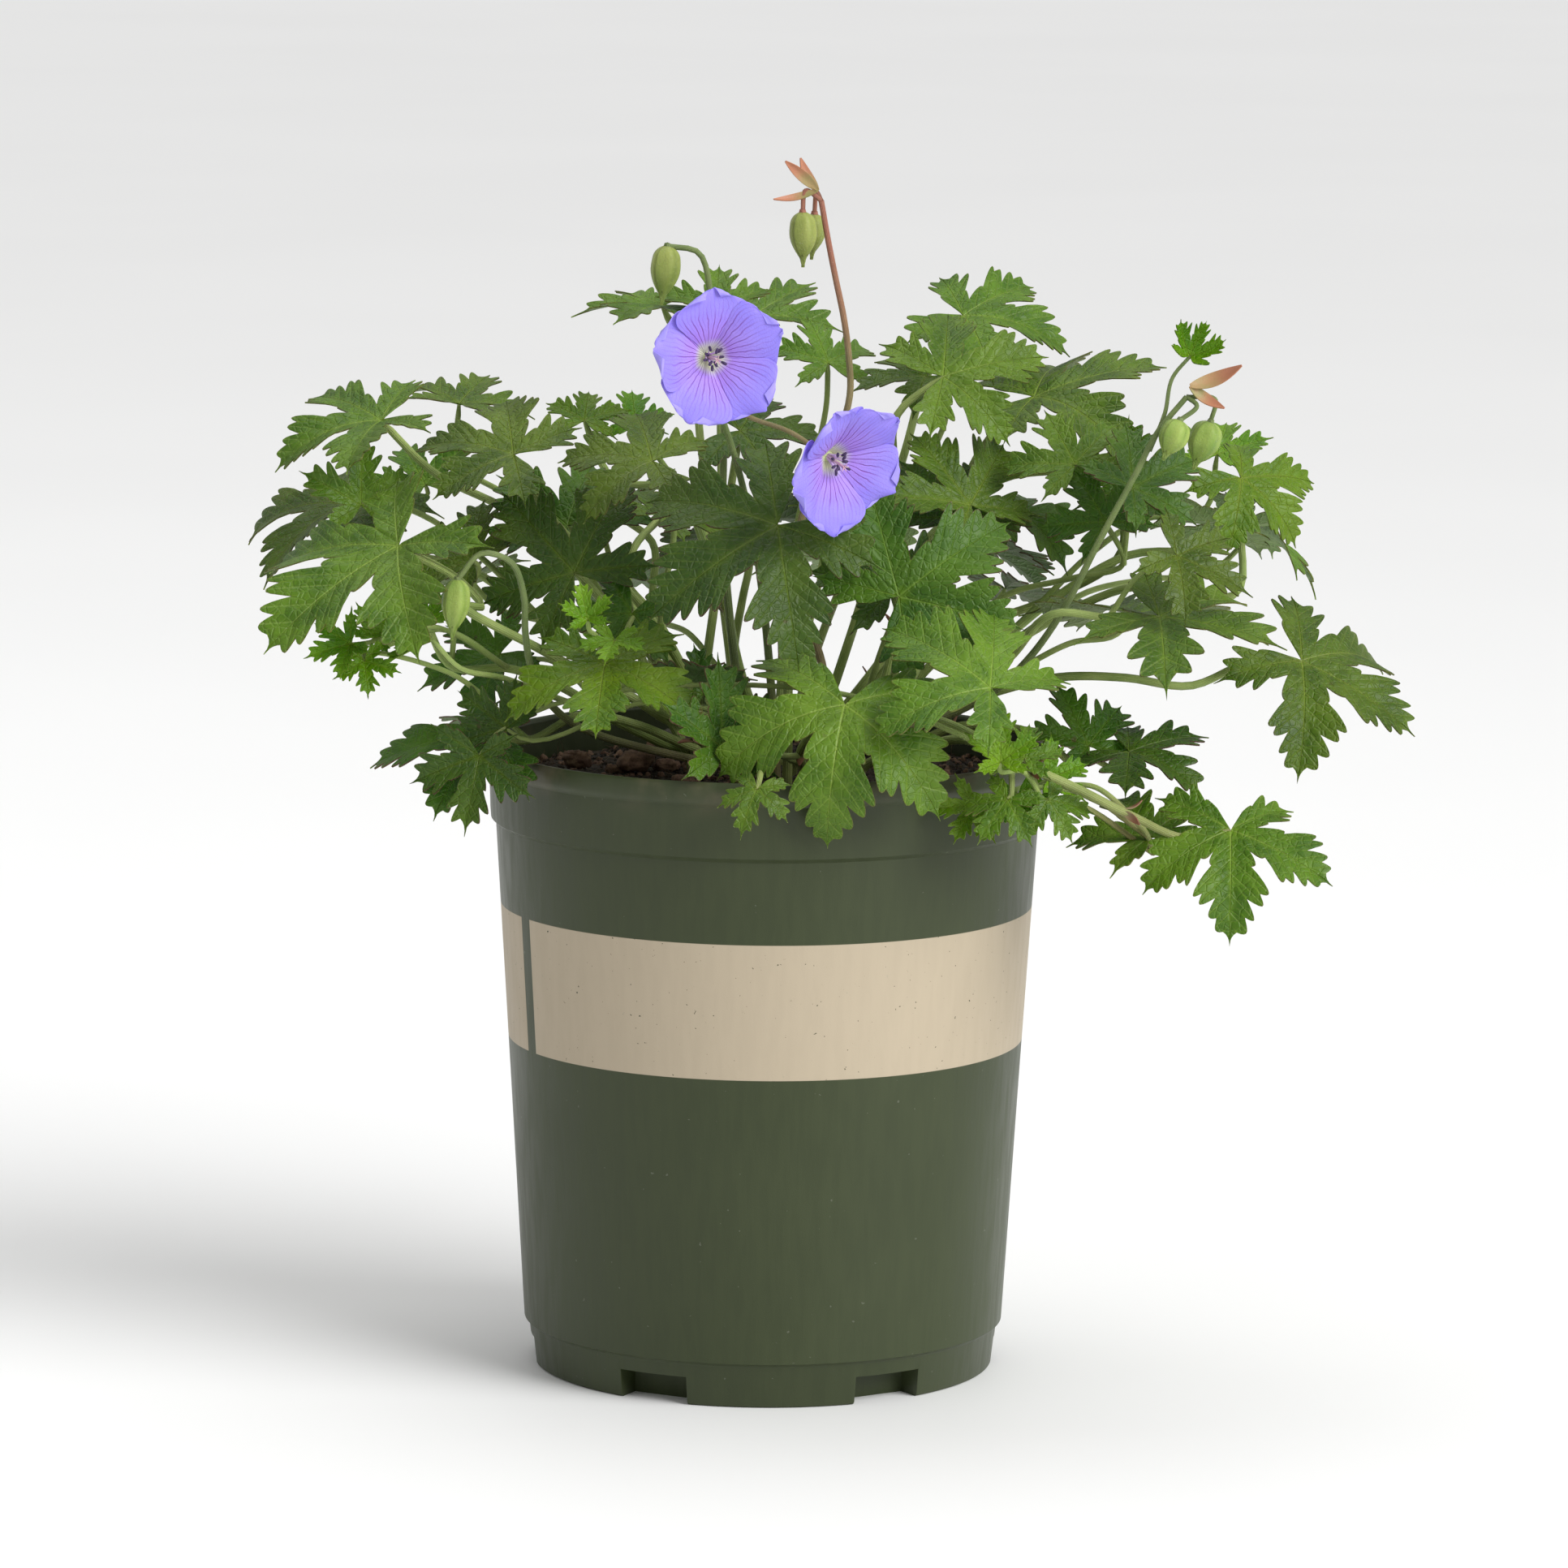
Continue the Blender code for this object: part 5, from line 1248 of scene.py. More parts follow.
class Dress(Graph):
    """A material in the making, round its Principled shader."""

    def __init__(self, name: str, roughness: float, **settings: object) -> None:
        """Make a material.

        Args:
            name: Its name.
            roughness: Its roughness where nothing changes it.
            settings: Other sockets of the shader, by name with underscores, set to plain values.
        """
        self.material = bpy.data.materials.new(name)
        self.material.use_nodes = True
        super().__init__(self.material.node_tree)
        self.shader = self.tree.nodes["Principled BSDF"]
        for key, value in {"roughness": roughness, **settings}.items():
            self.feed(self.shader.inputs[key.replace("_", " ").title().replace("Ior", "IOR")], value)

    def paint(self, share: object, deep: object, light: object, *coats: tuple) -> bpy.types.NodeSocket:
        """Mix the base colour from two, and lay coats over it.

        Args:
            share: How much of the light colour shows.
            deep: The first colour.
            light: The second colour.
            coats: (share, colour) pairs, each laid over the ones before it.

        Returns:
            The colour's socket.
        """
        base = self.blend(share, deep, light)
        for part, colour in coats:
            base = self.blend(part, base, colour)
        self.feed(self.shader.inputs["Base Color"], base)
        return base

    def raised(self, height: object, distance: float) -> bpy.types.Material:
        """Raise the surface by a height.

        Args:
            height: The height's socket.
            distance: Its full value in millimetres.

        Returns:
            The finished material.
        """
        bump = self.node("ShaderNodeBump", {"Strength": 1.0, "Distance": distance * MM, "Height": height})
        self.feed(self.shader.inputs["Normal"], bump.outputs[0])
        return self.material


def start_effect(name: str, inputs: dict, outputs: tuple) -> tuple:
    """An empty shader effect.

    Args:
        name: Its name.
        inputs: The usual values of its inputs by name.
        outputs: The names of its results.

    Returns:
        Its graph, its input sockets by name and its results' sockets.
    """
    tree = bpy.data.node_groups.new(name, "ShaderNodeTree")
    for item, value in inputs.items():
        socket = tree.interface.new_socket(item, in_out="INPUT", socket_type="NodeSocketFloat")
        socket.default_value = value
    for item in outputs:
        tree.interface.new_socket(item, in_out="OUTPUT", socket_type="NodeSocketFloat")
    graph = Graph(tree)
    return graph, graph.node("NodeGroupInput").outputs, graph.node("NodeGroupOutput").inputs


@functools.cache
def vein_effect() -> bpy.types.NodeTree:
    """Veins of a leaf from its pattern: midribs, side veins, a fine net, and where its margin lies."""
    graph, given, results = start_effect("leaf_veins", {"Rib": 0.015, "Vein": 0.86, "Cells": 420.0},
                                         ("Veins", "Net", "Margin", "Notch", "Centre"))
    along, away = graph.pattern()
    mark, inside, notch, _ = graph.tint()
    width = graph.times(given["Rib"], graph.span(along, 0.0, 1.0, 1.15, 0.35))
    rib = graph.calc("SUBTRACT", 1.0, graph.calc("DIVIDE", away, width, clamp=True))
    side = graph.calc("DIVIDE", graph.calc("SUBTRACT", mark, given["Vein"], clamp=True), 0.14, clamp=True)
    cells = graph.node("ShaderNodeTexVoronoi", {"Vector": graph.place(), "Scale": given["Cells"]},
                       feature="DISTANCE_TO_EDGE")
    middle = graph.span(graph.calc("ADD", along, away), 0.0, 0.16, 1.0, 0.0)
    glow = graph.times(graph.span(away, 0.0, 0.075, 0.55, 0.0), graph.span(along, 0.2, 1.0, 1.0, 0.2))
    values = (
        graph.most(rib, graph.times(side, 0.5)),
        graph.span(cells.outputs["Distance"], 0.02, 0.16, 1.0, 0.0),
        graph.span(inside, 0.0, 0.034, 1.0, 0.0),
        graph.calc("POWER", notch, 3.0),
        graph.most(middle, glow),
    )
    for socket, value in zip(results, values):
        graph.feed(socket, value)
    return graph.tree


@functools.cache
def mottle_effect() -> bpy.types.NodeTree:
    """Cloudy patches and a fine grain on the object's own coordinates."""
    graph, given, results = start_effect("mottle", {"Patch": 60.0, "Grain": 900.0}, ("Patches", "Grain"))
    graph.feed(results[0], graph.span(graph.noise(given["Patch"], 3.0), 0.32, 0.68))
    graph.feed(results[1], graph.noise(given["Grain"], 4.0))
    return graph.tree


SOFT = {"subsurface_weight": 0.12, "subsurface_scale": 0.003, "specular_ior_level": 0.30}


@dataclass(frozen=True)
class LeafFinish:
    """One side of a leaf: its greens, its veins, its margin and how it is raised."""

    name: str
    deep: tuple
    light: tuple
    marble: tuple
    vein: tuple
    margin: tuple
    margin_share: float
    spots: float
    vein_share: float
    vein_height: float
    roughness: float
    spot: tuple = (0.060, 0.028, 0.012)

    def material(self) -> bpy.types.Material:
        """Make its material.

        Returns:
            The material.
        """
        dress = Dress(self.name, self.roughness, subsurface_radius=(0.5, 1.0, 0.15), **SOFT)
        veins = dress.effect(vein_effect())
        cloud = dress.effect(mottle_effect(), patch=95.0, grain=2600.0)
        tone = dress.tint()[3]
        wide = dress.span(dress.noise(34.0), 0.42, 0.66)
        glow = dress.most(dress.times(wide, 0.35), veins["Notch"], dress.times(veins["Centre"], 0.8))
        lines = dress.most(dress.times(veins["Veins"], self.vein_share),
                           dress.times(veins["Net"], self.vein_share * 0.13))
        spots = dress.span(dress.noise(150.0, 1.0), 0.80 - 0.09 * self.spots, 0.84 - 0.09 * self.spots)
        edge = dress.times(veins["Margin"], self.margin_share)
        base = dress.paint(cloud["Patches"], self.deep, self.light, (dress.times(glow, 0.75), self.marble),
                           (lines, self.vein), (edge, self.margin),
                           (dress.times(spots, self.spots), self.spot))
        shade = dress.node("ShaderNodeHueSaturation", {
            "Hue": dress.span(tone, 0.0, 1.0, 0.488, 0.508), "Saturation": 1.12,
            "Value": dress.span(tone, 0.0, 1.0, 0.66, 1.08), "Color": base})
        dress.feed(dress.shader.inputs["Base Color"], shade.outputs[0])
        height = dress.times(veins["Veins"], self.vein_height)
        height = dress.plus(veins["Net"], self.vein_height * 0.55, height)
        return dress.raised(dress.plus(cloud["Grain"], 0.30, height), 0.32)


LEAF_FINISHES = {
    (Tone.OLD, Side.UPPER): LeafFinish(
        "old_leaf_upper", (0.024, 0.062, 0.008), (0.048, 0.100, 0.014), (0.130, 0.200, 0.026),
        (0.200, 0.290, 0.070), (0.085, 0.035, 0.030), 0.85, 0.6, 0.60, -1.0, 0.44),
    (Tone.OLD, Side.UNDER): LeafFinish(
        "old_leaf_under", (0.090, 0.130, 0.058), (0.125, 0.170, 0.080), (0.150, 0.200, 0.090),
        (0.210, 0.260, 0.130), (0.110, 0.050, 0.040), 0.80, 0.3, 0.60, 1.0, 0.62),
    (Tone.MATURE, Side.UPPER): LeafFinish(
        "mature_leaf_upper", (0.044, 0.092, 0.010), (0.092, 0.160, 0.022), (0.180, 0.265, 0.040),
        (0.310, 0.410, 0.110), (0.110, 0.060, 0.030), 0.50, 0.35, 0.65, -1.0, 0.42),
    (Tone.MATURE, Side.UNDER): LeafFinish(
        "mature_leaf_under", (0.150, 0.210, 0.078), (0.200, 0.265, 0.105), (0.230, 0.300, 0.110),
        (0.300, 0.370, 0.170), (0.140, 0.090, 0.050), 0.50, 0.1, 0.60, 1.0, 0.60),
    (Tone.YOUNG, Side.UPPER): LeafFinish(
        "young_leaf_upper", (0.070, 0.165, 0.014), (0.130, 0.250, 0.026), (0.250, 0.370, 0.055),
        (0.360, 0.480, 0.120), (0.130, 0.120, 0.040), 0.30, 0.0, 0.60, -1.0, 0.44),
    (Tone.YOUNG, Side.UNDER): LeafFinish(
        "young_leaf_under", (0.180, 0.260, 0.080), (0.230, 0.320, 0.105), (0.260, 0.360, 0.115),
        (0.330, 0.420, 0.180), (0.160, 0.120, 0.060), 0.35, 0.0, 0.60, 1.0, 0.56),
}


@dataclass(frozen=True)
class StalkFinish:
    """A stem or a bud: green with lengthwise streaks, redder towards one end."""

    name: str
    deep: tuple
    light: tuple
    blush: tuple
    blush_low: float
    blush_high: float
    blush_share: float
    streaks: float = 14.0
    roughness: float = 0.52

    def material(self) -> bpy.types.Material:
        """Make its material.

        Returns:
            The material.
        """
        dress = Dress(self.name, self.roughness, subsurface_radius=(0.6, 1.0, 0.2), **SOFT)
        cloud = dress.effect(mottle_effect(), patch=120.0, grain=1800.0)
        turn = dress.pattern()[1]
        streak = dress.plus(dress.calc("SINE", dress.times(turn, self.streaks * math.tau)), 0.5, 0.5)
        rise = dress.plus(dress.noise(40.0), 0.03, dress.parts()[2])
        blush = dress.span(rise, self.blush_low * MM, self.blush_high * MM)
        share = dress.plus(streak, 0.35, dress.times(cloud["Patches"], 0.6))
        dress.paint(share, self.deep, self.light, (dress.times(blush, self.blush_share), self.blush))
        return dress.raised(dress.plus(streak, 0.6, cloud["Grain"]), 0.18)


@dataclass(frozen=True)
class PetalFinish:
    """A petal: a pale eye, violet blue beyond it, and dark veins that fan out and fork."""

    name: str = "petal_face"
    eye: tuple = (0.740, 0.790, 0.460)
    inner: tuple = (0.400, 0.230, 0.780)
    outer: tuple = (0.270, 0.220, 0.830)
    vein: tuple = (0.150, 0.012, 0.220)
    bloom: tuple = (0.40, 0.33, 0.90)
    counts: tuple = (4.5, 9.0)
    widths: tuple = (0.14, 0.17)
    roughness: float = 0.55

    def material(self) -> bpy.types.Material:
        """Make its material.

        Returns:
            The material.
        """
        dress = Dress(self.name, self.roughness, subsurface_weight=0.15, subsurface_scale=0.003,
                      subsurface_radius=(0.8, 0.5, 1.0), specular_ior_level=0.2)
        along, away = dress.pattern()
        cloud = dress.effect(mottle_effect(), patch=150.0, grain=2200.0)
        bent = dress.plus(dress.noise(240.0), 0.16, away)
        lines = []
        for count, width in zip(self.counts, self.widths):
            part = dress.calc("SUBTRACT", dress.calc("FRACT", dress.plus(bent, count, 20.5)), 0.5)
            lines.append(dress.span(dress.calc("ABSOLUTE", part), 0.0, width, 1.0, 0.0))
        main = dress.times(lines[0], dress.span(along, 0.45, 0.88, 0.95, 0.0))
        fine = dress.times(lines[1], dress.span(along, 0.30, 0.52, 0.0, 0.25),
                           dress.span(along, 0.75, 1.0, 1.0, 0.2))
        veins = dress.times(dress.most(main, fine), dress.span(along, 0.05, 0.14))
        dress.paint(dress.span(along, 0.15, 0.33), self.eye, self.inner,
                    (dress.span(along, 0.25, 0.80), self.outer), (dress.times(veins, 0.92), self.vein),
                    (dress.times(cloud["Patches"], 0.22), self.bloom))
        return dress.raised(dress.plus(veins, -0.8, cloud["Grain"]), 0.16)


@dataclass(frozen=True)
class PlainFinish:
    """A small part's skin: two shades in patches, a fine grain, and perhaps another colour at its tip."""

    name: str
    first: tuple
    second: tuple
    roughness: float
    patch: float = 200.0
    grain: float = 2500.0
    relief: float = 0.10
    tip: tuple = ()

    def material(self) -> bpy.types.Material:
        """Make its material.

        Returns:
            The material.
        """
        dress = Dress(self.name, self.roughness)
        cloud = dress.effect(mottle_effect(), patch=self.patch, grain=self.grain)
        coats = [(dress.span(dress.pattern()[0], 0.15, 0.75), self.tip)] if self.tip else []
        dress.paint(cloud["Patches"], self.first, self.second, *coats)
        return dress.raised(cloud["Grain"], self.relief)


@dataclass(frozen=True)
class PotFinish:
    """The pot's satin plastic: olive green with fine upright streaks, dust, and a bare printed band."""

    name: str = "pot_plastic"
    deep: tuple = (0.031, 0.042, 0.014)
    light: tuple = (0.038, 0.050, 0.018)
    band: tuple = (0.440, 0.370, 0.268)
    dust: tuple = (0.20, 0.15, 0.10)
    scuff: tuple = (0.24, 0.25, 0.20)
    band_low: float = 99.8
    band_high: float = 140.4
    divider: float = -63.4
    divider_width: float = 5.3
    radius: float = 77.0
    blur: float = 0.12
    divider_blur: float = 0.0015
    dust_heights: tuple = (0.176, 0.1885)
    dust_share: float = 0.28
    scuff_share: float = 0.25

    def material(self) -> bpy.types.Material:
        """Make its material.

        Returns:
            The material.
        """
        dress = Dress(self.name, 0.40, specular_ior_level=0.35)
        x, y, z = dress.parts()
        turn = dress.calc("ARCTAN2", x, dress.times(y, -1.0))
        spread = dress.node("ShaderNodeCombineXYZ", {
            0: dress.calc("COSINE", turn), 1: dress.calc("SINE", turn), 2: dress.times(z, 2.2)})
        streak = dress.noise(26.0, 5.0, spread.outputs[0])
        cloud = dress.effect(mottle_effect(), patch=26.0, grain=3200.0)
        masks = [dress.span(z, (level - self.blur) * MM, (level + self.blur) * MM, first, 1.0 - first)
                 for level, first in ((self.band_low, 0.0), (self.band_high, 1.0))]
        half = 0.5 * self.divider_width / self.radius
        for middle in (self.divider, self.divider + 180.0):
            off = dress.calc("ABSOLUTE", dress.calc("SUBTRACT", turn, math.radians(middle)))
            masks.append(dress.span(off, half - self.divider_blur, half + self.divider_blur))
        masks.append(dress.calc("SUBTRACT", 1.0, dress.span(dress.noise(900.0), 0.72, 0.76)))
        printed = dress.times(*masks)
        ink = dress.blend(dress.span(streak, 0.3, 0.7), self.band, tuple(part * 0.97 for part in self.band))
        clouds = dress.span(dress.noise(70.0, 4.0), 0.48, 0.72)
        dust = dress.times(dress.span(z, *self.dust_heights), clouds, self.dust_share)
        scuffs = dress.times(dress.span(dress.noise(520.0), 0.74, 0.77), self.scuff_share)
        share = dress.plus(cloud["Patches"], 0.4, dress.span(streak, 0.35, 0.65, 0.0, 0.6))
        dress.paint(share, self.deep, self.light, (printed, ink), (dust, self.dust), (scuffs, self.scuff))
        rough = dress.plus(printed, 0.14, dress.span(streak, 0.3, 0.7, 0.36, 0.46))
        dress.feed(dress.shader.inputs["Roughness"], rough)
        height = dress.plus(streak, 0.6, dress.times(cloud["Grain"], 0.25))
        return dress.raised(dress.plus(printed, 0.35, height), 0.10)


@dataclass(frozen=True)
class MixFinish:
    """The potting mix: dark brown, damp, with paler fibres."""

    name: str = "damp_mix"
    deep: tuple = (0.014, 0.009, 0.006)
    light: tuple = (0.050, 0.030, 0.018)
    fibre: tuple = (0.120, 0.070, 0.038)

    def material(self) -> bpy.types.Material:
        """Make its material.

        Returns:
            The material.
        """
        dress = Dress(self.name, 0.9)
        cloud = dress.effect(mottle_effect(), patch=420.0, grain=1500.0)
        fibres = dress.span(dress.noise(260.0, 5.0), 0.60, 0.68)
        dress.paint(cloud["Patches"], self.deep, self.light, (dress.times(fibres, 0.7), self.fibre))
        return dress.raised(dress.calc("ADD", cloud["Grain"], cloud["Patches"]), 0.7)


FINISHES = {
    "petal": PetalFinish(),
    "petal_back": PlainFinish("petal_under", (0.300, 0.250, 0.800), (0.370, 0.310, 0.850), 0.6),
    "throat": PlainFinish("bloom_throat", (0.62, 0.70, 0.36), (0.50, 0.60, 0.28), 0.5),
    "filament": PlainFinish("filament_skin", (0.62, 0.42, 0.74), (0.72, 0.58, 0.80), 0.5),
    "anther": PlainFinish("anther_skin", (0.030, 0.016, 0.060), (0.070, 0.040, 0.110), 0.6,
                          900.0, 4000.0, 0.2),
    "style": PlainFinish("style_skin", (0.66, 0.52, 0.52), (0.60, 0.30, 0.42), 0.5),
    "bract": PlainFinish("bract_skin", (0.260, 0.270, 0.090), (0.400, 0.250, 0.110), 0.5,
                         tip=(0.43, 0.17, 0.09)),
    "stipule": PlainFinish("stipule_skin", (0.150, 0.150, 0.060), (0.210, 0.150, 0.070), 0.6,
                           tip=(0.20, 0.08, 0.04)),
    "bark": PlainFinish("bark_skin", (0.110, 0.056, 0.034), (0.240, 0.140, 0.090), 0.85, 300.0, 1800.0, 0.5),
    "stone": PlainFinish("grey_stone_skin", (0.090, 0.080, 0.066), (0.240, 0.220, 0.190), 0.85,
                         260.0, 1500.0, 0.6),
    "hair": PlainFinish("hair_skin", (0.55, 0.62, 0.42), (0.68, 0.72, 0.55), 0.6),
    "mix": MixFinish(),
    "pot": PotFinish(),
    "petiole": StalkFinish("petiole_skin", (0.210, 0.290, 0.075), (0.360, 0.440, 0.140),
                           (0.180, 0.140, 0.060), 220.0, 184.0, 0.45),
    "young_petiole": StalkFinish("young_petiole_skin", (0.230, 0.330, 0.080), (0.360, 0.450, 0.140),
                                 (0.200, 0.110, 0.060), 205.0, 180.0, 0.6),
    "flower_stalk": StalkFinish("flower_stalk_skin", (0.120, 0.170, 0.055), (0.220, 0.280, 0.100),
                                (0.230, 0.110, 0.080), 235.0, 188.0, 0.5),
    "tall_stalk": StalkFinish("tall_stalk_skin", (0.200, 0.165, 0.075), (0.330, 0.260, 0.130),
                              (0.360, 0.130, 0.095), 318.0, 350.0, 0.85),
    "bud": StalkFinish("bud_skin", (0.150, 0.250, 0.040), (0.330, 0.430, 0.100), (0.330, 0.200, 0.090),
                       320.0, 352.0, 0.25, 5.0, 0.48),
    **LEAF_FINISHES,
}


@functools.cache
def finish_of(name: object) -> bpy.types.Material:
    """The material of a finish, made once."""
    return FINISHES[name].material()


def finishes_of(*names: object) -> list:
    """The materials of several finishes, by slot."""
    return [finish_of(name) for name in names]


def add_scale(skin: Skin, base: Vector, tip: Vector, half: float, face: Vector, slot: int, rows: int = 9,
              arch: float = 0.12) -> None:
    """Add a small pointed, keeled scale, such as a bract, a sepal or a stipule.

    Args:
        skin: The mesh to add it to.
        base: Where it grows from.
        tip: Its tip.
        half: Its half width.
        face: The way its hollow face looks.
        slot: Its material slot.
        rows: How many rows of points it has.
        arch: How far it bows, as a part of its length.
    """
    run = tip - base
    ahead = run.normalized()
    look = (face - ahead * face.dot(ahead)).normalized()
    side = run.cross(look).normalized()
    points, places = [], []
    for row in range(rows):
        part = row / (rows - 1)
        swell = math.sin(math.pi * min(1.0, part * 0.93 + 0.05)) ** 0.75
        width = half * max(0.10, swell * (1.0 - 0.35 * part))
        middle = base + run * part - look * math.sin(math.pi * part) * run.length * arch
        for across in (-1.0, -0.5, 0.0, 0.5, 1.0):
            lift = look * (abs(across) - 1.0) * width * SCALE_KEEL
            points.append(tuple(middle + side * across * width + lift))
            places.append((part, abs(across)))
    faces = [tuple(reversed(corners)) for corners in grid_faces(rows, 5)]
    made, solid, slots = thicken(np.array(points), faces, SCALE_THICKNESS, slot, slot)
    skin.add(made, solid, slots, np.array(places * 2), np.tile((0.0, 1.0, 0.0, 0.5), (len(made), 1)))


@dataclass
class Foliage:
    """All the leafy stems: toothed leaves on round, tapered petioles with stipules at their forks."""

    crown: Crown
    stem_radius: tuple = (1.60, 1.12)
    petiole_radius: tuple = (1.00, 0.85)
    neck_radius: float = 0.525
    flare: float = 1.15
    thickness: float = 0.42
    sides: int = 9
    hair_sides: int = 5
    steps: int = 5
    stipule: tuple = (6.5, 1.3)
    stipule_turns: tuple = (0.6, 2.6)
    stalks: Skin = field(default_factory=Skin)
    paths: list = field(default_factory=list)

    def blade(self, skin: Skin, form: LeafForm, spot: Spot, upper: int = Side.UPPER.value) -> None:
        """Add one leaf.

        Args:
            skin: The mesh to add it to.
            form: The leaf's form.
            spot: Where it stands.
            upper: The slot of its upper side, which its under side's follows.
        """
        _, _, _, places, tints, faces = form.fine
        points, solid, slots = thicken(form.sheet(spot), faces, self.thickness, upper, upper + 1)
        skin.add(points, solid, slots, np.vstack((places, places)), np.vstack((tints, tints)))

    def petiole(self, skin: Skin, path: list, spot: Spot, radii: tuple, tone: float) -> None:
        """Add one petiole, from its start to the middle of its leaf.

        Args:
            skin: The mesh to add it to.
            path: The way it takes in the solid.
            spot: Where its leaf stands.
            radii: Its radius at its start and its end.
            tone: Its shade.
        """
        end = spot.centre - spot.axes[2] * self.thickness * 0.5
        way = smooth_path(path[:-1] + [end], self.steps * len(path))
        widths = taper(*radii, len(way))
        widths[-1] = self.neck_radius
        widths[0] *= self.flare
        add_tube(skin, way, widths, self.sides, Side.STALK.value, tone)
        add_tube(self.stalks, way, widths, self.hair_sides, 0, tone)

    def stipules(self, skin: Skin, place: Vector, ahead: Vector) -> None:
        """Add a pair of small pointed stipules where a petiole leaves its stem.

        Args:
            skin: The mesh to add them to.
            place: The fork.
            ahead: The way the stem runs there.
        """
        length, half = self.stipule
        side = ahead.orthogonal().normalized()
        for turn in self.stipule_turns:
            out = Matrix.Rotation(turn, 3, ahead) @ side
            base = place + out * 0.8
            tip = base + (ahead * 0.8 + out * 0.75).normalized() * length
            add_scale(skin, base, tip, half, out, Side.BUD.value)

    def grow(self, stem: Stem, root: Vector) -> bpy.types.Object:
        """Build one leafy stem in place of its node.

        Args:
            stem: The stem.
            root: Where it stands in the mix.

        Returns:
            The finished piece.
        """
        crown = self.crown
        known = crown.node_points(stem.name)
        forms = [LeafForm(leaf) for leaf in stem.leaves]
        spots = [crown.place(form, known) for form in forms]
        foot = crown.foot(root)
        starts = [foot]
        if len(spots) > 1:
            starts = [foot + [crown.fork(root, [spot.foot for spot in spots])], foot]
        skin = Skin()
        radii = (crown.stem_radius, crown.petiole_radius)
        path = main = crown.lead(starts, stem.leaves[0], spots[0], known, radii, 4)
        for number, (leaf, form, spot) in enumerate(zip(stem.leaves, forms, spots)):
            if number:
                options = [[along_path(main, share)] for share in (leaf.fork, leaf.fork * 0.6)]
                path = crown.lead(options, leaf, spot, known, radii[1:] * 2, 3)
                ahead = (along_path(main, leaf.fork + 0.05) - along_path(main, leaf.fork)).normalized()
                self.stipules(skin, path[0], ahead)
            self.paths.append(path)
            self.petiole(skin, path, spot, self.petiole_radius if number else self.stem_radius, form.tone)
            self.blade(skin, form, spot)
        return seat(skin.build(stem.name + "_grown", self.dress(stem.tone)), stem.tone.value, stem.name)

    def dress(self, tone: Tone) -> list:
        """The finishes of a stem, by slot."""
        petiole = "young_petiole" if tone is Tone.YOUNG else "petiole"
        return finishes_of((tone, Side.UPPER), (tone, Side.UNDER), petiole, "stipule")


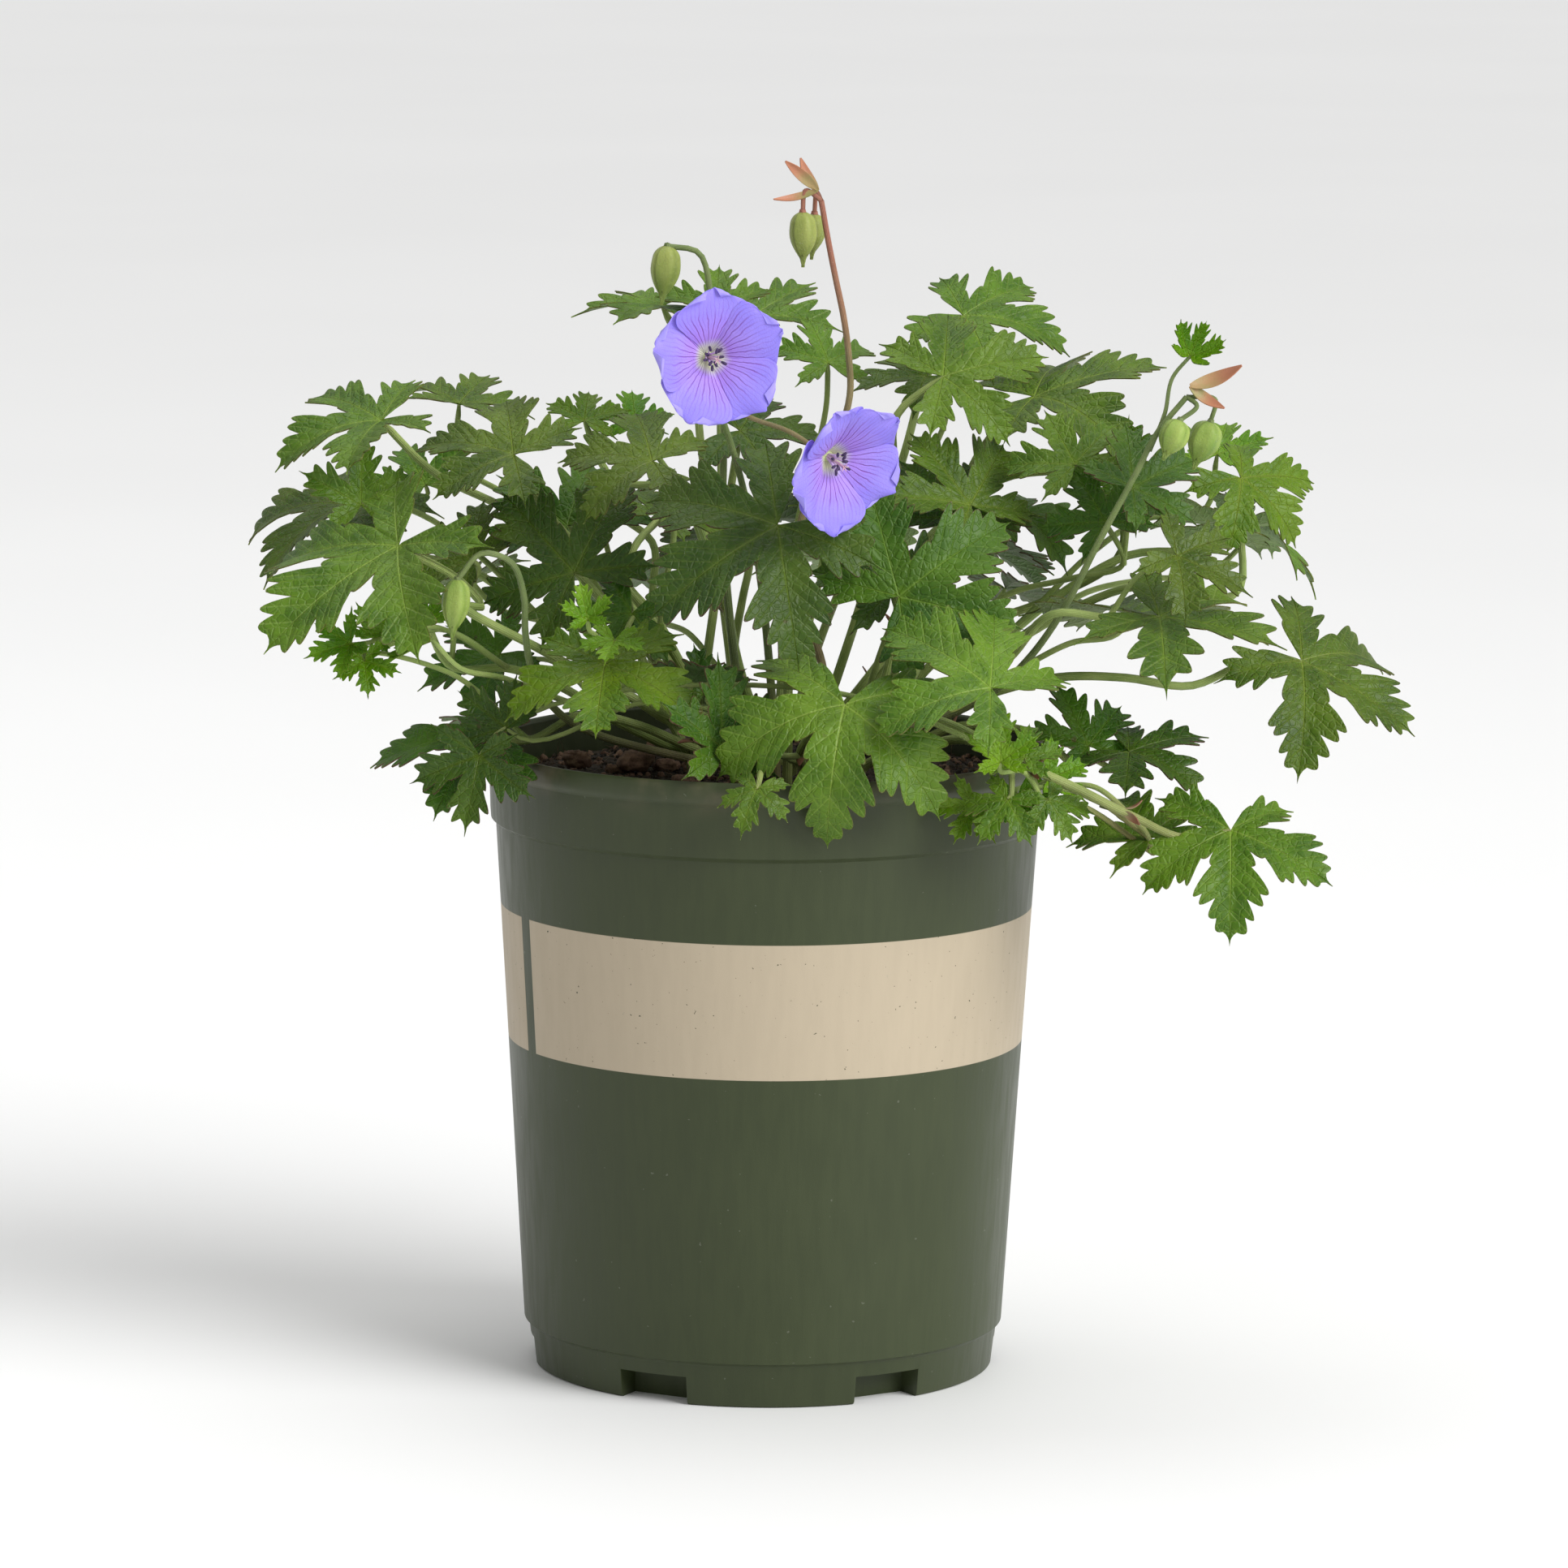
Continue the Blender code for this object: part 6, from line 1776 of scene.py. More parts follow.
@dataclass
class Undergrowth:
    """Smaller leaves among the stems, each on a petiole from a stem that passes near it."""

    foliage: Foliage
    leaves: dict = field(default_factory=lambda: {
        Tone.OLD: (
            Leaf("under_right_high", (109, 261, -8), 27, 20, (0.2, -0.7, 0.7), 35, 12, 2),
            Leaf("under_right_mid", (96, 240, -16), 28, -20, (0.3, -0.65, 0.7), 35, 12, 2),
            Leaf("under_mid_right", (57, 252, 12), 30, 60, (0.1, -0.7, 0.7), 30, 10, 2),
            Leaf("under_mid_left", (-58, 250, 4), 30, 150, (-0.15, -0.7, 0.7), 30, 12, 2),
            Leaf("under_left_low", (-39, 224, -12), 26, -120, (-0.1, -0.75, 0.6), 35, 12, 2),
            Leaf("under_mid_low", (-18, 200, -42), 18, 100, (0.1, -0.85, 0.5), 30, 15, 2),
            Leaf("under_back_mid", (5, 238, 26), 32, 80, (0.0, -0.6, 0.8), 30, 10, 2),
            Leaf("under_back_right", (77, 222, 16), 30, 10, (0.2, -0.6, 0.75), 35, 12, 2),
            Leaf("under_rim_left", (-84, 182, -46), 24, -95, (-0.35, -0.92, 0.15), 20, 20, 2),
            Leaf("under_rim_side", (-76, 190, -56), 20, 150, (-0.3, -0.8, 0.5), 25, 20, 2),
            Leaf("under_back_left", (-78, 212, 8), 28, -160, (-0.2, -0.6, 0.75), 35, 12, 2),
        ),
        Tone.MATURE: (
            Leaf("under_right_end", (122, 241, -22), 25, -30, (0.3, -0.7, 0.6), 35, 14, 2),
            Leaf("under_left_mid", (-86, 240, -16), 26, 160, (-0.3, -0.65, 0.7), 30, 12, 2),
            Leaf("under_left_high", (-100, 262, 0), 24, 120, (-0.2, -0.6, 0.8), 30, 12, 2),
        ),
        Tone.YOUNG: (
            Leaf("young_left_low", (-122, 215, -52), 15, -150, (-0.3, -0.8, 0.5), 20, 30, 2),
            Leaf("young_left_front", (-118, 210, -56), 13, -80, (0.1, -0.9, 0.3), 20, 30, 2),
            Leaf("young_left_up", (-115, 217, -50), 12, 60, (0.2, -0.8, 0.5), 20, 30, 2),
            Leaf("young_rim_left", (62, 167, -66), 15, -120, (-0.1, -0.9, 0.4), 25, 25, 2),
            Leaf("young_rim_top", (70, 180, -68), 16, 95, (0.2, -0.85, 0.5), 15, 30, 2),
            Leaf("young_rim_mid", (75, 170, -74), 15, -75, (0.1, -0.95, 0.3), 25, 30, 2),
            Leaf("young_rim_right", (84, 175, -66), 14, 15, (0.35, -0.8, 0.5), 25, 25, 2),
            Leaf("young_middle", (-52, 222, -66), 12, 100, (0.0, -0.85, 0.5), 10, 35, 2),
        ),
    })
    radii: tuple = (0.90, 0.70)
    room: float = 12.0
    depths: tuple = (0, 6, -6, 12, -12, 18, -18, 26, -26, 34, -34, 44)
    arch: float = 0.15
    points: list = field(default_factory=list)
    faces: list = field(default_factory=list)

    def stand(self, corners: list, faces: list) -> None:
        """Add a mesh to what the next leaves keep clear of."""
        base = len(self.points)
        self.points += corners
        self.faces += [[base + corner for corner in face] for face in faces]

    def settle(self, form: LeafForm) -> Spot:
        """Find a depth at which a leaf is clear of everything, and let it stand there.

        Args:
            form: The leaf's form.

        Returns:
            Where the leaf stands, or None where it has no room.
        """
        tree = BVHTree.FromPolygons(self.points, self.faces)
        across, up, deep = form.leaf.place
        faces = form.fine[-1]
        for depth in self.depths:
            centre = VIEW.world((across, up, deep + depth))
            spot = Spot(centre, form.axes(), 1.0, centre)
            corners = [tuple(point) for point in form.sheet(spot)]
            if not tree.overlap(BVHTree.FromPolygons(corners, faces)):
                self.stand(corners, faces)
                return spot
        LOG.warning("%s has no room", form.leaf.name)
        return None

    def way(self, spot: Spot) -> list:
        """A petiole's path from the nearest stem below a leaf."""
        stations = [point for path in self.foliage.paths for point in path[2:-1]]
        below = [point for point in stations if point.z < spot.centre.z - self.room]
        start = min(below or stations, key=lambda point: (point - spot.centre).length)
        span = spot.centre - start
        middle = start + span * 0.5 + Vector((0.0, 0.0, self.arch * span.length))
        return [start, middle, spot.centre - spot.axes[2] * 2.0 - spot.axes[0] * 1.5, spot.centre]

    def grow(self) -> None:
        """Build the leaves, one piece for each tone."""
        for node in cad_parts.values():
            mesh = node.data
            corners = [vertex.co / MM for vertex in mesh.vertices]
            self.stand(corners, [face.vertices for face in mesh.polygons])
        for tone, leaves in self.leaves.items():
            skin = Skin()
            for form in map(LeafForm, leaves):
                spot = self.settle(form)
                if spot:
                    self.foliage.petiole(skin, self.way(spot), spot, self.radii, form.tone)
                    self.foliage.blade(skin, form, spot)
            seat(skin.build("undergrowth_" + tone.value, self.foliage.dress(tone)), tone.value)


@dataclass
class FlowerStalks:
    """The flower stalks with their pedicels, nodding buds and a curled young leaf."""

    foliage: Foliage
    radius: tuple = (1.40, 0.85)
    pedicel: float = 0.70
    calyx: float = 4.4
    sides: int = 10
    bud_rows: tuple = ((0.0, 0.30), (0.05, 0.60), (0.14, 0.86), (0.30, 0.99), (0.50, 1.0), (0.68, 0.80),
                       (0.82, 0.52), (0.93, 0.26), (1.02, 0.13), (1.10, 0.05))
    bud_segments: int = 40
    bud_swell: float = 0.075
    bud_ribs: int = 5
    knob: tuple = ((0.0, -1.2), (0.91, -0.9), (1.19, 0.3), (0.84, 1.6), (0.0, 1.9))
    calyx_rows: tuple = ((0.0, -4.4), (1.3, -4.2), (2.1, -3.2), (2.3, -2.2), (2.1, -0.9), (1.9, -0.45),
                         (0.0, -0.4))
    sepals: int = 5

    def tube(self, skin: Skin, points: list, radii: tuple, slot: int = 0, steps: int = 6) -> None:
        """Add a stalk that follows a path, with hairs to come."""
        way = smooth_path(points, steps * len(points))
        widths = taper(*radii, len(way))
        add_tube(skin, way, widths, self.sides, slot)
        add_tube(self.foliage.stalks, way, widths, self.foliage.hair_sides, 0)

    def bud(self, skin: Skin, top: tuple, tip: tuple, radius: float) -> None:
        """Add a ribbed bud that hangs from its top, with a swollen joint and a short point.

        Args:
            skin: The mesh to add it to.
            top: Where it hangs from, in the front view.
            tip: Its tip, in the front view.
            radius: Its widest radius.
        """
        start = VIEW.world(top)
        end = VIEW.world(tip)
        length = (end - start).length
        run = (end - start).normalized()
        place = facing(end - start, start)
        rows = smooth_path([(along * length, part * radius, 0.0) for along, part in self.bud_rows], 30)
        profile = [(0.0, 0.0)] + [(row[1], row[0]) for row in rows] + [(0.0, rows[-1][0])]
        for target, slot in ((skin, 1), (self.foliage.stalks, 0)):
            target.add_turned(profile, self.bud_segments, place, slot, self.bud_swell, self.bud_ribs)
        skin.add_turned(self.knob, 14, place)
        for index in range(self.bud_ribs):
            out = (place.to_3x3() @ Vector(round_spot((index + 0.5) / self.bud_ribs))).normalized()
            base = start + run * length * 0.86 + out * radius * 0.42
            add_scale(skin, base, start + run * length * 1.12 + out * 0.5, radius * 0.18, out, 1, rows=5)

    def flower_back(self, skin: Skin, throat: tuple, axis: tuple) -> Vector:
        """Add the green knob behind a bloom, with five sepals spread behind the petals.

        Args:
            skin: The mesh to add it to.
            throat: The bloom's throat, in the front view.
            axis: The way the bloom looks.

        Returns:
            Where its pedicel ends.
        """
        centre = VIEW.world(throat)
        place = facing(axis, centre)
        skin.add_turned(self.calyx_rows, 20, place, 1, 0.06, self.sepals)
        for index in range(self.sepals):
            out = Vector(round_spot((index + 0.5) / self.sepals))
            base = place @ (out * 1.4 + Vector((0.0, 0.0, -2.2)))
            tip = place @ (out * 9.0 + Vector((0.0, 0.0, 0.9)))
            add_scale(skin, base, tip, 1.9, Vector(axis), 1, arch=0.06)
        return centre - unit(axis) * self.calyx * 0.8

    def grow(self, name: str, root: Vector) -> bpy.types.Object:
        """Build one flower stalk in place of its node.

        Args:
            name: The node's name.
            root: Where it stands in the mix.

        Returns:
            The finished piece.
        """
        skin = Skin()
        foot = self.foliage.crown.foot(root)
        points = FLOWER_STALKS[name]
        coarse = smooth_path(foot[1:] + worlds(points), 2 + 2 * len(points))
        self.tube(skin, foot[:1] + coarse, self.radius, steps=4)
        if name == "flower_stalk_front":
            for way, (_, throat, axis, _) in zip(PEDICELS, BLOOMS):
                end = self.flower_back(skin, throat, axis)
                self.tube(skin, worlds(way) + [end], (self.pedicel,) * 2, 4)
        for way, tip, radius in BUD_TWIGS.get(name, ()):
            if len(way) > 1:
                self.tube(skin, worlds(way), (self.pedicel,) * 2)
            self.bud(skin, way[-1], tip, radius)
        for way, leaf in STALK_LEAVES.get(name, ()):
            form = LeafForm(leaf)
            centre = VIEW.world(leaf.place)
            self.tube(skin, worlds(way) + [centre], (self.pedicel, 0.55))
            self.foliage.blade(skin, form, Spot(centre, form.axes(), 1.0, centre), 2)
        stalk = "tall_stalk" if name == "flower_stalk_tall" else "flower_stalk"
        dress = finishes_of(stalk, "bud", (Tone.YOUNG, Side.UPPER), (Tone.YOUNG, Side.UNDER), "tall_stalk")
        return seat(skin.build(name + "_grown", dress), "flower_stalk", name)


@dataclass
class Bloom:
    """An open flower: five broad petals, ten stamens round a style."""

    name: str
    throat: tuple
    axis: tuple
    spin: float
    petals: int = 5
    length: float = 24.0
    rows: int = 24
    columns: int = 15
    profile: tuple = ((0.03, 0.050), (0.12, 0.075), (0.34, 0.205), (0.52, 0.355), (0.70, 0.480), (0.83, 0.485),
                      (0.93, 0.400), (0.985, 0.260), (1.0, 0.120))
    flare: tuple = (math.radians(42.0), math.radians(80.0))
    thickness: float = 0.30
    overlap: float = 1.3
    ruffle: float = 0.55
    eye_rows: tuple = ((0.0, 0.0), (2.2, 0.0), (2.1, 0.7), (1.6, 1.5), (0.0, 1.7))
    anther_rows: tuple = ((0.0, -0.55), (0.38, -0.42), (0.55, 0.0), (0.45, 0.38), (0.0, 0.55))
    stamens: int = 10

    def place(self) -> Matrix:
        """Where the bloom stands."""
        return facing(self.axis, VIEW.world(self.throat))

    def petal(self, skin: Skin, index: int) -> None:
        """Add one petal.

        Args:
            skin: The mesh to add it to.
            index: Its number.
        """
        centre = math.radians(self.spin) + math.tau * index / self.petals
        low, high = self.flare
        rate = (high - low) / self.length
        points, places = [], []
        for place, half, _ in smooth_path([(place, half, 0.0) for place, half in self.profile], self.rows):
            for column in range(self.columns):
                side = 2.0 * column / (self.columns - 1) - 1.0
                run = self.length * (place - 0.14 * side * side * place)
                run += self.length * 0.012 * place ** 4 * math.cos(9.0 * side + index)
                slope = low + rate * run
                radius = (math.cos(low) - math.cos(slope)) / rate
                height = (math.sin(slope) - math.sin(low)) / rate
                width = half * self.length * side
                height += self.overlap * side * min(1.0, place * 1.6)
                height += 0.7 * place ** 3 * math.sin(3.1 * side + 1.3 * index)
                height += self.ruffle * place ** 4 * math.sin(7.0 * side + 2.1 * index)
                height += 0.35 * math.cos(math.tau * side * 1.5) * place * (1.0 - place)
                points.append((radius * math.cos(centre) - width * math.sin(centre),
                               radius * math.sin(centre) + width * math.cos(centre), height))
                places.append((place, side))
        sheet = grid_faces(self.rows, self.columns)
        made, solid, slots = thicken(np.array(points), sheet, self.thickness, 0, 1)
        skin.add(moved(made, self.place()), solid, slots, np.array(places * 2))

    def grow_petals(self) -> bpy.types.Object:
        """Build the petals in place of their node."""
        skin = Skin()
        for index in range(self.petals):
            self.petal(skin, index)
        skin.add_turned(self.eye_rows, 20, self.place(), 2)
        made = skin.build(self.name + "_petals_open", finishes_of("petal", "petal_back", "throat"))
        return seat(made, "petal", self.name + "_petals")

    def grow_stamens(self) -> bpy.types.Object:
        """Build the filaments, anthers and style in place of their node."""
        skin = Skin()
        place = self.place()
        for index in range(self.stamens):
            reach = 2.1 + 0.9 * (index % 2)
            height = 7.7 - 1.1 * (index % 3)
            out = Vector(round_spot(index / self.stamens))
            end = out * reach + Vector((0.0, 0.0, height))
            way = [place @ (out * 0.9 + Vector((0.0, 0.0, 1.8))),
                   place @ (out * (reach * 0.55) + Vector((0.0, 0.0, height * 0.6))), place @ end]
            add_tube(skin, smooth_path(way, 8), taper(0.30, 0.16, 8), 6, 0)
            turn = Matrix.Rotation(math.tau * index / self.stamens, 4, "Z")
            tilt = Matrix.Translation(end) @ turn @ Matrix.Rotation(1.2, 4, "Y")
            skin.add_turned(self.anther_rows, 10, place @ tilt @ Matrix.Diagonal((0.85, 0.85, 1.9, 1.0)), 1)
        style = [place @ Vector(spot) for spot in ((0.0, 0.0, 1.6), (0.1, 0.2, 5.0), (0.1, 0.5, 7.9))]
        add_tube(skin, smooth_path(style, 9), taper(0.55, 0.38, 9), 8, 2)
        for index in range(5):
            way = [place @ (Vector((0.1, 0.5, 0.0)) + Vector(round_spot(index / 5, run, rise)))
                   for run, rise in ((0.05, 7.7), (0.5, 8.8), (1.3, 9.2))]
            add_tube(skin, smooth_path(way, 7), taper(0.26, 0.12, 7), 6, 2)
        made = skin.build(self.name + "_stamens_open", finishes_of("filament", "anther", "style"))
        return seat(made, "stamen", self.name + "_stamens")


@dataclass
class Bracts:
    """The small pointed bracts at the joints of the flower stalks."""

    name: str
    scales: tuple

    def grow(self) -> bpy.types.Object:
        """Build them in place of their node."""
        skin = Skin()
        for base, tip, half, face in self.scales:
            add_scale(skin, VIEW.world(base), VIEW.world(tip), half, Vector(face), 0, rows=12)
        return seat(skin.build(self.name + "_pointed", finishes_of("bract")), "bract", self.name)


def plain_mesh(made: bpy.types.Object) -> None:
    """Turn an object's modifiers into its own mesh."""
    graph = bpy.context.evaluated_depsgraph_get()
    old = made.data
    made.data = bpy.data.meshes.new_from_object(made.evaluated_get(graph), depsgraph=graph)
    made.modifiers.clear()
    bpy.data.meshes.remove(old)
    made.data.name = made.name


class Shape(Enum):
    """What a scattering is made of."""

    HAIR = "hair"
    CRUMB = "crumb"


@dataclass
class Scatter:
    """Small things spread over a surface by a Geometry Nodes tree."""

    shape: Shape
    density: float
    width: float
    spread: float
    seed: int
    length: float = 1.0
    least: tuple = (0.45, 0.45, 0.45)

    def tree(self, inputs: dict) -> bpy.types.NodeTree:
        """Build the tree: points on the faces, one small thing on each, made real and given its material.

        Args:
            inputs: The socket type and the value of each input by name.

        Returns:
            The tree.
        """
        tree = bpy.data.node_groups.new("scatter_" + self.shape.value, "GeometryNodeTree")
        sockets = [("Geometry", "INPUT", "Geometry"), ("Geometry", "OUTPUT", "Geometry")]
        sockets += [(item, "INPUT", kind) for item, (kind, _) in inputs.items()]
        for item, way, kind in sockets:
            tree.interface.new_socket(item, in_out=way, socket_type="NodeSocket" + kind)
        graph = Graph(tree)
        given = graph.node("NodeGroupInput").outputs
        seed = given["Seed"]
        points = graph.node("GeometryNodeDistributePointsOnFaces",
                            {"Mesh": given["Geometry"], "Density": given["Density"], "Seed": seed}).outputs
        if self.shape is Shape.HAIR:
            most = (1.0, 1.0, 1.0)
            thing = graph.node("GeometryNodeMeshCone",
                               {"Vertices": 3, "Radius Bottom": given["Width"], "Depth": given["Length"]})
        else:
            most = (1.6, 1.2, 1.0)
            thing = graph.node("GeometryNodeMeshIcoSphere", {"Radius": given["Width"]})
        low = graph.times(given["Spread"], -1.0)
        lean = graph.node("FunctionNodeRandomValue", {0: low, 1: given["Spread"], "Seed": seed},
                          data_type="FLOAT_VECTOR")
        turn = graph.node("FunctionNodeEulerToRotation", {0: lean.outputs[0]})
        way = graph.node("FunctionNodeRotateRotation", {0: points["Rotation"], 1: turn.outputs[0]},
                         rotation_space="LOCAL")
        size = graph.node("FunctionNodeRandomValue", {0: self.least, 1: most, "Seed": seed},
                          data_type="FLOAT_VECTOR")
        put = graph.node("GeometryNodeInstanceOnPoints", {
            "Points": points["Points"], "Instance": thing.outputs["Mesh"], "Rotation": way.outputs[0],
            "Scale": size.outputs[0]})
        real = graph.node("GeometryNodeRealizeInstances", {0: put.outputs[0]})
        dress = graph.node("GeometryNodeSetMaterial",
                           {"Geometry": real.outputs[0], "Material": given["Material"]})
        graph.node("NodeGroupOutput", {0: dress.outputs[0]})
        return tree

    def strew(self, name: str, source: Skin, finish: str, slot: str) -> bpy.types.Object:
        """Spread the things over a surface.

        Args:
            name: The new piece's name.
            source: The surface.
            finish: The things' finish.
            slot: The record's slot that they take it from.

        Returns:
            The finished piece, as a plain mesh without the surface.
        """
        made = source.build(name, finishes_of(finish))
        inputs = {"Density": ("Float", self.density), "Width": ("Float", self.width * MM),
                  "Spread": ("Float", self.spread), "Seed": ("Int", self.seed),
                  "Material": ("Material", finish_of(finish))}
        if self.shape is Shape.HAIR:
            inputs["Length"] = ("Float", self.length * MM)
        modifier = made.modifiers.new("scatter", "NODES")
        modifier.node_group = self.tree(inputs)
        for item in modifier.node_group.interface.items_tree:
            if item.name in inputs:
                modifier[item.identifier] = inputs[item.name][1]
        plain_mesh(made)
        made.data.shade_smooth()
        return seat(made, slot)


@dataclass
class Pot:
    """The thin-walled nursery pot: stepped rim, rounded lip, pockets at the foot and drain holes."""

    outside: tuple = (
        (68.4, 0.0), (69.1, 0.3), (69.4, 0.9), (70.7, 12.2), (71.3, 13.0), (72.2, 13.7), (72.6, 20.0),
        (76.6, 87.0), (81.4, 165.0), (82.2, 165.7), (82.9, 166.3), (83.1, 169.0), (83.5, 181.6),
        (84.1, 182.3), (84.7, 183.0), (84.9, 184.2), (84.9, 187.0), (84.6, 188.2), (84.0, 188.8), (83.4, 188.8),
        (82.6, 188.4), (82.2, 187.6),
    )
    inside: tuple = (
        (66.5, 2.2), (67.8, 3.4), (69.0, 12.6), (71.0, 20.0), (79.8, 165.2), (81.9, 181.6), (82.2, 187.5),
        (82.3, 195.0),
    )
    wall: float = 1.6
    segments: int = 150
    pockets: int = 6
    first: float = -27.6
    foot: float = 69.2
    pocket_size: tuple = (9.0, 11.0, 8.6)
    drain: float = 4.2
    bevel: float = 0.35

    def solid(self, name: str, profile: tuple) -> bpy.types.Object:
        """A turned solid as an object, closed at its profile's lowest and highest points."""
        skin = Skin()
        skin.add_turned([(0.0, profile[0][1]), *profile, (0.0, profile[-1][1])], self.segments)
        return skin.build(name, [])

    def turn(self, index: int) -> float:
        """The bearing of a pocket, as a part of a full turn."""
        return (self.first - 90.0) / 360.0 + index / self.pockets

    def block(self, index: int, grow: float) -> bpy.types.Object:
        """A block that leaves one of the pockets at the foot.

        Args:
            index: The pocket's number.
            grow: How much bigger it is on each side.

        Returns:
            The block.
        """
        out = Vector(round_spot(self.turn(index)))
        side = Vector(round_spot(self.turn(index) + 0.25))
        deep, half, high = self.pocket_size
        inner = self.foot - deep - grow
        outline = ((inner, -1), (90.0, -1), (90.0, 1), (inner, 1))
        corners = [tuple(out * reach + side * width * (half + grow) + Vector((0.0, 0.0, height)))
                   for height in (-5.0, high + grow) for reach, width in outline]
        faces = [(0, 3, 2, 1), (4, 5, 6, 7), (0, 1, 5, 4), (1, 2, 6, 5), (2, 3, 7, 6), (3, 0, 4, 7)]
        skin = Skin()
        skin.add(np.array(corners), faces)
        return skin.build("cutter", [])

    def drill(self, index: int) -> bpy.types.Object:
        """A rod that leaves one of the drain holes."""
        spot = round_spot(self.turn(index), self.foot - self.pocket_size[0] * 0.52)
        skin = Skin()
        skin.add_turned([(0.0, 5.0), (self.drain, 5.0), (self.drain, 14.0), (0.0, 14.0)], 28,
                        Matrix.Translation(spot))
        return skin.build("drain", [])

    def cut(self, made: bpy.types.Object, cutters: list) -> None:
        """Cut solids out of an object and remove them."""
        for cutter in cutters:
            modifier = made.modifiers.new("cut", "BOOLEAN")
            modifier.operation = "DIFFERENCE"
            modifier.object = cutter
            modifier.solver = "MANIFOLD"
        plain_mesh(made)
        for cutter in cutters:
            mesh = cutter.data
            bpy.data.objects.remove(cutter)
            bpy.data.meshes.remove(mesh)

    def make(self) -> bpy.types.Object:
        """Build the pot in place of its node.

        Returns:
            The finished piece.
        """
        every = range(self.pockets)
        made = self.solid("pot_moulded", self.outside)
        self.cut(made, [self.block(index, 0.0) for index in every])
        hollow = self.solid("hollow", self.inside)
        self.cut(hollow, [self.block(index, self.wall) for index in every])
        self.cut(made, [hollow] + [self.drill(index) for index in every])
        edges = made.modifiers.new("edges", "BEVEL")
        edges.width = self.bevel * MM
        edges.segments = 2
        edges.limit_method = "ANGLE"
        edges.angle_limit = math.radians(50.0)
        plain_mesh(made)
        made.data.materials.clear()
        made.data.materials.append(finish_of("pot"))
        made.data.shade_smooth()
        made.data.set_sharp_from_angle(angle=math.radians(38.0))
        return seat(made, "pot", "pot")


@dataclass
class PottingMix:
    """The mix in the pot: a rough dome with bark lumps, crumbs and fibres on it."""

    level: float = 179.0
    dome: float = 3.0
    radius: float = 80.6
    rings: int = 70
    segments: int = 150
    rough: float = 1.5
    skirt: tuple = ((79.3, 165.2), (71.0, 14.0), (58.0, 12.0), (58.0, 2.6))
    bark_count: int = 6
    bark_reach: float = 62.0
    bark_sizes: tuple = (6.5, 11.5)
    bark_room: float = 3.0
    front_bark: tuple = (((-37.0, 179.5), 14.0), ((-55.0, 179.0), 10.0), ((30.0, 184.0), 9.0))
    stone: tuple = (-27.0, 184.5)
    stone_size: float = 11.0
    proud: float = 3.5

    def height(self, x: float, y: float) -> float:
        """The height of the mix at a place."""
        reach = math.hypot(x, y) / self.radius
        lumps = noise.fractal(Vector((x, y, 0.0)) * 0.11, 0.9, 2.1, 5) * self.rough
        fall = self.dome * max(0.0, reach - 0.6) / 0.4 * reach
        return self.level + 0.4 - fall + lumps * min(1.0, 4.0 - 4.0 * reach)

    def ring(self, reach: float, height: float = None) -> list:
        """Points round the mix, on its dome or at a height of their own."""
        spots = [round_spot(segment / self.segments, reach) for segment in range(self.segments)]
        return [(x, y, self.height(x, y) if height is None else height) for x, y, _ in spots]

    def band(self, first: int, second: int) -> list:
        """The faces between a ring of points and the next one out or down."""
        after = [(segment + 1) % self.segments for segment in range(self.segments)]
        return [(first + one, second + one, second + two, first + two) for one, two in enumerate(after)]

    def dome_shape(self) -> tuple:
        """The dome's points and faces, from its middle out to the wall."""
        points = [(0.0, 0.0, self.height(0.0, 0.0))]
        faces = [(0, 1 + segment, 1 + (segment + 1) % self.segments) for segment in range(self.segments)]
        for ring in range(1, self.rings + 1):
            points += self.ring(self.radius * ring / self.rings)
            if ring > 1:
                faces += self.band(len(points) - 2 * self.segments, len(points) - self.segments)
        return points, faces

    def bed(self) -> bpy.types.Object:
        """Build the mix in place of its node."""
        points, faces = self.dome_shape()
        for radius, height in self.skirt:
            points += self.ring(radius, height)
            faces += self.band(len(points) - 2 * self.segments, len(points) - self.segments)
        faces.append(tuple(range(len(points) - 1, len(points) - self.segments - 1, -1)))
        skin = Skin()
        skin.add(np.array(points), faces)
        return seat(skin.build("potting_mix_bed", finishes_of("mix"), 70.0), "potting_mix", "potting_mix")

    def lump(self, skin: Skin, draw: random.Random, size: float, flat: float, spot: Vector,
             proud: float = 0.0) -> None:
        """Add one rough lump.

        Args:
            skin: The mesh to add it to.
            draw: Where its own shape comes from.
            size: Half its length.
            flat: Its width against its length.
            spot: Where it lies.
            proud: How much higher than the others it lies.
        """
        points, faces, _ = turned([(0.0, -0.55), (1.0, -0.1), (0.66, 0.48), (0.0, 0.62)], 5)
        points = points * np.array([[draw.uniform(0.75, 1.15) for _ in range(3)] for _ in points])
        grow = Matrix.Diagonal((size, size * flat, size * 0.62, 1.0))
        spot.z = self.level + draw.uniform(0.0, 1.5) + proud
        place = Matrix.Translation(spot) @ Matrix.Rotation(draw.uniform(0.0, math.tau), 4, "Z") @ grow
        skin.add(moved(points, place), faces)

    def roughen(self, made: bpy.types.Object, fibre: float) -> bpy.types.Object:
        """Round lumps off and give them a fibrous grain.

        Args:
            made: The lumps.
            fibre: How long the grain runs, as a part of its width.

        Returns:
            The finished piece.
        """
        round_off = made.modifiers.new("round_off", "SUBSURF")
        round_off.levels = round_off.render_levels = 3
        plain_mesh(made)
        for vertex in made.data.vertices:
            spot = vertex.co / MM
            grain = noise.fractal(Vector((spot.x * 0.7, spot.y * fibre, spot.z * 0.9)), 0.8, 2.2, 5)
            vertex.co += vertex.normal * grain * 0.8 * MM
        made.data.shade_smooth()
        return seat(made, "potting_mix")

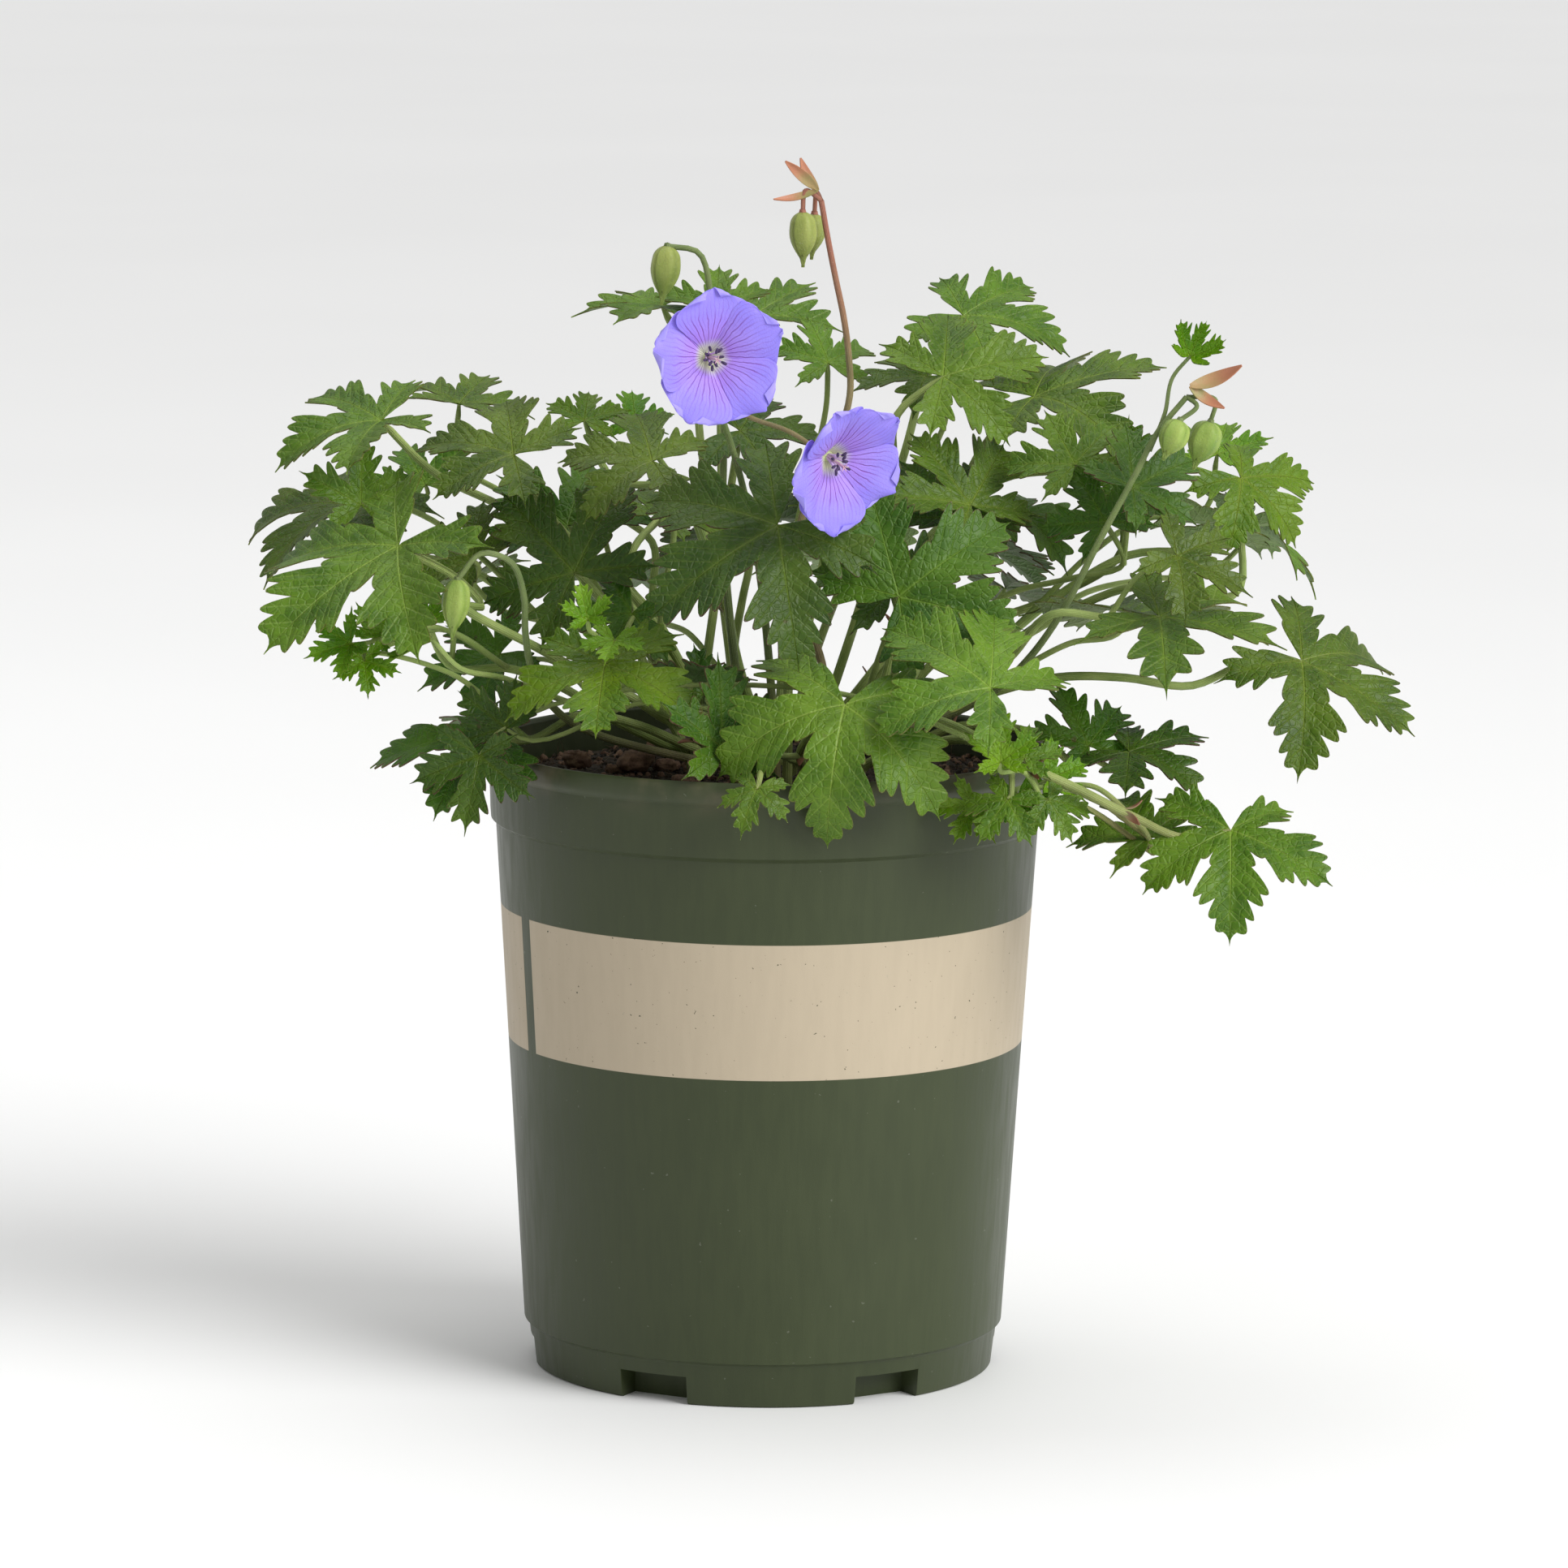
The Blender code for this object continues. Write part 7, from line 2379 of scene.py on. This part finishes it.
    def on_mix(self, across: float, up: float) -> Vector:
        """The point of the mix that the front view shows at a place."""
        return min((VIEW.world((across, up, deep)) for deep in range(-75, 60)),
                   key=lambda point: abs(point.z - self.level - self.dome))

    def bark(self, roots: list) -> None:
        """Build the bark lumps, with those that the front view shows, and a grey stone.

        Args:
            roots: Where the stems stand.
        """
        draw = random.Random("bark")
        skin = Skin()
        count = 0
        while count < self.bark_count:
            turn = draw.uniform(0.0, math.tau) / math.tau
            reach = self.bark_reach * math.sqrt(draw.uniform(0.02, 1.0))
            size = draw.uniform(*self.bark_sizes)
            spot = Vector(round_spot(turn, reach))
            if min((spot - root).length for root in roots) < size + self.bark_room:
                continue
            self.lump(skin, draw, size, draw.uniform(0.5, 0.8), spot)
            count += 1
        for (across, up), size in self.front_bark:
            self.lump(skin, draw, size, 0.6, self.on_mix(across, up), self.proud)
        self.roughen(skin.build("bark_lumps", finishes_of("bark")), 0.2)
        skin = Skin()
        self.lump(skin, draw, self.stone_size, 0.8, self.on_mix(*self.stone), self.proud)
        self.roughen(skin.build("grey_stone", finishes_of("stone")), 0.7)

    def crumbs(self) -> None:
        """Strew dark crumbs and paler fibres over the dome."""
        surface = Skin()
        points, faces = self.dome_shape()
        surface.add(np.array(points), faces)
        for name, finish, scatter in (
                ("mix_crumbs", "mix", Scatter(Shape.CRUMB, 90000.0, 0.9, 3.0, 3)),
                ("bark_crumbs", "bark", Scatter(Shape.CRUMB, 20000.0, 1.5, 3.0, 5)),
                ("mix_fibres", "bark", Scatter(Shape.HAIR, 9000.0, 0.22, 1.45, 8, 7.0))):
            scatter.strew(name, surface, finish, "potting_mix")


@dataclass(frozen=True)
class Studio:
    """The plain pale floor and the soft light."""

    floor_size: float = 60.0
    floor: tuple = (0.93, 0.93, 0.925)
    world: float = 0.46
    sun: float = 2.4
    sun_from: tuple = (1.4, -0.9, 1.35)
    sun_angle: float = 0.7
    lamps: tuple = (
        ("key", (1.5, -1.6, 1.5), 1.2, 15.0),
        ("fill", (-1.7, -1.5, 1.3), 1.8, 3.0),
        ("top", (-0.2, 0.6, 2.2), 1.4, 12.0),
    )

    def aim(self, data: bpy.types.Light, place: tuple) -> None:
        """Set a lamp at a place, turned to the plant."""
        lamp = bpy.data.objects.new(data.name, data)
        bpy.context.scene.collection.objects.link(lamp)
        way = Vector((0.0, 0.0, 0.2)) - Vector(place)
        lamp.matrix_world = Matrix.Translation(place) @ way.to_track_quat("-Z", "Y").to_matrix().to_4x4()

    def build(self) -> None:
        """Set the floor, the lamps, the world and the camera."""
        half = self.floor_size * 0.5 / MM
        skin = Skin()
        skin.add(np.array([(x * half, y * half, 0.0) for x, y in ((-1, -1), (1, -1), (1, 1), (-1, 1))]),
                 [(0, 1, 2, 3)])
        dress = Dress("pale_floor", 0.6)
        shade = dress.span(dress.noise(2.0), 0.3, 0.7)
        dress.paint(shade, tuple(part * 0.985 for part in self.floor), self.floor)
        skin.build("floor", [dress.material])
        sun = bpy.data.lights.new("soft_sun", "SUN")
        sun.energy = self.sun
        sun.angle = self.sun_angle
        self.aim(sun, self.sun_from)
        for name, place, size, power in self.lamps:
            light = bpy.data.lights.new(name, "AREA")
            light.energy = power
            light.size = size
            self.aim(light, place)
        world = bpy.data.worlds.new("soft_white")
        world.use_nodes = True
        sky = world.node_tree.nodes["Background"]
        sky.inputs["Color"].default_value = (1.0, 1.0, 1.0, 1.0)
        sky.inputs["Strength"].default_value = self.world
        bpy.context.scene.world = world
        bpy.context.scene.view_settings.view_transform = "Standard"
        VIEW.make_camera()


def main() -> None:
    """Build every piece round the frame, in order."""
    logging.basicConfig(level=logging.INFO, format="%(name)s: %(message)s")
    Studio().build()
    Pot().make()
    crown = Crown()
    stems = STEMS + crown.back_stems()
    roots = crown.roots(stems)
    mix = PottingMix()
    mix.bed()
    mix.bark(list(roots.values()))
    mix.crumbs()
    foliage = Foliage(crown)
    for stem in stems:
        foliage.grow(stem, roots[stem.name])
    Undergrowth(foliage).grow()
    flowers = FlowerStalks(foliage)
    for name in FLOWER_STALKS:
        flowers.grow(name, roots[name])
    for row in BLOOMS:
        bloom = Bloom(*row)
        bloom.grow_petals()
        bloom.grow_stamens()
    for name, scales in BRACTS.items():
        Bracts(name, scales).grow()
    hairs = Scatter(Shape.HAIR, 650000.0, 0.035, 0.6, 11, 0.75)
    hairs.strew("stalk_hairs", foliage.stalks, "hair", "flower_stalk")
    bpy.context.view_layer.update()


if __name__ == "__main__":
    main()
